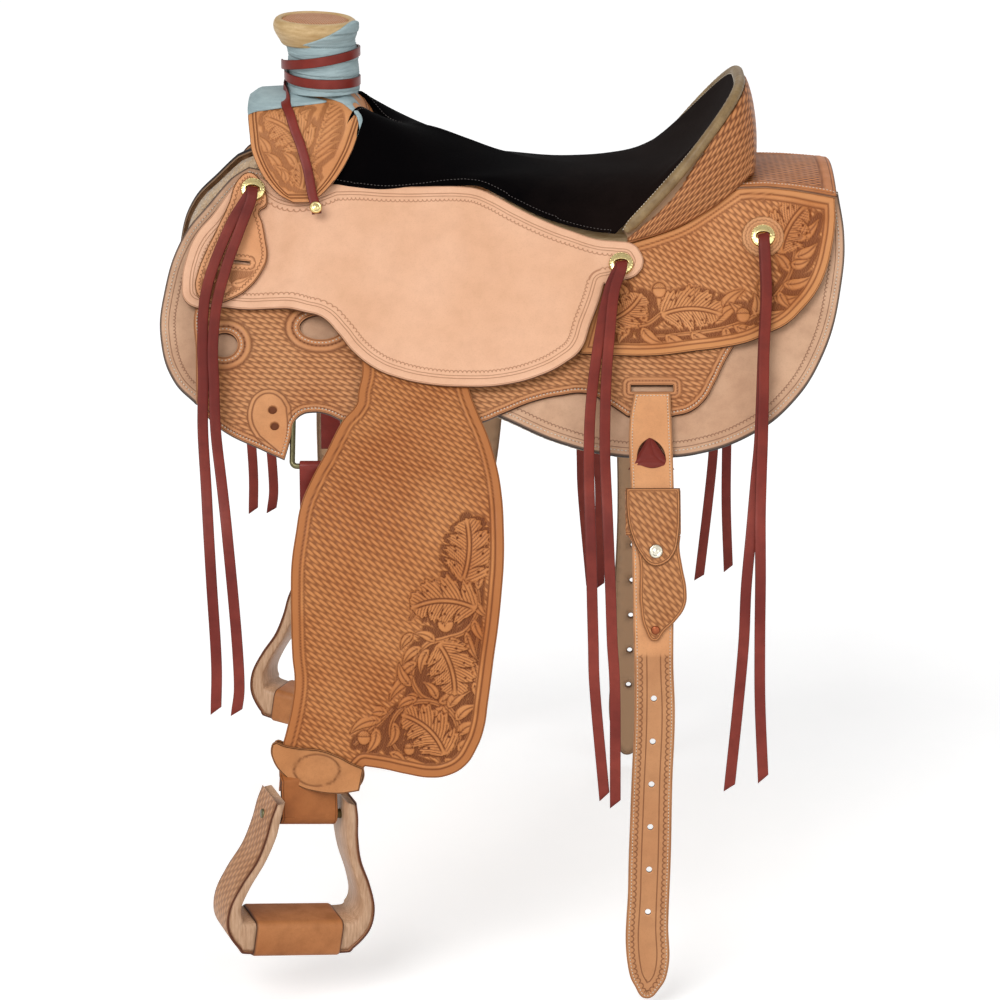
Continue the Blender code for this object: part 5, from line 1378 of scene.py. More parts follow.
def make_rigging():
    """The plate has smooth rings round its openings and a heart-shaped plain tab beside the dee's arch."""
    pits = np.array(RIGGING_PITS)
    heart = smooth_loop(RIGGING_HEART, 2.0)

    def on_tab(points):
        return inside_loop(points, heart) | (Measure([heart])(points)[0] < 6)

    flat = cut_flat(RIGGING_OUTLINE, RIGGING_HOLES, fine=on_tab, fine_step=0.9, border=16.0, coarse=4.0,
                    border_step=1.7, edge=0.9)
    outer = Measure([flat["loops"][0], flat["loops"][3]])(flat["points"])[0]
    rings = Measure(flat["loops"][1:3])(flat["points"])[0]
    away = Measure([heart])(flat["points"])[0]
    depth = np.where(inside_loop(flat["points"], heart), away, -away)
    from_edge = np.minimum(outer, rings * 6.6 / 11.0)
    flat["inward"] = from_edge
    line = bead(from_edge, 6.6, 1.3, 0.7) - bead(from_edge, 4.4, 0.9, 0.4) - bead(from_edge, 8.8, 0.9, 0.4)
    rim = bead(depth, 0, 1.3, 0.7) - bead(depth, 2.2, 0.9, 0.4) - bead(depth, -2.2, 0.9, 0.4)
    relief = np.where(depth > 0.5, rim, np.where(depth > -3, np.minimum(line, rim), line))
    # The grooves beside the raised lines darkened: stain with painted shade
    dark = np.maximum(bead(from_edge, 4.4, 0.8), bead(from_edge, 8.8, 0.8)) * ease(depth, 3, -1)
    round_tab = np.maximum(bead(depth, 2.2, 0.8), bead(depth, -2.2, 0.8))
    dark = 0.9 * np.maximum(dark, round_tab * ease(from_edge, 3, 5))
    weave = ease(from_edge, 8.6, 10.0) * ease(depth, -2.0, -3.4)
    # Two sunk pits painted dark: painted shade standing in for the shadowed insides of two holes
    sunk = ease(np.linalg.norm(flat["points"][:, None] - pits, axis=2).min(1), 5.0, 3.9) * flat["top"]
    relief = relief * (1 - sunk) - 3.2 * sunk
    dark = np.maximum(dark, sunk)
    for word, side in SIDES:
        lay("rigging_leather", "rigging_plate", word, flat, 5.5, 5.5, RIGGING_LEATHER, relief, dark, weave)
        rows = edge_line(flat, 3.4, 11.1, side)
        for hole in (1, 2):
            rows += edge_line(flat, 4.2, 11.1, side, hole)
        sew("rigging_stitching_" + word, "saddle", "tooled_leather", rows, 3.6, 2.4, 1.35)


def make_jockeys():
    flat = cut_flat(SEAT_JOCKEY_OUTLINE, coarse=6.0, border=22.0, border_step=2.2)
    relief = -bead(flat["inward"], 8.6, 0.8, 0.35) - bead(flat["inward"], 11.6, 0.8, 0.3)
    rear, *looks = tooled_piece(REAR_JOCKEY_OUTLINE, REAR_FLORAL, carve_rear_jockey, bead_at=9.6)
    for word, _ in SIDES:
        lay("seat_jockey_leather", "seat_jockey", word, flat, seat_jockey_inner, 4.5, JOCKEY_LEATHER,
            relief,
            slot="natural_leather")
        lay("rear_jockey_leather", "rear_jockey", word, rear, 12.5, 4.0, REAR_LEATHER, *looks)


def make_strap_keepers():
    slot = [(-285, 81, 1), (-258, 83, 1), (-258, 86, 1), (-285, 84, 1)]
    flat = cut_flat(STRAP_KEEPER_OUTLINE, (slot,), coarse=2.5, border=12.0, border_step=1.2, edge=0.8,
                    fine=lambda p: p[:, 1] > 92, fine_step=0.9)
    work = Carving(flat["points"], ease(flat["points"][:, 1], 90, 93))
    work.flower((-285, 108), 9.0)
    work.blade((-276, 106), (-258, 98), 3, 8)
    work.blade((-292, 102), (-306, 96), -3, 8)
    inner = ease(flat["inward"], 6.0, 7.5)
    # tone: the carving's stain with painted shade
    relief, tone = work.height * inner, work.tone * inner
    for word, _ in SIDES:
        lay("strap_keeper_leather", "strap_keeper", word, flat, 19.0, 4.0, KEEPER_LEATHER, relief, tone)


def make_fenders():
    flat, relief, tone, weave = tooled_piece(FENDER_OUTLINE, FENDER_FLORAL, carve_fender, bead_at=11.2)
    hobble = cut_flat(HOBBLE_OUTLINE, coarse=2.5, border=8.0, border_step=1.3)
    hx, hs = hobble["points"].T
    oval_away = np.sqrt(((hx + 186) / 23) ** 2 + ((hs - 611) / 16.5) ** 2)
    hobble_looks = bead(oval_away, 1, 0.06, -0.4), bead(oval_away, 1, 0.05, 0.9)
    for word, side in SIDES:
        piece = bend_piece("fender_leather_" + word, flat, 15.0, 5.0, side, FENDER_LEATHER, relief, tone,
                           weave)
        place(-88, 222, 17.5, side)
        place(-88, 238, 17.5, side)
        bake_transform(piece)
        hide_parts("fender_" + word, "stirrup_leather_" + word)
        strap = bend_piece("hobble_leather_" + word, hobble, 20.3, 3.2, side, HOBBLE_LEATHER, *hobble_looks)
        back = [(x + (1 if x < -180 else -1) * 2, s) for x, s, *_ in HOBBLE_OUTLINE]
        back = cut_flat(back, coarse=4, border=3)
        behind = bend_piece("hobble_back_" + word, back, 11.2, 3.2, side, HOBBLE_LEATHER)
        piece = joined("hobble_leather_" + word, [strap, behind])
        finish_piece(piece, "fender_" + word, "stirrup_hobble_" + word, slot="tooled_leather")
        make_tail(word, side)


BOLT_AT = (-197, 660, 9.5)
BOLT_RADIUS = 5.0
STIRRUP_YAW = math.radians(20)
STIRRUP_TILT = math.radians(8)


def stirrup_axes(side):
    """Along the bolt, down, and outwards, for a stirrup turned and tilted."""
    along = Vector((math.cos(STIRRUP_YAW), -side * math.sin(STIRRUP_YAW), 0))
    outward = Vector((math.sin(STIRRUP_YAW), side * math.cos(STIRRUP_YAW), 0))
    turn = Matrix.Rotation(STIRRUP_TILT, 3, Vector((0, 1, 0)))
    return turn @ along, turn @ Vector((0, 0, -1)), turn @ outward


def make_tail(word, side):
    """The fender's plain end goes down over the bolt, round it and back up behind."""
    centre = place(*BOLT_AT, side)
    along, down, outward = stirrup_axes(side)
    thick = 4.6 * MM
    bend = (BOLT_RADIUS + 1.4) * MM + thick / 2
    path, across = [], []
    for s in (606, 620, 632):
        path.append(place(-194.5, s, 17.3, side))
        across.append(Vector((1, 0, 0)))
    for step in range(-1, 15):
        a = math.pi * step / 14
        path.append(centre + outward * bend * math.cos(a) + down * bend * math.sin(a))
        across.append(along)
    for k in (6, 14):
        path.append(centre - outward * (bend + 0.4 * MM) - down * k * MM)
        across.append(along)
    path = line_through(path, 2 * MM)
    k = np.linspace(0, 1, len(path))
    across = smooth(np.column_stack((np.linspace(0, 1, len(across)), np.array(across))), k)
    run = unit(np.gradient(path, axis=0))
    across = unit(across - run * np.sum(across * run, 1)[:, None])
    piece = swept("fender_tail_" + word, path, across, unit(np.cross(run, across)), 60 * MM, thick,
                  PLAIN_LEATHER)
    finish_piece(piece, "fender_" + word, slot="tooled_leather")


STIRRUP_OUTER = [
    (-43, -16), (-47, -4), (-50, 14), (-57, 38), (-70, 62), (-79, 86), (-77, 108), (-62, 126), (-48, 131),
    (48, 131), (62, 126), (77, 108), (79, 86), (70, 62), (57, 38), (50, 14), (47, -4), (43, -16),
]
STIRRUP_INNER = [
    (33.5, -16), (36, 0), (38, 16), (46, 40), (58, 64), (65, 84), (62, 96), (50, 101), (-50, 101),
    (-62, 96), (-65, 84), (-58, 64), (-46, 40), (-38, 16), (-36, 0), (-33.5, -16),
]
STIRRUP_DEPTH = 50
STIRRUP_TALL = 1.11
TREAD_BAR = (101 * STIRRUP_TALL, 131 * STIRRUP_TALL)
TREAD_HALF = 47


def stretched(line):
    """The stirrup's line drawn out a little below the bolt and above it, as the photo shows it."""
    line = np.array(line, float)
    line[:, 1] = np.where(line[:, 1] > 0, line[:, 1] * STIRRUP_TALL, line[:, 1] * 1.35)
    return line


def stirrup_band(name, outer, inner, deep, crown, stand, finish):
    """A bent board between two lines in the stirrup's plane, with softened edges and a crowned outside."""
    outer, inner = line_through(outer, 3.0), line_through(inner, 3.0)
    count = max(len(outer), len(inner))
    k = np.linspace(0, 1, count)
    lines = []
    for line in (outer, inner):
        at = np.linspace(0, 1, len(line))
        lines.append(np.column_stack([np.interp(k, at, line[:, n]) for n in (0, 1)]))
    outer, inner = lines
    half = deep / 2
    across = [(-half, 0.16), (-half + 1.6, 0.0), (-half * 0.5, -crown), (0, -1.3 * crown),
              (half * 0.5, -crown),
              (half - 1.6, 0.0), (half, 0.16), (half, 0.84), (half - 1.6, 1.0), (0, 1.0),
              (-half + 1.6, 1.0), (-half, 0.84)]
    rows = [np.column_stack((outer + (inner - outer) * share, np.full(count, z))) for z, share in across]
    points = np.stack(rows, 1).reshape(-1, 3) * MM
    along = np.repeat(lengths_along(outer), len(across)) * MM
    z = np.tile([a for a, _ in across], count) * MM
    share = np.tile([b for _, b in across], count)
    maps = {"flat": np.column_stack((along, z)), "border": np.column_stack((along, half * MM - np.abs(z)))}
    return put_mesh(name, moved(points, stand), tube_faces(count, len(across), fans=True), finish, maps,
                    {"weave": (share < 0.1) & (np.abs(z) < half * MM * 0.95),
                     "edge": np.abs(z) > half * MM * 0.999})


def make_stirrups():
    for word, side in SIDES:
        centre = place(*BOLT_AT, side)
        along, down, outward = stirrup_axes(side)
        stand = Matrix.Translation(centre) @ Matrix((along, down, outward)).transposed().to_4x4()
        outer = stretched(STIRRUP_OUTER)
        inner = stretched(STIRRUP_INNER)
        middle = np.array([0, 60.0])
        skin = outer + unit(middle - outer) * 2.6
        wood = stirrup_band("stirrup_wood_" + word, skin, inner[::-1], STIRRUP_DEPTH - 1.0, 0.0, stand,
                            STIRRUP_WOOD)
        finish_piece(wood, "stirrup_" + word, "stirrup_frame_" + word, slot="wood")
        cover = stirrup_band("stirrup_cover_" + word, outer, skin + unit(middle - outer) * 0.4,
                             STIRRUP_DEPTH, 0.02,
                             stand, STIRRUP_LEATHER)
        finish_piece(cover, "stirrup_" + word, slot="tooled_leather")
        make_tread(word, stand)
        bolt = [(0, -49), (4.6, -49), (5, -48), (5, 48), (4.6, 49), (0, 49)]
        quarter = stand @ Matrix.Rotation(math.pi / 2, 4, "Y")
        piece = turned("stirrup_pin_" + word, bolt, STEEL, quarter, 32)
        finish_piece(piece, "stirrup_" + word, "stirrup_bolt_" + word, slot="steel")


def make_tread(word, stand):
    """A leather sleeve round the tread, drawn in a little at both ends."""
    low, high = TREAD_BAR[0] - 3.0, TREAD_BAR[1] + 3.0
    half_deep = STIRRUP_DEPTH / 2 + 3.0
    middle, half_high, corner = (low + high) / 2, (high - low) / 2, 8.0
    ring = []
    for cz, cy, start in ((1, 1, 0), (-1, 1, 90), (-1, -1, 180), (1, -1, 270)):
        for step in range(6):
            a = math.radians(start + 18 * step)
            ring.append((cz * (half_deep - corner) + corner * math.cos(a),
                         cy * (half_high - corner) + corner * math.sin(a)))
    ring = np.array(ring)

    def row(x, high_share, deep_share):
        return np.column_stack((np.full(len(ring), x), middle + ring[:, 1] * high_share,
                                ring[:, 0] * deep_share))

    rows = []
    for x in np.linspace(-TREAD_HALF, TREAD_HALF, 40):
        end = ease(abs(x), TREAD_HALF - 2.5, TREAD_HALF)
        rows.append(row(x, 1 - 0.05 * end, 1 - 0.04 * end))
    rows += [row(x, 0.86, 0.93) for x in (TREAD_HALF, -TREAD_HALF)]
    points = np.concatenate(rows) * MM
    girth = np.tile(lengths_along(ring), len(rows)) * MM
    from_middle = np.abs(points[:, 0])
    maps = {"flat": np.column_stack((points[:, 0], girth)),
            "border": np.column_stack((girth, 0.047 - from_middle))}
    edge = (from_middle > 0.0468).astype(float)
    piece = put_mesh("stirrup_tread_leather_" + word, moved(points, stand),
                     tube_faces(len(rows), len(ring), ring=True),
                     TREAD_LEATHER, maps, {"weave": 1 - edge, "edge": edge})
    finish_piece(piece, "stirrup_" + word, "stirrup_tread_" + word, slot="tooled_leather")


def make_billets():
    holes = [oval((156 - 0.9 * n, 538 + 44.9 * n), 3.0, 1.0, 8) for n in range(6)]
    triangle = [(150.5, 276), (154.5, 276), (168, 299), (165, 305), (142, 304), (139, 298)]
    flat = cut_flat(BILLET_OUTLINE, (*holes, triangle), coarse=4.0, border=8.5, border_step=1.3, edge=0.9,
                    hole_marks=False)
    tongue, flap = (cut_flat(outline, coarse=2.5, border=8.0, border_step=1.3, edge=0.8)
                    for outline in (KEEPER_TONGUE_OUTLINE, KEEPER_FLAP_OUTLINE))
    for word, side in SIDES:
        body = "billet_" + word
        lay("billet_leather", "flank_billet", word, flat, 12.0, 4.5, BILLET_LEATHER, body=body,
            weave=ease(flat["points"][:, 1], 490, 496))
        sew("billet_stitching_" + word, body, "tooled_leather", edge_line(flat, 3.4, 16.6, side), 3.4, 2.3,
            1.1)
        front = bend_piece("keeper_front_" + word, tongue, 16.9, 2.9, side, CUFF_LEATHER,
                           weave=ease(tongue["inward"], 3.0, 4.0))
        cuff = billet_cuff("keeper_cuff_" + word, side)
        over = bend_piece("keeper_flap_" + word, flap, 18.6, 2.6, side, CUFF_LEATHER,
                          weave=ease(flap["inward"], 3.0, 4.0))
        piece = joined("billet_keeper_leather_" + word, [front, cuff, over])
        finish_piece(piece, body, "billet_keeper_" + word, slot="tooled_leather")
        snap = [(0, 0.0), (7.0, 0.0), (7.2, 0.8), (6.0, 2.0), (4.6, 2.3), (4.2, 1.7), (3.0, 1.7),
                (2.4, 2.2), (0, 2.4)]
        piece = turned("billet_snap_" + word, snap, NICKEL, side_matrix(157, 390, 21.0, side))
        finish_piece(piece, body, slot="steel")
        rivet = [(0, 0.0), (4.5, 0.0), (4.5, 0.6), (3.4, 1.5), (1.2, 1.8), (0, 1.8)]
        piece = turned("billet_rivet_" + word, rivet, COPPER, side_matrix(157, 466, 19.6, side), 32)
        finish_piece(piece, body, slot="brass")
        make_billet_lacing(word, side, body)


CUFF_SPAN = (330.0, 376.0)


def billet_cuff(name, side):
    """A cuff of leather right round the billet."""
    x0, x1, t0, t1, corner = 126.5, 182.5, 8.9, 19.7, 2.6
    ring = []
    for cx, ct, start in ((x1, t1, 0), (x0, t1, 90), (x0, t0, 180), (x1, t0, 270)):
        mx = cx - math.copysign(corner, cx - 150)
        mt = ct - math.copysign(corner, ct - 14)
        for step in range(5):
            a = math.radians(start + 22.5 * step)
            ring.append((mx + corner * math.cos(a), mt + corner * math.sin(a)))
    ring = np.array(ring)
    dense = []
    for p, q in zip(ring, np.roll(ring, -1, 0)):
        steps = max(1, round(np.linalg.norm(q - p) / 4))
        dense += [p + (q - p) * k / steps for k in range(steps)]
    ring = np.array(dense)
    centre = ring.mean(0)
    inner = centre + (ring - centre) * ((x1 - x0 - 5.6) / (x1 - x0), 0.52)
    top, end = CUFF_SPAN
    heights = np.linspace(top, end, 18)
    rows = [(ring, top + 1, 0.97)] + [(ring, s, 1.0) for s in heights[1:-1]] + [(ring, end - 0.5, 0.97)]
    rows += [(inner, end, 1.0), (inner, top, 1.0)]
    places = []
    for line, s, scale in rows:
        here = centre + (line - centre) * scale
        places.append(on_side(here[:, 0], s, here[:, 1], side))
    around, count = len(ring), len(rows)
    girth = np.tile(lengths_along(ring), count)
    down = np.repeat([s for _, s, _ in rows], around)
    edge = np.repeat([line is inner for line, _, _ in rows], around)
    inward = np.minimum(down - top, end - down)
    maps = {"flat": np.column_stack((girth, down)) * MM, "border": np.column_stack((girth, inward)) * MM}
    return put_mesh(name, np.concatenate(places), tube_faces(count, around, ring=True), CUFF_LEATHER, maps,
                    {"weave": (inward > 5) & ~edge, "edge": edge})


def make_billet_lacing(word, side, body):
    """Three folds of lace tucked into the billet's triangle, over one another."""
    corners = [(152.5, 268), (177, 309), (130, 309)]
    centre = (153, 293)
    folds = []
    for n in range(3):
        one, two = corners[n], corners[(n + 1) % 3]
        past = [c + 0.32 * (other - c) for c, other in zip(centre, corners[n - 1])]
        flat = cut_flat([(*one, 1), (*two, 1), (*past, 1)], coarse=2.0, border=4.0, border_step=1.2,
                        edge=0.7)
        swell = 2.2 * ease(flat["inward"], 0.4, 5.0)
        shade = 0.9 * ease(flat["inward"], 2.2, 0.3)
        folds.append(bend_piece("lace_fold_%d" % n, flat, 12.8 + 0.5 * n, 1.6, side, LACE_LEATHER, swell,
                                shade))
    finish_piece(joined("billet_lacing_" + word, folds), body, slot="latigo_leather")


DEE_BOX = (-211, -160, 234, 303)
DEE_T = 8.25


def make_dees():
    x0, x1, s0, s1 = DEE_BOX
    for word, side in SIDES:
        path = []
        for cx, cs, start in ((x1, s0, -90), (x1, s1, 0), (x0, s1, 90), (x0, s0, 180)):
            mx = cx - math.copysign(5, cx - (x0 + x1) / 2)
            ms = cs - math.copysign(5, cs - (s0 + s1) / 2)
            for step in range(9):
                a = math.radians(start + 11.25 * step)
                s = ms + 5 * math.sin(a)
                path.append(place(mx + 5 * math.cos(a), s, DEE_T - 0.9 * float(ease(s, 280, 262)), side))
        curve = bpy.data.curves.new("rigging_ring_" + word, "CURVE")
        curve.dimensions = "3D"
        curve.bevel_depth = 2.9 * MM
        curve.bevel_resolution = 5
        spline = curve.splines.new("POLY")
        spline.points.add(len(path) - 1)
        for knot, point in zip(spline.points, path):
            knot.co = (*point, 1)
        spline.use_cyclic_u = True
        holder = put_object(curve.name, curve)
        mesh = evaluated_mesh(holder)
        bpy.data.objects.remove(holder)
        mesh.materials.clear()
        mesh.materials.append(STEEL)
        piece = put_object("rigging_ring_" + word, mesh)
        finish_piece(piece, "saddle", "rigging_dee_" + word, slot="steel")
        make_latigo(word, side)


def make_latigo(word, side):
    """The latigo goes over the dee's lower bar and hangs straight down from it, its two ends together."""
    bar = place((DEE_BOX[0] + DEE_BOX[1]) / 2, DEE_BOX[3], DEE_T, side)
    wrap = 4.2 * MM
    out, up = Vector((0, side, 0)), Vector((0, 0, 1))
    path = [bar - out * wrap - up * k * MM for k in (70, 50, 30, 15, 5)]
    for step in range(13):
        a = math.pi * (1 - step / 12)
        path.append(bar + out * wrap * math.cos(a) + up * wrap * math.sin(a))
    path += [bar + out * wrap - up * k * MM for k in (5, 20, 45, 75, 105, 130)]
    path = line_through(path, 2.5 * MM)
    across = np.tile((1.0, 0, 0), (len(path), 1))
    normal = unit(np.cross(unit(np.gradient(path, axis=0)), across))
    piece = swept("latigo_leather_" + word, path, across, normal, 36 * MM, 3 * MM, LATIGO_LEATHER)
    finish_piece(piece, "latigo_" + word, "latigo_" + word, slot="latigo_leather")


CONCHO_RADIUS = 13.0
CONCHOS = {"front": (-256, 15, 24.0), "mid": (125, 84, 22.8), "rear": (272, 58, 17.3)}


def local_piece(name, flat, thick, height, matrix, finish, tone):
    """A flat piece stood up by a height over its top, and set down by a matrix."""
    drop = flat["drop"]
    z = np.where(drop >= 0, thick - drop, np.where(drop > -1.5, 0.3, 0.0))
    z = np.where(flat["top"], z + height, z)
    world = moved(np.column_stack((flat["points"], z)) * MM, matrix)
    cut = 0.0 if finish == BRASS else 1.0
    return put_mesh(name, world, flat["faces"], finish, edge_maps(flat),
                    {"tone": tone, "edge": flat["edge"] * cut, "back": flat["back"] * cut})


def scalloped(radius, swing, count, steps):
    """A round outline with a wavy edge."""
    made = []
    for i in range(count * steps):
        a = 2 * math.pi * i / (count * steps)
        here = radius - swing + swing * abs(math.cos(a * count / 2)) ** 0.7
        made.append((here * math.cos(a), here * math.sin(a)))
    return made


def make_conchos():
    slot = [(-6.6, -1.5), (6.6, -1.5), (7.2, 0), (6.6, 1.5), (-6.6, 1.5), (-7.2, 0)]
    disc = cut_flat(scalloped(CONCHO_RADIUS, 0.5, 24, 4), (slot,), coarse=1.1, border=2.0, border_step=0.8,
                    edge=0.5)
    away = np.linalg.norm(disc["points"], axis=1)
    angle = np.arctan2(disc["points"][:, 1], disc["points"][:, 0])
    dome = 3.7 * np.sqrt(np.clip(1 - (away / 13.4) ** 2, 0, 1))
    ring = ease(away, 8.6, 9.4) * ease(away, 12.4, 11.8)
    rays = 0.5 + 0.5 * np.cos(angle * 24)
    lines = bead(away, 8.4, 0.35) + bead(away, 12.2, 0.3)
    dome = dome - 0.25 * ring * rays - 0.25 * lines
    tone = 0.3 * np.clip(lines, 0, 1)
    rosette = cut_flat(scalloped(22.5, 1.2, 22, 5), coarse=1.4, border=6.0, border_step=0.9, edge=0.6)
    rose_away = np.linalg.norm(rosette["points"], axis=1)
    rose_angle = np.arctan2(rosette["points"][:, 1], rosette["points"][:, 0])
    shells = bead(rose_away - 18.6 + 1.1 * np.abs(np.cos(rose_angle * 13)), 0, 0.6)
    shells = np.maximum(shells, 0.8 * bead(rose_away, 14.6, 0.5))
    for spot, (x, s, base) in CONCHOS.items():
        for word, side in SIDES:
            stand = side_matrix(x, s, base, side)
            piece = local_piece("concho_dome_%s_%s" % (spot, word), disc, 1.1, dome, stand, BRASS, tone)
            finish_piece(piece, "saddle", "concho_%s_%s" % (spot, word), slot="brass")
            if spot == "rear":
                low = side_matrix(x, s, base - 1.1, side)
                # The rosette's pressed shells darkened: stain with painted shade
                piece = local_piece("rosette_rear_" + word, rosette, 1.7, -0.3 * shells, low,
                                    ROSETTE_LEATHER,
                                    0.8 * shells)
                finish_piece(piece, "saddle", slot="tooled_leather")


STRINGS = {
    "front": (
        [(-263, 27), (-278, 51), (-295, 92), (-303, 128), (-304, 173), (-302, 218), (-301, 273),
         (-295, 347), (-290, 416), (-286, 496), (-287, 547)],
        [(-257, 28), (-268, 56), (-281, 93), (-290, 133), (-293, 180), (-291, 219), (-287, 282),
         (-274, 376), (-267, 443), (-263, 517), (-266, 548)],
    ),
    "mid": (
        [(122, 92), (112, 116), (102, 167), (93, 236), (90, 292), (90, 340), (92, 408),
         (94, 476), (96, 528), (106, 637)],
        [(125, 94), (117, 120), (112, 168), (108, 219), (106, 293), (108, 358), (111, 423),
         (113, 475), (116, 527), (117, 644)],
    ),
    "rear": (
        [(272, 67), (273, 117), (269, 182), (266, 235), (263, 282), (259, 319), (254, 364),
         (248, 421), (246, 477), (241, 542), (233, 629)],
        [(273, 69), (274, 119), (270, 183), (268, 237), (266, 283), (264, 320), (262, 364),
         (262, 420), (262, 476), (263, 541), (267, 619)],
    ),
}
STRING_WIDTH = 11.0
STRING_THICK = 2.2


def make_strings():
    """Each lace comes out of its concho's slot, over the lower rim, and hangs as two tails."""
    for spot, (x, s, base) in CONCHOS.items():
        for word, side in SIDES:
            cord = "string_%s_%s" % (spot, word)
            for number, tail in enumerate(STRINGS[spot]):
                lift = base + 6.6 + 3.2 * number
                start = [(x, s + 0.2, base + 2.4 + 1.2 * number), (x, s + 0.1, base + 4.8 + 1.8 * number),
                         (x + 0.15 * (tail[0][0] - x), s + 3.2, lift)]
                flat = line_through(start + [(px, ps, lift) for px, ps in tail], 5.0)
                name = "saddle_string_%s_%s_%s" % (spot, word, "ab"[number])
                piece, path = side_strap(name, flat, side, STRING_WIDTH * MM, STRING_THICK * MM,
                                         LACE_LEATHER, -0.8)
                finish_piece(piece, cord, cord, slot="latigo_leather")


# ---- the fork and the horn


FORK_OUTER = [(0, 133), (20, 132), (35, 127.5), (50, 118), (62, 101), (71.5, 83), (84, 60), (94, 43),
              (99, 35)]
FORK_FRONT = [-262, -262, -262, -262, -260, -257, -245, -229, -213]
FORK_BACK = [-131, -133, -137, -141, -147, -154, -168, -184, -198]
FORK_SOFT = [1, 1, 1, 0.9, 0.75, 0.45, 0.25, 0.1, 0.1]
FORK_ACROSS = [(0, 7), (0.08, 1.5), (0.3, 0), (0.55, 0), (0.8, 0), (0.94, 1.5), (1, 6)]
HORN_X = -193.0
CAP_HEIGHT = 203


def fork_dip(x, out):
    """The top of the fork falls away behind the horn."""
    return 27 * ease(x, -165, -128) * np.maximum(0, 1 - (out / 50) ** 2)


def fork_knots():
    """Rows of (arc, out, up, front, back, soft) down the near half of the fork, in millimetres."""
    outer = np.array(FORK_OUTER, float)
    arc = lengths_along(outer)
    return np.column_stack((arc, outer, FORK_FRONT, FORK_BACK, FORK_SOFT))


FORK_ROWS = fork_knots()
FORK_LONG = FORK_ROWS[-1, 0]


def fork_place(arc, share, sink=0.0):
    """Places in millimetres on the fork cover: arc runs down from the top, share from front to back."""
    sign = np.where(arc < 0, 1.0, -1.0)
    a = np.abs(arc)
    mirrored = np.concatenate((FORK_ROWS[:0:-1] * (-1, -1, 1, 1, 1, 1), FORK_ROWS))
    at = smooth(mirrored, a)
    ahead, past = smooth(mirrored, np.minimum(a + 0.5, FORK_LONG)), smooth(mirrored, a - 0.5)
    run = unit(ahead[..., :2] - past[..., :2])
    lift = np.stack((-run[..., 1], run[..., 0]), -1)
    lift = np.where((lift[..., :1] < 0) & (lift[..., 1:] < 0), -lift, lift)
    out, up, front, back, soft = (at[..., n] for n in range(5))
    x = front + (back - front) * share
    draw = np.interp(share, *np.array(FORK_ACROSS).T) * soft
    edge_draw = ease(share, 0.05, 0.0) * 2.0 * soft + ease(share, 0.96, 1.0) * 1.5 * soft
    draw = draw + edge_draw * 0.3 + sink
    y = out - lift[..., 0] * draw
    z = up - lift[..., 1] * draw - fork_dip(x, out)
    return np.stack((x, sign * y, z), -1)


def carve_fork(points, ground):
    """Carving on one flank: points are (x, arc) in millimetres."""
    work = Carving(points, ground)
    work.stem([(-186, 128), (-194, 116), (-200, 100), (-200, 84), (-206, 66), (-222, 52)], 4.4)
    work.stem([(-224, 128), (-214, 118), (-206, 104)], 4.0)
    for n in range(9):
        work.blade((-198 + 2.6 * n, 112 - 8.5 * n), (-168 + 1.6 * n, 92 - 8.5 * n), -3, 8.5)
    work.blades([
        (-206, 66, -196, 46, -3, 9), (-214, 58, -208, 44, -3, 9), (-232, 56, -226, 44, 2, 8),
        (-246, 62, -240, 46, 3, 9), (-240, 100, -252, 78, 3, 9), (-228, 116, -244, 96, 3, 10),
        (-220, 124, -234, 110, 2, 9), (-212, 112, -226, 96, 3, 9), (-204, 118, -192, 100, -3, 9),
        (-206, 128, -190, 118, -3, 9), (-210, 134, -200, 118, 2, 9), (-216, 132, -214, 114, 2, 9),
        (-198, 132, -188, 124, -2, 8), (-222, 128, -226, 114, 2, 8),
    ])
    work.bud((-204, 92), 6.0)
    work.oak_leaf((-206, 106), (-206, 136), -3, 30)
    work.oak_leaf((-200, 92), (-244, 58), 5, 46)
    return work


def make_fork_cover():
    rows, columns = 300, 120
    arcs = np.linspace(-FORK_LONG, FORK_LONG, rows)
    shares = np.linspace(0, 1, columns)
    arc, share = np.meshgrid(arcs, shares, indexing="ij")
    at = smooth(FORK_ROWS, np.abs(arc))
    x = at[..., 2] + (at[..., 3] - at[..., 2]) * share
    flat = np.column_stack((x.ravel(), np.abs(arc).ravel()))
    inward = np.minimum.reduce([
        x.ravel() - at[..., 2].ravel(), at[..., 3].ravel() - x.ravel(), FORK_LONG - np.abs(arc).ravel()])
    zone = region(flat,
                  [(-254, 40), (-170, 40), (-160, 60), (-168, 92), (-184, 126), (-200, 143), (-216, 143),
                         (-236, 120), (-250, 86)])
    probe = carve_fork(flat, np.zeros(len(flat)))
    work = carve_fork(flat, zone * ease(probe.reach, -6.5, -4.0))
    keep = ease(inward, 9.6, 10.6) * zone
    relief = work.height * keep - bead(inward, 5, 0.9, 0.5) - bead(inward, 8.6, 0.9, 0.5)
    relief = relief + bead(inward, 6.8, 1.0, 0.4)
    # tone: the carving's and the grooves' stain with painted shade
    tone = np.maximum(0.8 * work.tone * keep,
                      0.9 * np.maximum(bead(inward, 5, 0.8), bead(inward, 8.6, 0.8)))
    outer = fork_place(arc, share, -relief.reshape(arc.shape))
    inner = fork_place(arc, share, 2.6)
    piece = closed_grid("fork_cover_leather", outer, inner, FORK_LEATHER, flat,
                        np.column_stack((flat[:, 1], inward)),
                        {"tone": tone, "edge": inward < 0.6})
    finish_piece(piece, "saddle", "fork_cover", slot="tooled_leather")


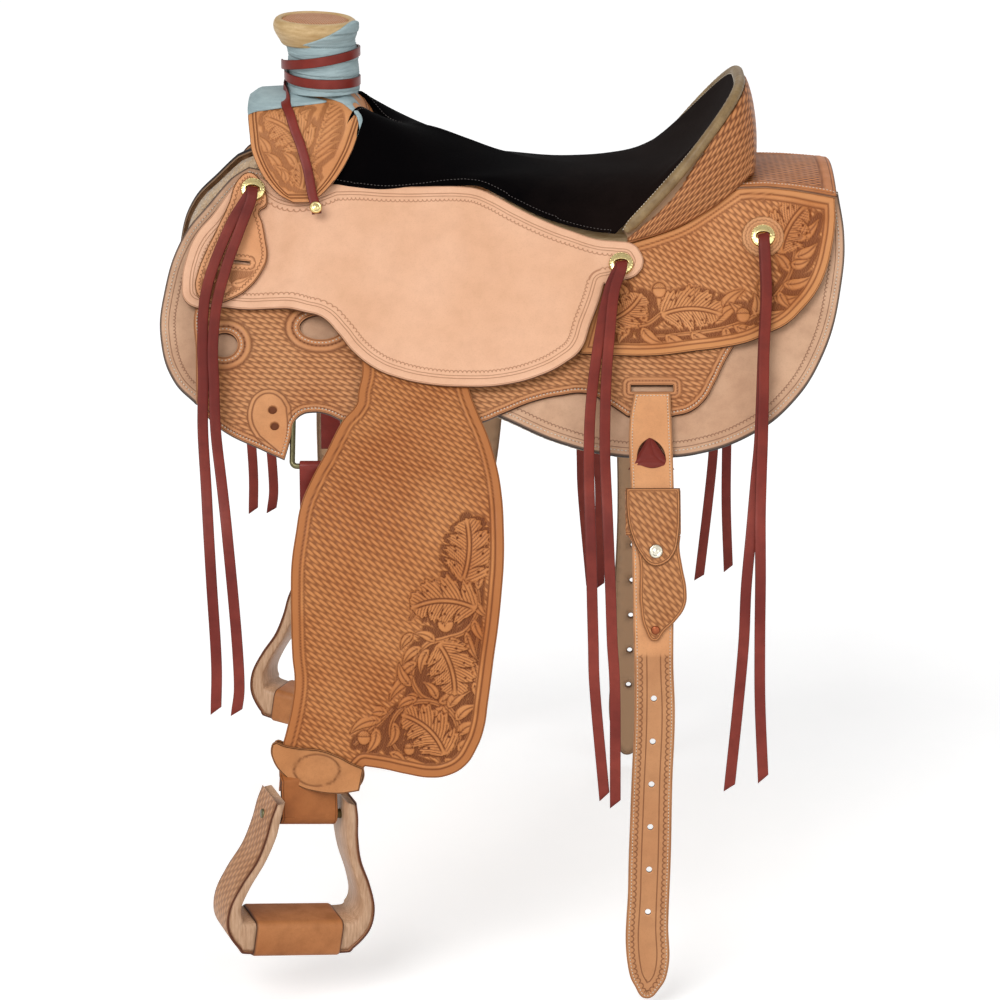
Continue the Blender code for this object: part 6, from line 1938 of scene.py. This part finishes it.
def make_horn():
    upright = Matrix.Translation((HORN_X * MM, 0, 0))
    tip = upright @ Matrix.Translation((0, 0, CAP_HEIGHT * MM)) @ Matrix.Rotation(math.radians(2), 4, "Y")
    cap = [(0, -5), (33, -5), (34.6, -2), (34.8, 2.6), (34.2, 4.2), (32.4, 5.3), (28, 6.0), (20, 6.6),
           (10, 6.9), (0, 7)]
    disc = turned("horn_cap_tooling", cap, CAP_LEATHER, tip, 64)
    give_flat_map(disc, tip)
    finish_piece(disc, "saddle", "horn_cap_leather", slot="tooled_leather")
    rim = [(34.9, -4), (34.9, 3.2), (35.6, 5.4), (37.4, 6.5), (39.6, 6.3), (41.8, 4.8), (43.4, 2.0),
           (43.9, -1.2),
           (43.2, -4.6), (41.2, -8.0), (39.0, -11.2), (37.0, -14.2), (35.6, -17.0), (34.2, -18.6),
           (33.4, -16.5), (33.4, -7.5), (34.9, -4)]
    ring = turned("horn_rim_rawhide", rim, RAWHIDE, tip, 72)
    back = tip.inverted()
    for vertex in ring.data.vertices:
        here = back @ vertex.co
        turn = math.atan2(here.y, here.x)
        swell = 0.7 * math.sin(3 * turn + 0.5) + 0.4 * math.sin(7 * turn + here.z * 300)
        here.z -= (1.2 - 1.2 * math.cos(turn)) * MM * float(ease(-here.z / MM, -4, 12))
        here.x, here.y = here.x * (1 + swell * 0.006), here.y * (1 + swell * 0.006)
        vertex.co = tip @ here
    finish_piece(ring, "saddle", "horn_rim_binding", slot="rawhide")
    make_horn_wrap()
    make_apron()
    make_horn_strap()


def give_flat_map(piece, matrix):
    """A flat map over a turned piece, looking down its axis."""
    mesh = piece.data
    back = np.array(matrix.inverted())
    points = np.array([v.co for v in mesh.vertices]) @ back[:3, :3].T + back[:3, 3]
    index = np.array([loop.vertex_index for loop in mesh.loops])
    layer = mesh.uv_layers.new(name="flat")
    layer.data.foreach_set("uv", points[index, :2].astype(np.float32).ravel())
    border = mesh.uv_layers.new(name="border")
    away = np.linalg.norm(points[:, :2], axis=1)
    border.data.foreach_set("uv",
                            np.column_stack((0 * away, 0.035 - away))[index].astype(np.float32).ravel())
    weave = mesh.attributes.new("weave", "FLOAT", "POINT")
    weave.data.foreach_set("value", (away < 0.0325).astype(np.float32))


def neck_shift(z):
    """How far back the wrapped neck stands from the cap's middle, in millimetres."""
    return 8.0 * ease(z, 200, 172)


def make_horn_wrap():
    """Soft blue-grey hide wound round the neck; its last turn climbs over the cap's rear side."""
    steps, rows = 144, 70
    angle = np.linspace(0, 2 * math.pi, steps, endpoint=False)
    rear = 0.5 + 0.5 * np.cos(angle + 0.35)
    low_z = np.full(steps, 133.5)
    top_z = 186.5 + 23.5 * rear**3.4
    profile = np.array([(130, 38.6), (137, 36.8), (143, 37.2), (152, 36.6), (162, 36.2), (176, 35.6),
                        (184, 35.8),
                        (188, 37.6), (194, 42.2), (200, 44.6), (206, 45.0), (210, 44.0)], float)
    k = np.linspace(0, 1, rows)[:, None]
    height = low_z + (top_z - low_z) * k
    radius = np.interp(height, profile[:, 0], profile[:, 1])
    turn = angle[None, :] / (2 * math.pi)
    pitch = 15.5
    wind = ((height - 134.5) / pitch + turn * 1.0) % 1.0
    radius = radius + 1.3 * ease(wind, 0.0, 0.07) * (1 - 0.75 * wind)
    crease = np.sin(height * 1.9 + 3 * np.sin(2 * angle) + 1.3 * angle)
    radius += 0.3 * crease * np.sin(angle * 4 + height * 0.21)
    radius += 0.22 * np.sin(height * 3.7 - 4 * angle)
    radius = radius - 1.0 * ease(k, 0.985, 1.0)
    outer = np.stack((radius * np.cos(angle), radius * np.sin(angle), height + 0 * angle), -1)
    inner_radius = np.interp(height, profile[:, 0], profile[:, 1]) - 2.6
    inner = np.stack((inner_radius * np.cos(angle), inner_radius * np.sin(angle), height + 0 * angle), -1)
    ring = np.concatenate((outer, inner[[-1, 2 * rows // 3, rows // 3, 0]]))
    ring[..., 0] += HORN_X + neck_shift(ring[..., 2])
    tilt = (ring[..., 0] - HORN_X) * math.tan(math.radians(-2)) * ease(ring[..., 2], 184, 196)
    ring[..., 2] += tilt
    points = ring.reshape(-1, 3) * MM
    faces = tube_faces(len(ring), steps, ring=True)
    seam = np.zeros((len(ring), steps))
    # Painted shade along the step where each turn lies over the last
    seam[:rows] = 0.5 * bead(wind, 0.02, 0.035) + 0.5 * bead(wind, 0.995, 0.02)
    piece = put_mesh("horn_wrap_hide", points, faces, BLUE_HIDE, None,
                     {"tone": np.clip(seam, 0, 1).ravel()})
    finish_piece(piece, "saddle", "horn_wrap", slot="horn_wrap")


def make_apron():
    """The wrap's tails, laid over the shoulders of the fork in front and down behind the horn."""
    def tail(name, knots):
        knots = np.asarray(knots, float)
        t = np.linspace(0, len(knots) - 1, 40)
        rows = smooth(np.column_stack((np.arange(len(knots)), knots)), t)
        arcs, low, high = rows[:, 0], rows[:, 1], rows[:, 2]
        share = np.linspace(0, 1, 15)
        arc = np.repeat(arcs[:, None], 15, 1)
        x = low[:, None] + (high - low)[:, None] * share
        at = smooth(FORK_ROWS, np.abs(arc))
        part = np.clip((x - at[..., 2]) / (at[..., 3] - at[..., 2]), 0, 1)
        past = np.minimum(x - at[..., 2], 0)
        swell = 1.6 * (1 - (2 * share - 1) ** 6)
        top = fork_place(arc, part, -0.5 - swell)
        top[..., 0] += past
        low_face = fork_place(arc, part, -0.2)
        low_face[..., 0] += past
        return closed_grid(name, top, low_face, BLUE_HIDE)

    half = [(0, -263, -218), (16, -263, -208), (28, -263, -192), (34, -263, -181), (38, -263, -184),
            (42, -262.8, -204),
            (46, -262.5, -228), (49.5, -261.5, -250)]
    front = tail("apron_front", [(-a, b, c) for a, b, c in half[:0:-1]] + half)
    behind = [(14, -200, -146), (26, -186, -152), (36, -168, -153), (46, -156, -147), (56, -149, -143),
              (66, -146.5, -142), (78, -145, -143)]
    near = tail("apron_near", behind)
    off = tail("apron_off", [(-a, b, c) for a, b, c in behind])
    piece = joined("horn_wrap_apron", [front, near, off])
    finish_piece(piece, "saddle", slot="horn_wrap")


STRAP_HEIGHTS = [(0.0, 142.5), (0.5, 146.5), (1.0, 154.0), (1.5, 176.0), (2.0, 161.0)]
STRAP_HANG = [(-189, 9.4), (-190.5, 8.5), (-194, 7.2), (-199, 5.8), (-206, 4.8), (-213, 3.9), (-218, 3.1),
              (-222.5, 2.4)]
STRAP_CLEAR = 3.0


def fork_face(x, station, off):
    """A place off the near face of the fork, at a station along its contour, in millimetres."""
    i = min(int(station), len(FORK_OUTER) - 2)
    one, two = (np.array(p, float) for p in FORK_OUTER[i:i + 2])
    here = one + (two - one) * (station - i)
    away = unit(np.array((-(two - one)[1], (two - one)[0]))) * off
    return np.array((x, -(here[0] + away[0]), here[1] + away[1]))


def make_horn_strap():
    low = np.array([fork_face(x, station, STRAP_CLEAR) for x, station in STRAP_HANG])
    path = list(low)
    outward = [fork_face(x, station, 2 * STRAP_CLEAR) - p for (x, station), p in zip(STRAP_HANG, low)]
    middle = HORN_X + 7.0
    for turn, height in ((-0.065, 134.2), (-0.03, 137.6)):
        a = 2 * math.pi * turn
        path.append((middle - 40.3 * math.cos(a), 40.3 * math.sin(a), height))
        outward.append((-math.cos(a), math.sin(a), 0))
    for turn in np.linspace(0, 2, 97):
        radius = 39.0 + 3.0 * float(ease(turn, 1.62, 1.9))
        a = 2 * math.pi * turn
        height = float(smooth(STRAP_HEIGHTS, turn)) - 2.5 * float(ease(turn, 2.0, 0.9))
        path.append((middle - radius * math.cos(a), radius * math.sin(a), height))
        outward.append((-math.cos(a), math.sin(a), 0))
    path, outward = np.array(path), unit(np.array(outward, float))
    lengths = lengths_along(path)
    even = np.linspace(0, lengths[-1], 260)
    knots = np.column_stack((lengths, path, outward))
    fine = smooth(knots, even)
    path, outward = fine[:, :3], unit(fine[:, 3:])
    run = unit(np.gradient(path, axis=0))
    across = unit(np.cross(run, outward))
    normal = unit(np.cross(across, run))
    piece = swept("horn_strap_leather", path * MM, across, normal, 10 * MM, 2.2 * MM, LATIGO_LEATHER)
    finish_piece(piece, "saddle", "horn_wrap_strap", slot="latigo_leather")
    stud = [(0, 0), (6.4, 0), (6.5, 1.0), (6.1, 2.2), (5.2, 3.0), (4.6, 3.1), (4.3, 2.7), (3.4, 2.9),
            (2.0, 3.7), (0, 4.2)]
    at = Vector(fork_face(-190, 8.8, STRAP_CLEAR + 2.6) * MM)
    stand = Matrix.Translation(at) @ side_matrix(-191, 20, 30, -1).to_3x3().to_4x4()
    piece = turned("horn_strap_button", stud, BRASS, stand, 40)
    finish_piece(piece, "saddle", "horn_strap_stud", slot="brass")


# ---- the seat and the cantle


SEAT_CENTRE = [
    (0, -103, 100), (0.1, -68, 93.5), (0.2, -35, 81.5), (0.3, -3, 69.5), (0.4, 33, 60), (0.5, 70, 55.5),
    (0.6, 106, 54.5), (0.7, 143, 58.5), (0.8, 180, 70), (0.88, 210, 92), (0.94, 230, 118.5),
    (1, 244, 145),
]
SEAT_SEAM = [
    (0, -178, 3), (0.1, -150, 5), (0.2, -120, 5), (0.3, -88, -1), (0.4, -55, -9), (0.5, -24, -9),
    (0.6, 8, 9), (0.7, 42, 29), (0.8, 74, 42), (0.9, 100, 50), (1, 119, 53),
]
SEAM_T = 28.0
SEAT_THICK = 8.0
SEAT_SEW = 5.0


def seat_place(u, v):
    """The seat's upper face in millimetres: u runs across from -1 to 1, v from front to rear."""
    u, v = np.broadcast_arrays(np.asarray(u, float), np.asarray(v, float))
    a = np.abs(u)
    side = np.where(u > 0, 1.0, -1.0)
    centre = smooth(SEAT_CENTRE, v)
    edge = smooth(SEAT_SEAM, v)
    seam = on_side(edge[..., 0], edge[..., 1], SEAM_T, 1) / MM
    forward = a ** (0.65 * (3.3 / 0.65) ** v)
    fall = a ** (2.2 + 0.9 * v)
    spread = a * (1.25 - 0.25 * a * a)
    ear = 33 * np.sin(math.pi * np.minimum(a * 1.02, 1.0)) ** 2 * np.maximum(0, 1 - v / 0.26) ** 2
    x = centre[..., 0] + (seam[..., 0] - centre[..., 0]) * forward
    z = centre[..., 1] + (seam[..., 2] - centre[..., 1]) * fall + ear
    return np.stack((x, side * np.abs(seam[..., 1]) * spread, z), -1)


def grid_normals(points):
    across = np.gradient(points, axis=1)
    along = np.gradient(points, axis=0)
    normal = unit(np.cross(along, across))
    return np.where(normal[..., 2:] < 0, -normal, normal)


def make_seat():
    """Suede stretched over the ground seat, with a padded crown, a rolled seam and stitching along it."""
    count = 140
    u, v = np.meshgrid(np.sin(np.linspace(-1, 1, count) * math.pi / 2) * 0.35 + np.linspace(-1, 1,
                                                                                            count) * 0.65,
                       np.linspace(0, 1, count))
    top = seat_place(u, v)
    normal = grid_normals(top)
    long = np.linalg.norm(np.gradient(top, axis=1), axis=2)
    from_side = np.minimum(np.cumsum(long, 1), np.cumsum(long[:, ::-1], 1)[:, ::-1])
    deep = np.linalg.norm(np.gradient(top, axis=0), axis=2)
    from_front = np.cumsum(deep, 0)
    from_rear = np.cumsum(deep[::-1], 0)[::-1]
    inward = np.minimum(np.minimum(from_side, from_front), from_rear + 8)
    seam = bead(np.minimum(from_side, from_front), SEAT_SEW, 1.5)
    crown = 1.2 * ease(inward, 4, 26) - 2.6 * ease(inward, 3.0, 0.0)
    wave = 0.35 * np.sin(top[..., 0] / 17 + top[..., 1] / 29) * np.sin(top[..., 1] / 23)
    top = top + normal * (crown - 0.7 * seam + wave * ease(inward, 8, 30) - 0.6)[..., None]
    bottom = seat_place(u, v) - normal * SEAT_THICK
    # tone: painted shade in the sunk seam
    piece = closed_grid("seat_suede", top, bottom, BLACK_SUEDE, attributes={"tone": 0.6 * seam})
    finish_piece(piece, "saddle", "seat_pad", slot="seat_suede")
    raised = (top + normal * 0.35) * MM
    lines = []
    for way in (1, -1):
        line = []
        for j in range(count):
            i = int(np.searchsorted(from_side[j, ::way][:count // 2], SEAT_SEW))
            i = i if way == 1 else count - 1 - i
            if from_front[j, i] > SEAT_SEW and v[j, i] < 0.97:
                line.append(raised[j, i])
        lines.append(line)
    front = [(int(np.searchsorted(from_front[:, i], SEAT_SEW)), i) for i in range(count)]
    lines.append([raised[at] for at in front if from_side[at] > SEAT_SEW])
    sew("seat_stitching", "saddle", "seat_suede", lines, 3.6, 2.4, 0.7, SEAT_THREAD)


BACK_KNOTS = [(0.3, 257, 2, 16.5), (0.5, 244, 11, 18), (0.65, 217, 27, 18), (0.8, 178, 44, 18),
              (1.0, 128, 57.5, 18)]
BACK_RIDGE = (263.0, 49.0)


def rim_place(u, outset, fall):
    """A place off the cantle's rim in millimetres: outset goes past the seat's edge, fall goes behind it."""
    u = np.asarray(u, float)
    here = seat_place(u, 1.0)
    rim = unit(seat_place(np.minimum(u + 0.02, 1), 1.0) - seat_place(np.maximum(u - 0.02, -1), 1.0))
    outward = here - seat_place(u, 0.975)
    outward = unit(outward - rim * np.sum(outward * rim, -1, keepdims=True))
    along = seat_place(u, 0.999) - seat_place(u, 0.991)
    normal = unit(np.cross(along, rim))
    normal = np.where(normal[..., 2:] < 0, -normal, normal)
    return here + outward * np.asarray(outset)[..., None] - normal * np.asarray(fall)[...,
                                                                                      None], outward, normal


def back_bottom(u):
    a = np.abs(u)
    side = np.where(u > 0, 1.0, -1.0)
    at = smooth(BACK_KNOTS, np.maximum(a, 0.3))
    low = on_side(at[..., 0], at[..., 1], at[..., 2], 1) / MM
    edge = on_side(*BACK_KNOTS[0][1:], 1) / MM
    k = np.minimum(a / 0.3, 1)
    middle = np.stack((BACK_RIDGE[0] + (edge[0] - BACK_RIDGE[0]) * k * k, edge[1] * k,
                       BACK_RIDGE[1] + (edge[2] - BACK_RIDGE[1]) * k * k), -1)
    low = np.where((a < 0.3)[..., None], middle, low)
    return low * np.stack((np.ones_like(a), side, np.ones_like(a)), -1)


def back_place(u, w):
    """The cantle's back in millimetres: w runs from the rim down to the rear jockeys."""
    u, w = np.broadcast_arrays(u, w)
    top = rim_place(u, 3.2 + 0 * u, SEAT_THICK + 1.8 + 2.2 * ease(np.abs(u), 0.8, 1))[0]
    low = back_bottom(u)
    here = top + (low - top) * w[..., None]
    swell = 9 * np.sin(math.pi * w) ** 0.6 * (1 - 0.6 * np.abs(u))
    lean = np.stack((0.75 + 0 * u, np.copysign(0.6, u) * np.minimum(1, 2 * np.abs(u)), 0.25 + 0 * u), -1)
    return here + lean * swell[..., None]


def make_cantle():
    make_cantle_binding()
    us = np.linspace(-0.99, 0.99, 160)
    w, u = np.meshgrid(np.linspace(0, 1, 36), us, indexing="ij")
    face = back_place(u, w)
    across, along = np.gradient(face, axis=1), np.gradient(face, axis=0)
    normal = unit(np.cross(along, across))
    normal = np.where(np.sum(normal * (1, 0, 0.2), -1, keepdims=True) < 0, -normal, normal)
    step = np.linalg.norm(across, axis=2)
    middle = np.cumsum(step[6]) - np.cumsum(step[6])[len(us) // 2]
    down = np.cumsum(np.linalg.norm(along, axis=2), 0)
    flat = np.column_stack((np.broadcast_to(middle, down.shape).ravel(), down.ravel()))
    left = np.minimum(down, (down[-1] - down))
    border = np.column_stack((flat[:, 0], left.ravel()))
    weave = ease(left, 1.0, 2.5)
    top = face + normal * (3.5 - 1.2 * ease(down, 3.0, 0.0))[..., None]
    piece = closed_grid("cantle_back_leather", top, face, BACK_LEATHER, flat, border,
                        {"tone": 0.5 * ease(left, 2.0, 0.0), "weave": weave, "edge": 0 * u})
    finish_piece(piece, "saddle", "cantle_back_cover", slot="tooled_leather")


def make_cantle_binding():
    """Rawhide folded over the rim and sewn through close to its inner edge."""
    us = np.linspace(-0.985, 0.985, 220)
    centre, outward, normal = rim_place(us, np.full(len(us), 5.2), np.full(len(us), SEAT_THICK / 2))
    long = lengths_along(centre)
    around = 28
    angle = np.linspace(0, 2 * math.pi, around, endpoint=False)
    run = long[:, None]
    wrinkle = 0.18 * np.sin(run * 0.9 + 2 * np.sin(run * 0.13)) * np.cos(angle * 2 + run * 0.05)
    radius = 5.9 + 0.5 * np.cos(2 * angle) + wrinkle
    ends = np.minimum(long, long[-1] - long)
    taper = 0.55 + 0.45 * ease(ends, 0, 10)
    radius = radius * taper[:, None]
    points = centre[:, None] + outward[:, None] * (radius * np.cos(angle))[..., None]
    points = points + normal[:, None] * (radius * np.sin(angle))[..., None]
    piece = put_mesh("cantle_rim_rawhide", points.reshape(-1, 3) * MM,
                     tube_faces(len(us), around, fans=True),
                     CANTLE_RAWHIDE)
    finish_piece(piece, "saddle", "cantle_binding", slot="rawhide")
    seam = centre - outward * 4.6 * taper[:, None] + normal * 3.9 * taper[:, None]
    sew("cantle_stitching", "saddle", "rawhide", [seam * MM], 3.4, 2.5, 0.9)


def make_rear_housing():
    edges = np.array([(252, 10.5), (276, 13), (301, 18), (324, 23.5), (348, 29.5)])
    f, u = np.meshgrid(np.linspace(0, 1, 50), np.linspace(-1, 1, 100), indexing="ij")
    start = 263 - 24 * u * u
    x = start + (349 - start) * f
    s = np.interp(x, edges[:, 0], edges[:, 1]) + 3.5
    edge = on_side(x, s, 18.0, 1) / MM
    ridge = 48 + 4 * f
    low = np.stack((x, edge[..., 1] * u, ridge + (edge[..., 2] - ridge) * u * u), -1)
    normal = grid_normals(low)
    flat_u = edge[..., 1] * u * 1.12
    across = np.abs(edge[..., 1]) * 1.12 * (1 - np.abs(u))
    inward = np.minimum(across, 349 - x)
    flat = np.column_stack((x.ravel(), flat_u.ravel()))
    border = np.column_stack((x.ravel(), inward.ravel()))
    relief = 1.1 * bead(inward, 9.0, 3.0) - 0.5 * bead(inward, 14.0, 1.5)
    top = low + normal * (3.0 + relief - 1.6 * ease(inward, 1.6, 0.0))[..., None]
    # tone: the groove inside the raised border darkened, stain with painted shade
    piece = closed_grid("rear_housing_leather", top, low, HOUSING_LEATHER, flat, border, {
        "tone": 0.8 * bead(inward, 14.0, 1.5), "weave": ease(inward, 15, 17),
        "edge": (inward < 0.4).astype(float)})
    finish_piece(piece, "saddle", "rear_housing", slot="tooled_leather")
    sew("rear_housing_stitching", "saddle", "tooled_leather", [top[:, i] * MM for i in (4, -5)], 3.6, 2.8,
        1.0)


# ---- camera, light and floor


def set_camera():
    data = bpy.data.cameras.new("camera")
    data.lens = LENS
    data.sensor_width = 36
    data.clip_start, data.clip_end = 0.05, 60
    holder = put_object("camera", data)
    back = Vector((0, -math.cos(CAMERA_HEIGHT), math.sin(CAMERA_HEIGHT)))
    holder.location = LOOK_AT + back * CAMERA_DISTANCE
    holder.rotation_euler = (math.pi / 2 - CAMERA_HEIGHT, 0, 0)
    bpy.context.scene.camera = holder


def soft_lamp(name, where, size, power):
    data = bpy.data.lights.new(name, "AREA")
    data.shape, data.size, data.energy = "SQUARE", size, power
    holder = put_object(name, data)
    holder.location = where
    holder.rotation_euler = (LAMPS_AT - Vector(where)).to_track_quat("-Z", "Y").to_euler()


def seen_by(tree, *rays):
    """For each kind of ray, a signal that is 1 on such rays and 0 on others."""
    path = node(tree, "ShaderNodeLightPath")
    return [Signal(tree, path.outputs["Is %s Ray" % ray]) for ray in rays]


def set_studio():
    """A white room: the camera sees it bright, and the saddle is lit by less."""
    world = bpy.data.worlds.new("studio")
    bpy.context.scene.world = world
    world.use_nodes = True
    tree = world.node_tree
    ground = tree.nodes["Background"]
    camera, clear, mirror = seen_by(tree, "Camera", "Transmission", "Glossy")
    seen = camera.maths("MAXIMUM", clear).maths("MAXIMUM", mirror * 0.4)
    ground.inputs["Color"].default_value = (1, 1, 1, 1)
    tree.links.new(seen.ramp(0.0, 1.0, 0.40, 1.0).socket, ground.inputs["Strength"])
    data = bpy.data.lights.new("key", "SUN")
    data.energy = 1.45
    data.angle = math.radians(34)
    put_object("key", data).rotation_euler = Vector((1.5, 2.8, -2.6)).to_track_quat("-Z", "Y").to_euler()
    soft_lamp("fill", (2.4, -2.8, 1.2), 2.4, 24)
    soft_lamp("low_front", (0.0, -3.2, -0.2), 2.0, 12)
    soft_lamp("back", (0.6, 2.8, 2.4), 2.2, 14)
    mesh = bpy.data.meshes.new("floor")
    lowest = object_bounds()[0].z - 0.012
    corners = [(-FLOOR_REACH, -FLOOR_REACH), (FLOOR_REACH, -FLOOR_REACH), (FLOOR_REACH, FLOOR_REACH),
               (-FLOOR_REACH, FLOOR_REACH)]
    mesh.from_pydata([(*corner, lowest) for corner in corners], [], [(0, 1, 2, 3)])
    floor = put_object("floor", mesh)
    paper = Finish("floor_paper", 0.95, Specular_IOR_Level=0.0, Emission_Color=(1, 1, 1, 1))
    camera, mirror, clear = seen_by(paper.tree, "Camera", "Glossy", "Transmission")
    paper.join("Emission Strength", camera.maths("MAXIMUM", mirror).maths("MAXIMUM", clear) * 0.44)
    shade = mixed(paper.noise(30.0, 2.0), (0.84, 0.84, 0.84, 1), (0.88, 0.88, 0.88, 1))
    mesh.materials.append(paper.done(shade))


def finish_cad_nodes():
    """The pieces of the tree that stay as they were packed are given wood and leather finishes."""
    for name in ("tree_fork", "tree_cantle", "horn_post", "tree_bar_near", "tree_bar_off", "ground_seat"):
        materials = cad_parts[name].data.materials
        materials.clear()
        materials.append(GROUND_LEATHER if name == "ground_seat" else TREE_WOOD)


set_camera()
make_strings()
make_skirts()
make_rigging()
make_jockeys()
make_strap_keepers()
make_fenders()
make_stirrups()
make_billets()
make_dees()
make_conchos()
make_fork_cover()
make_horn()
make_seat()
make_cantle()
make_rear_housing()
finish_cad_nodes()
set_studio()

bpy.context.scene.view_settings.view_transform = "Standard"
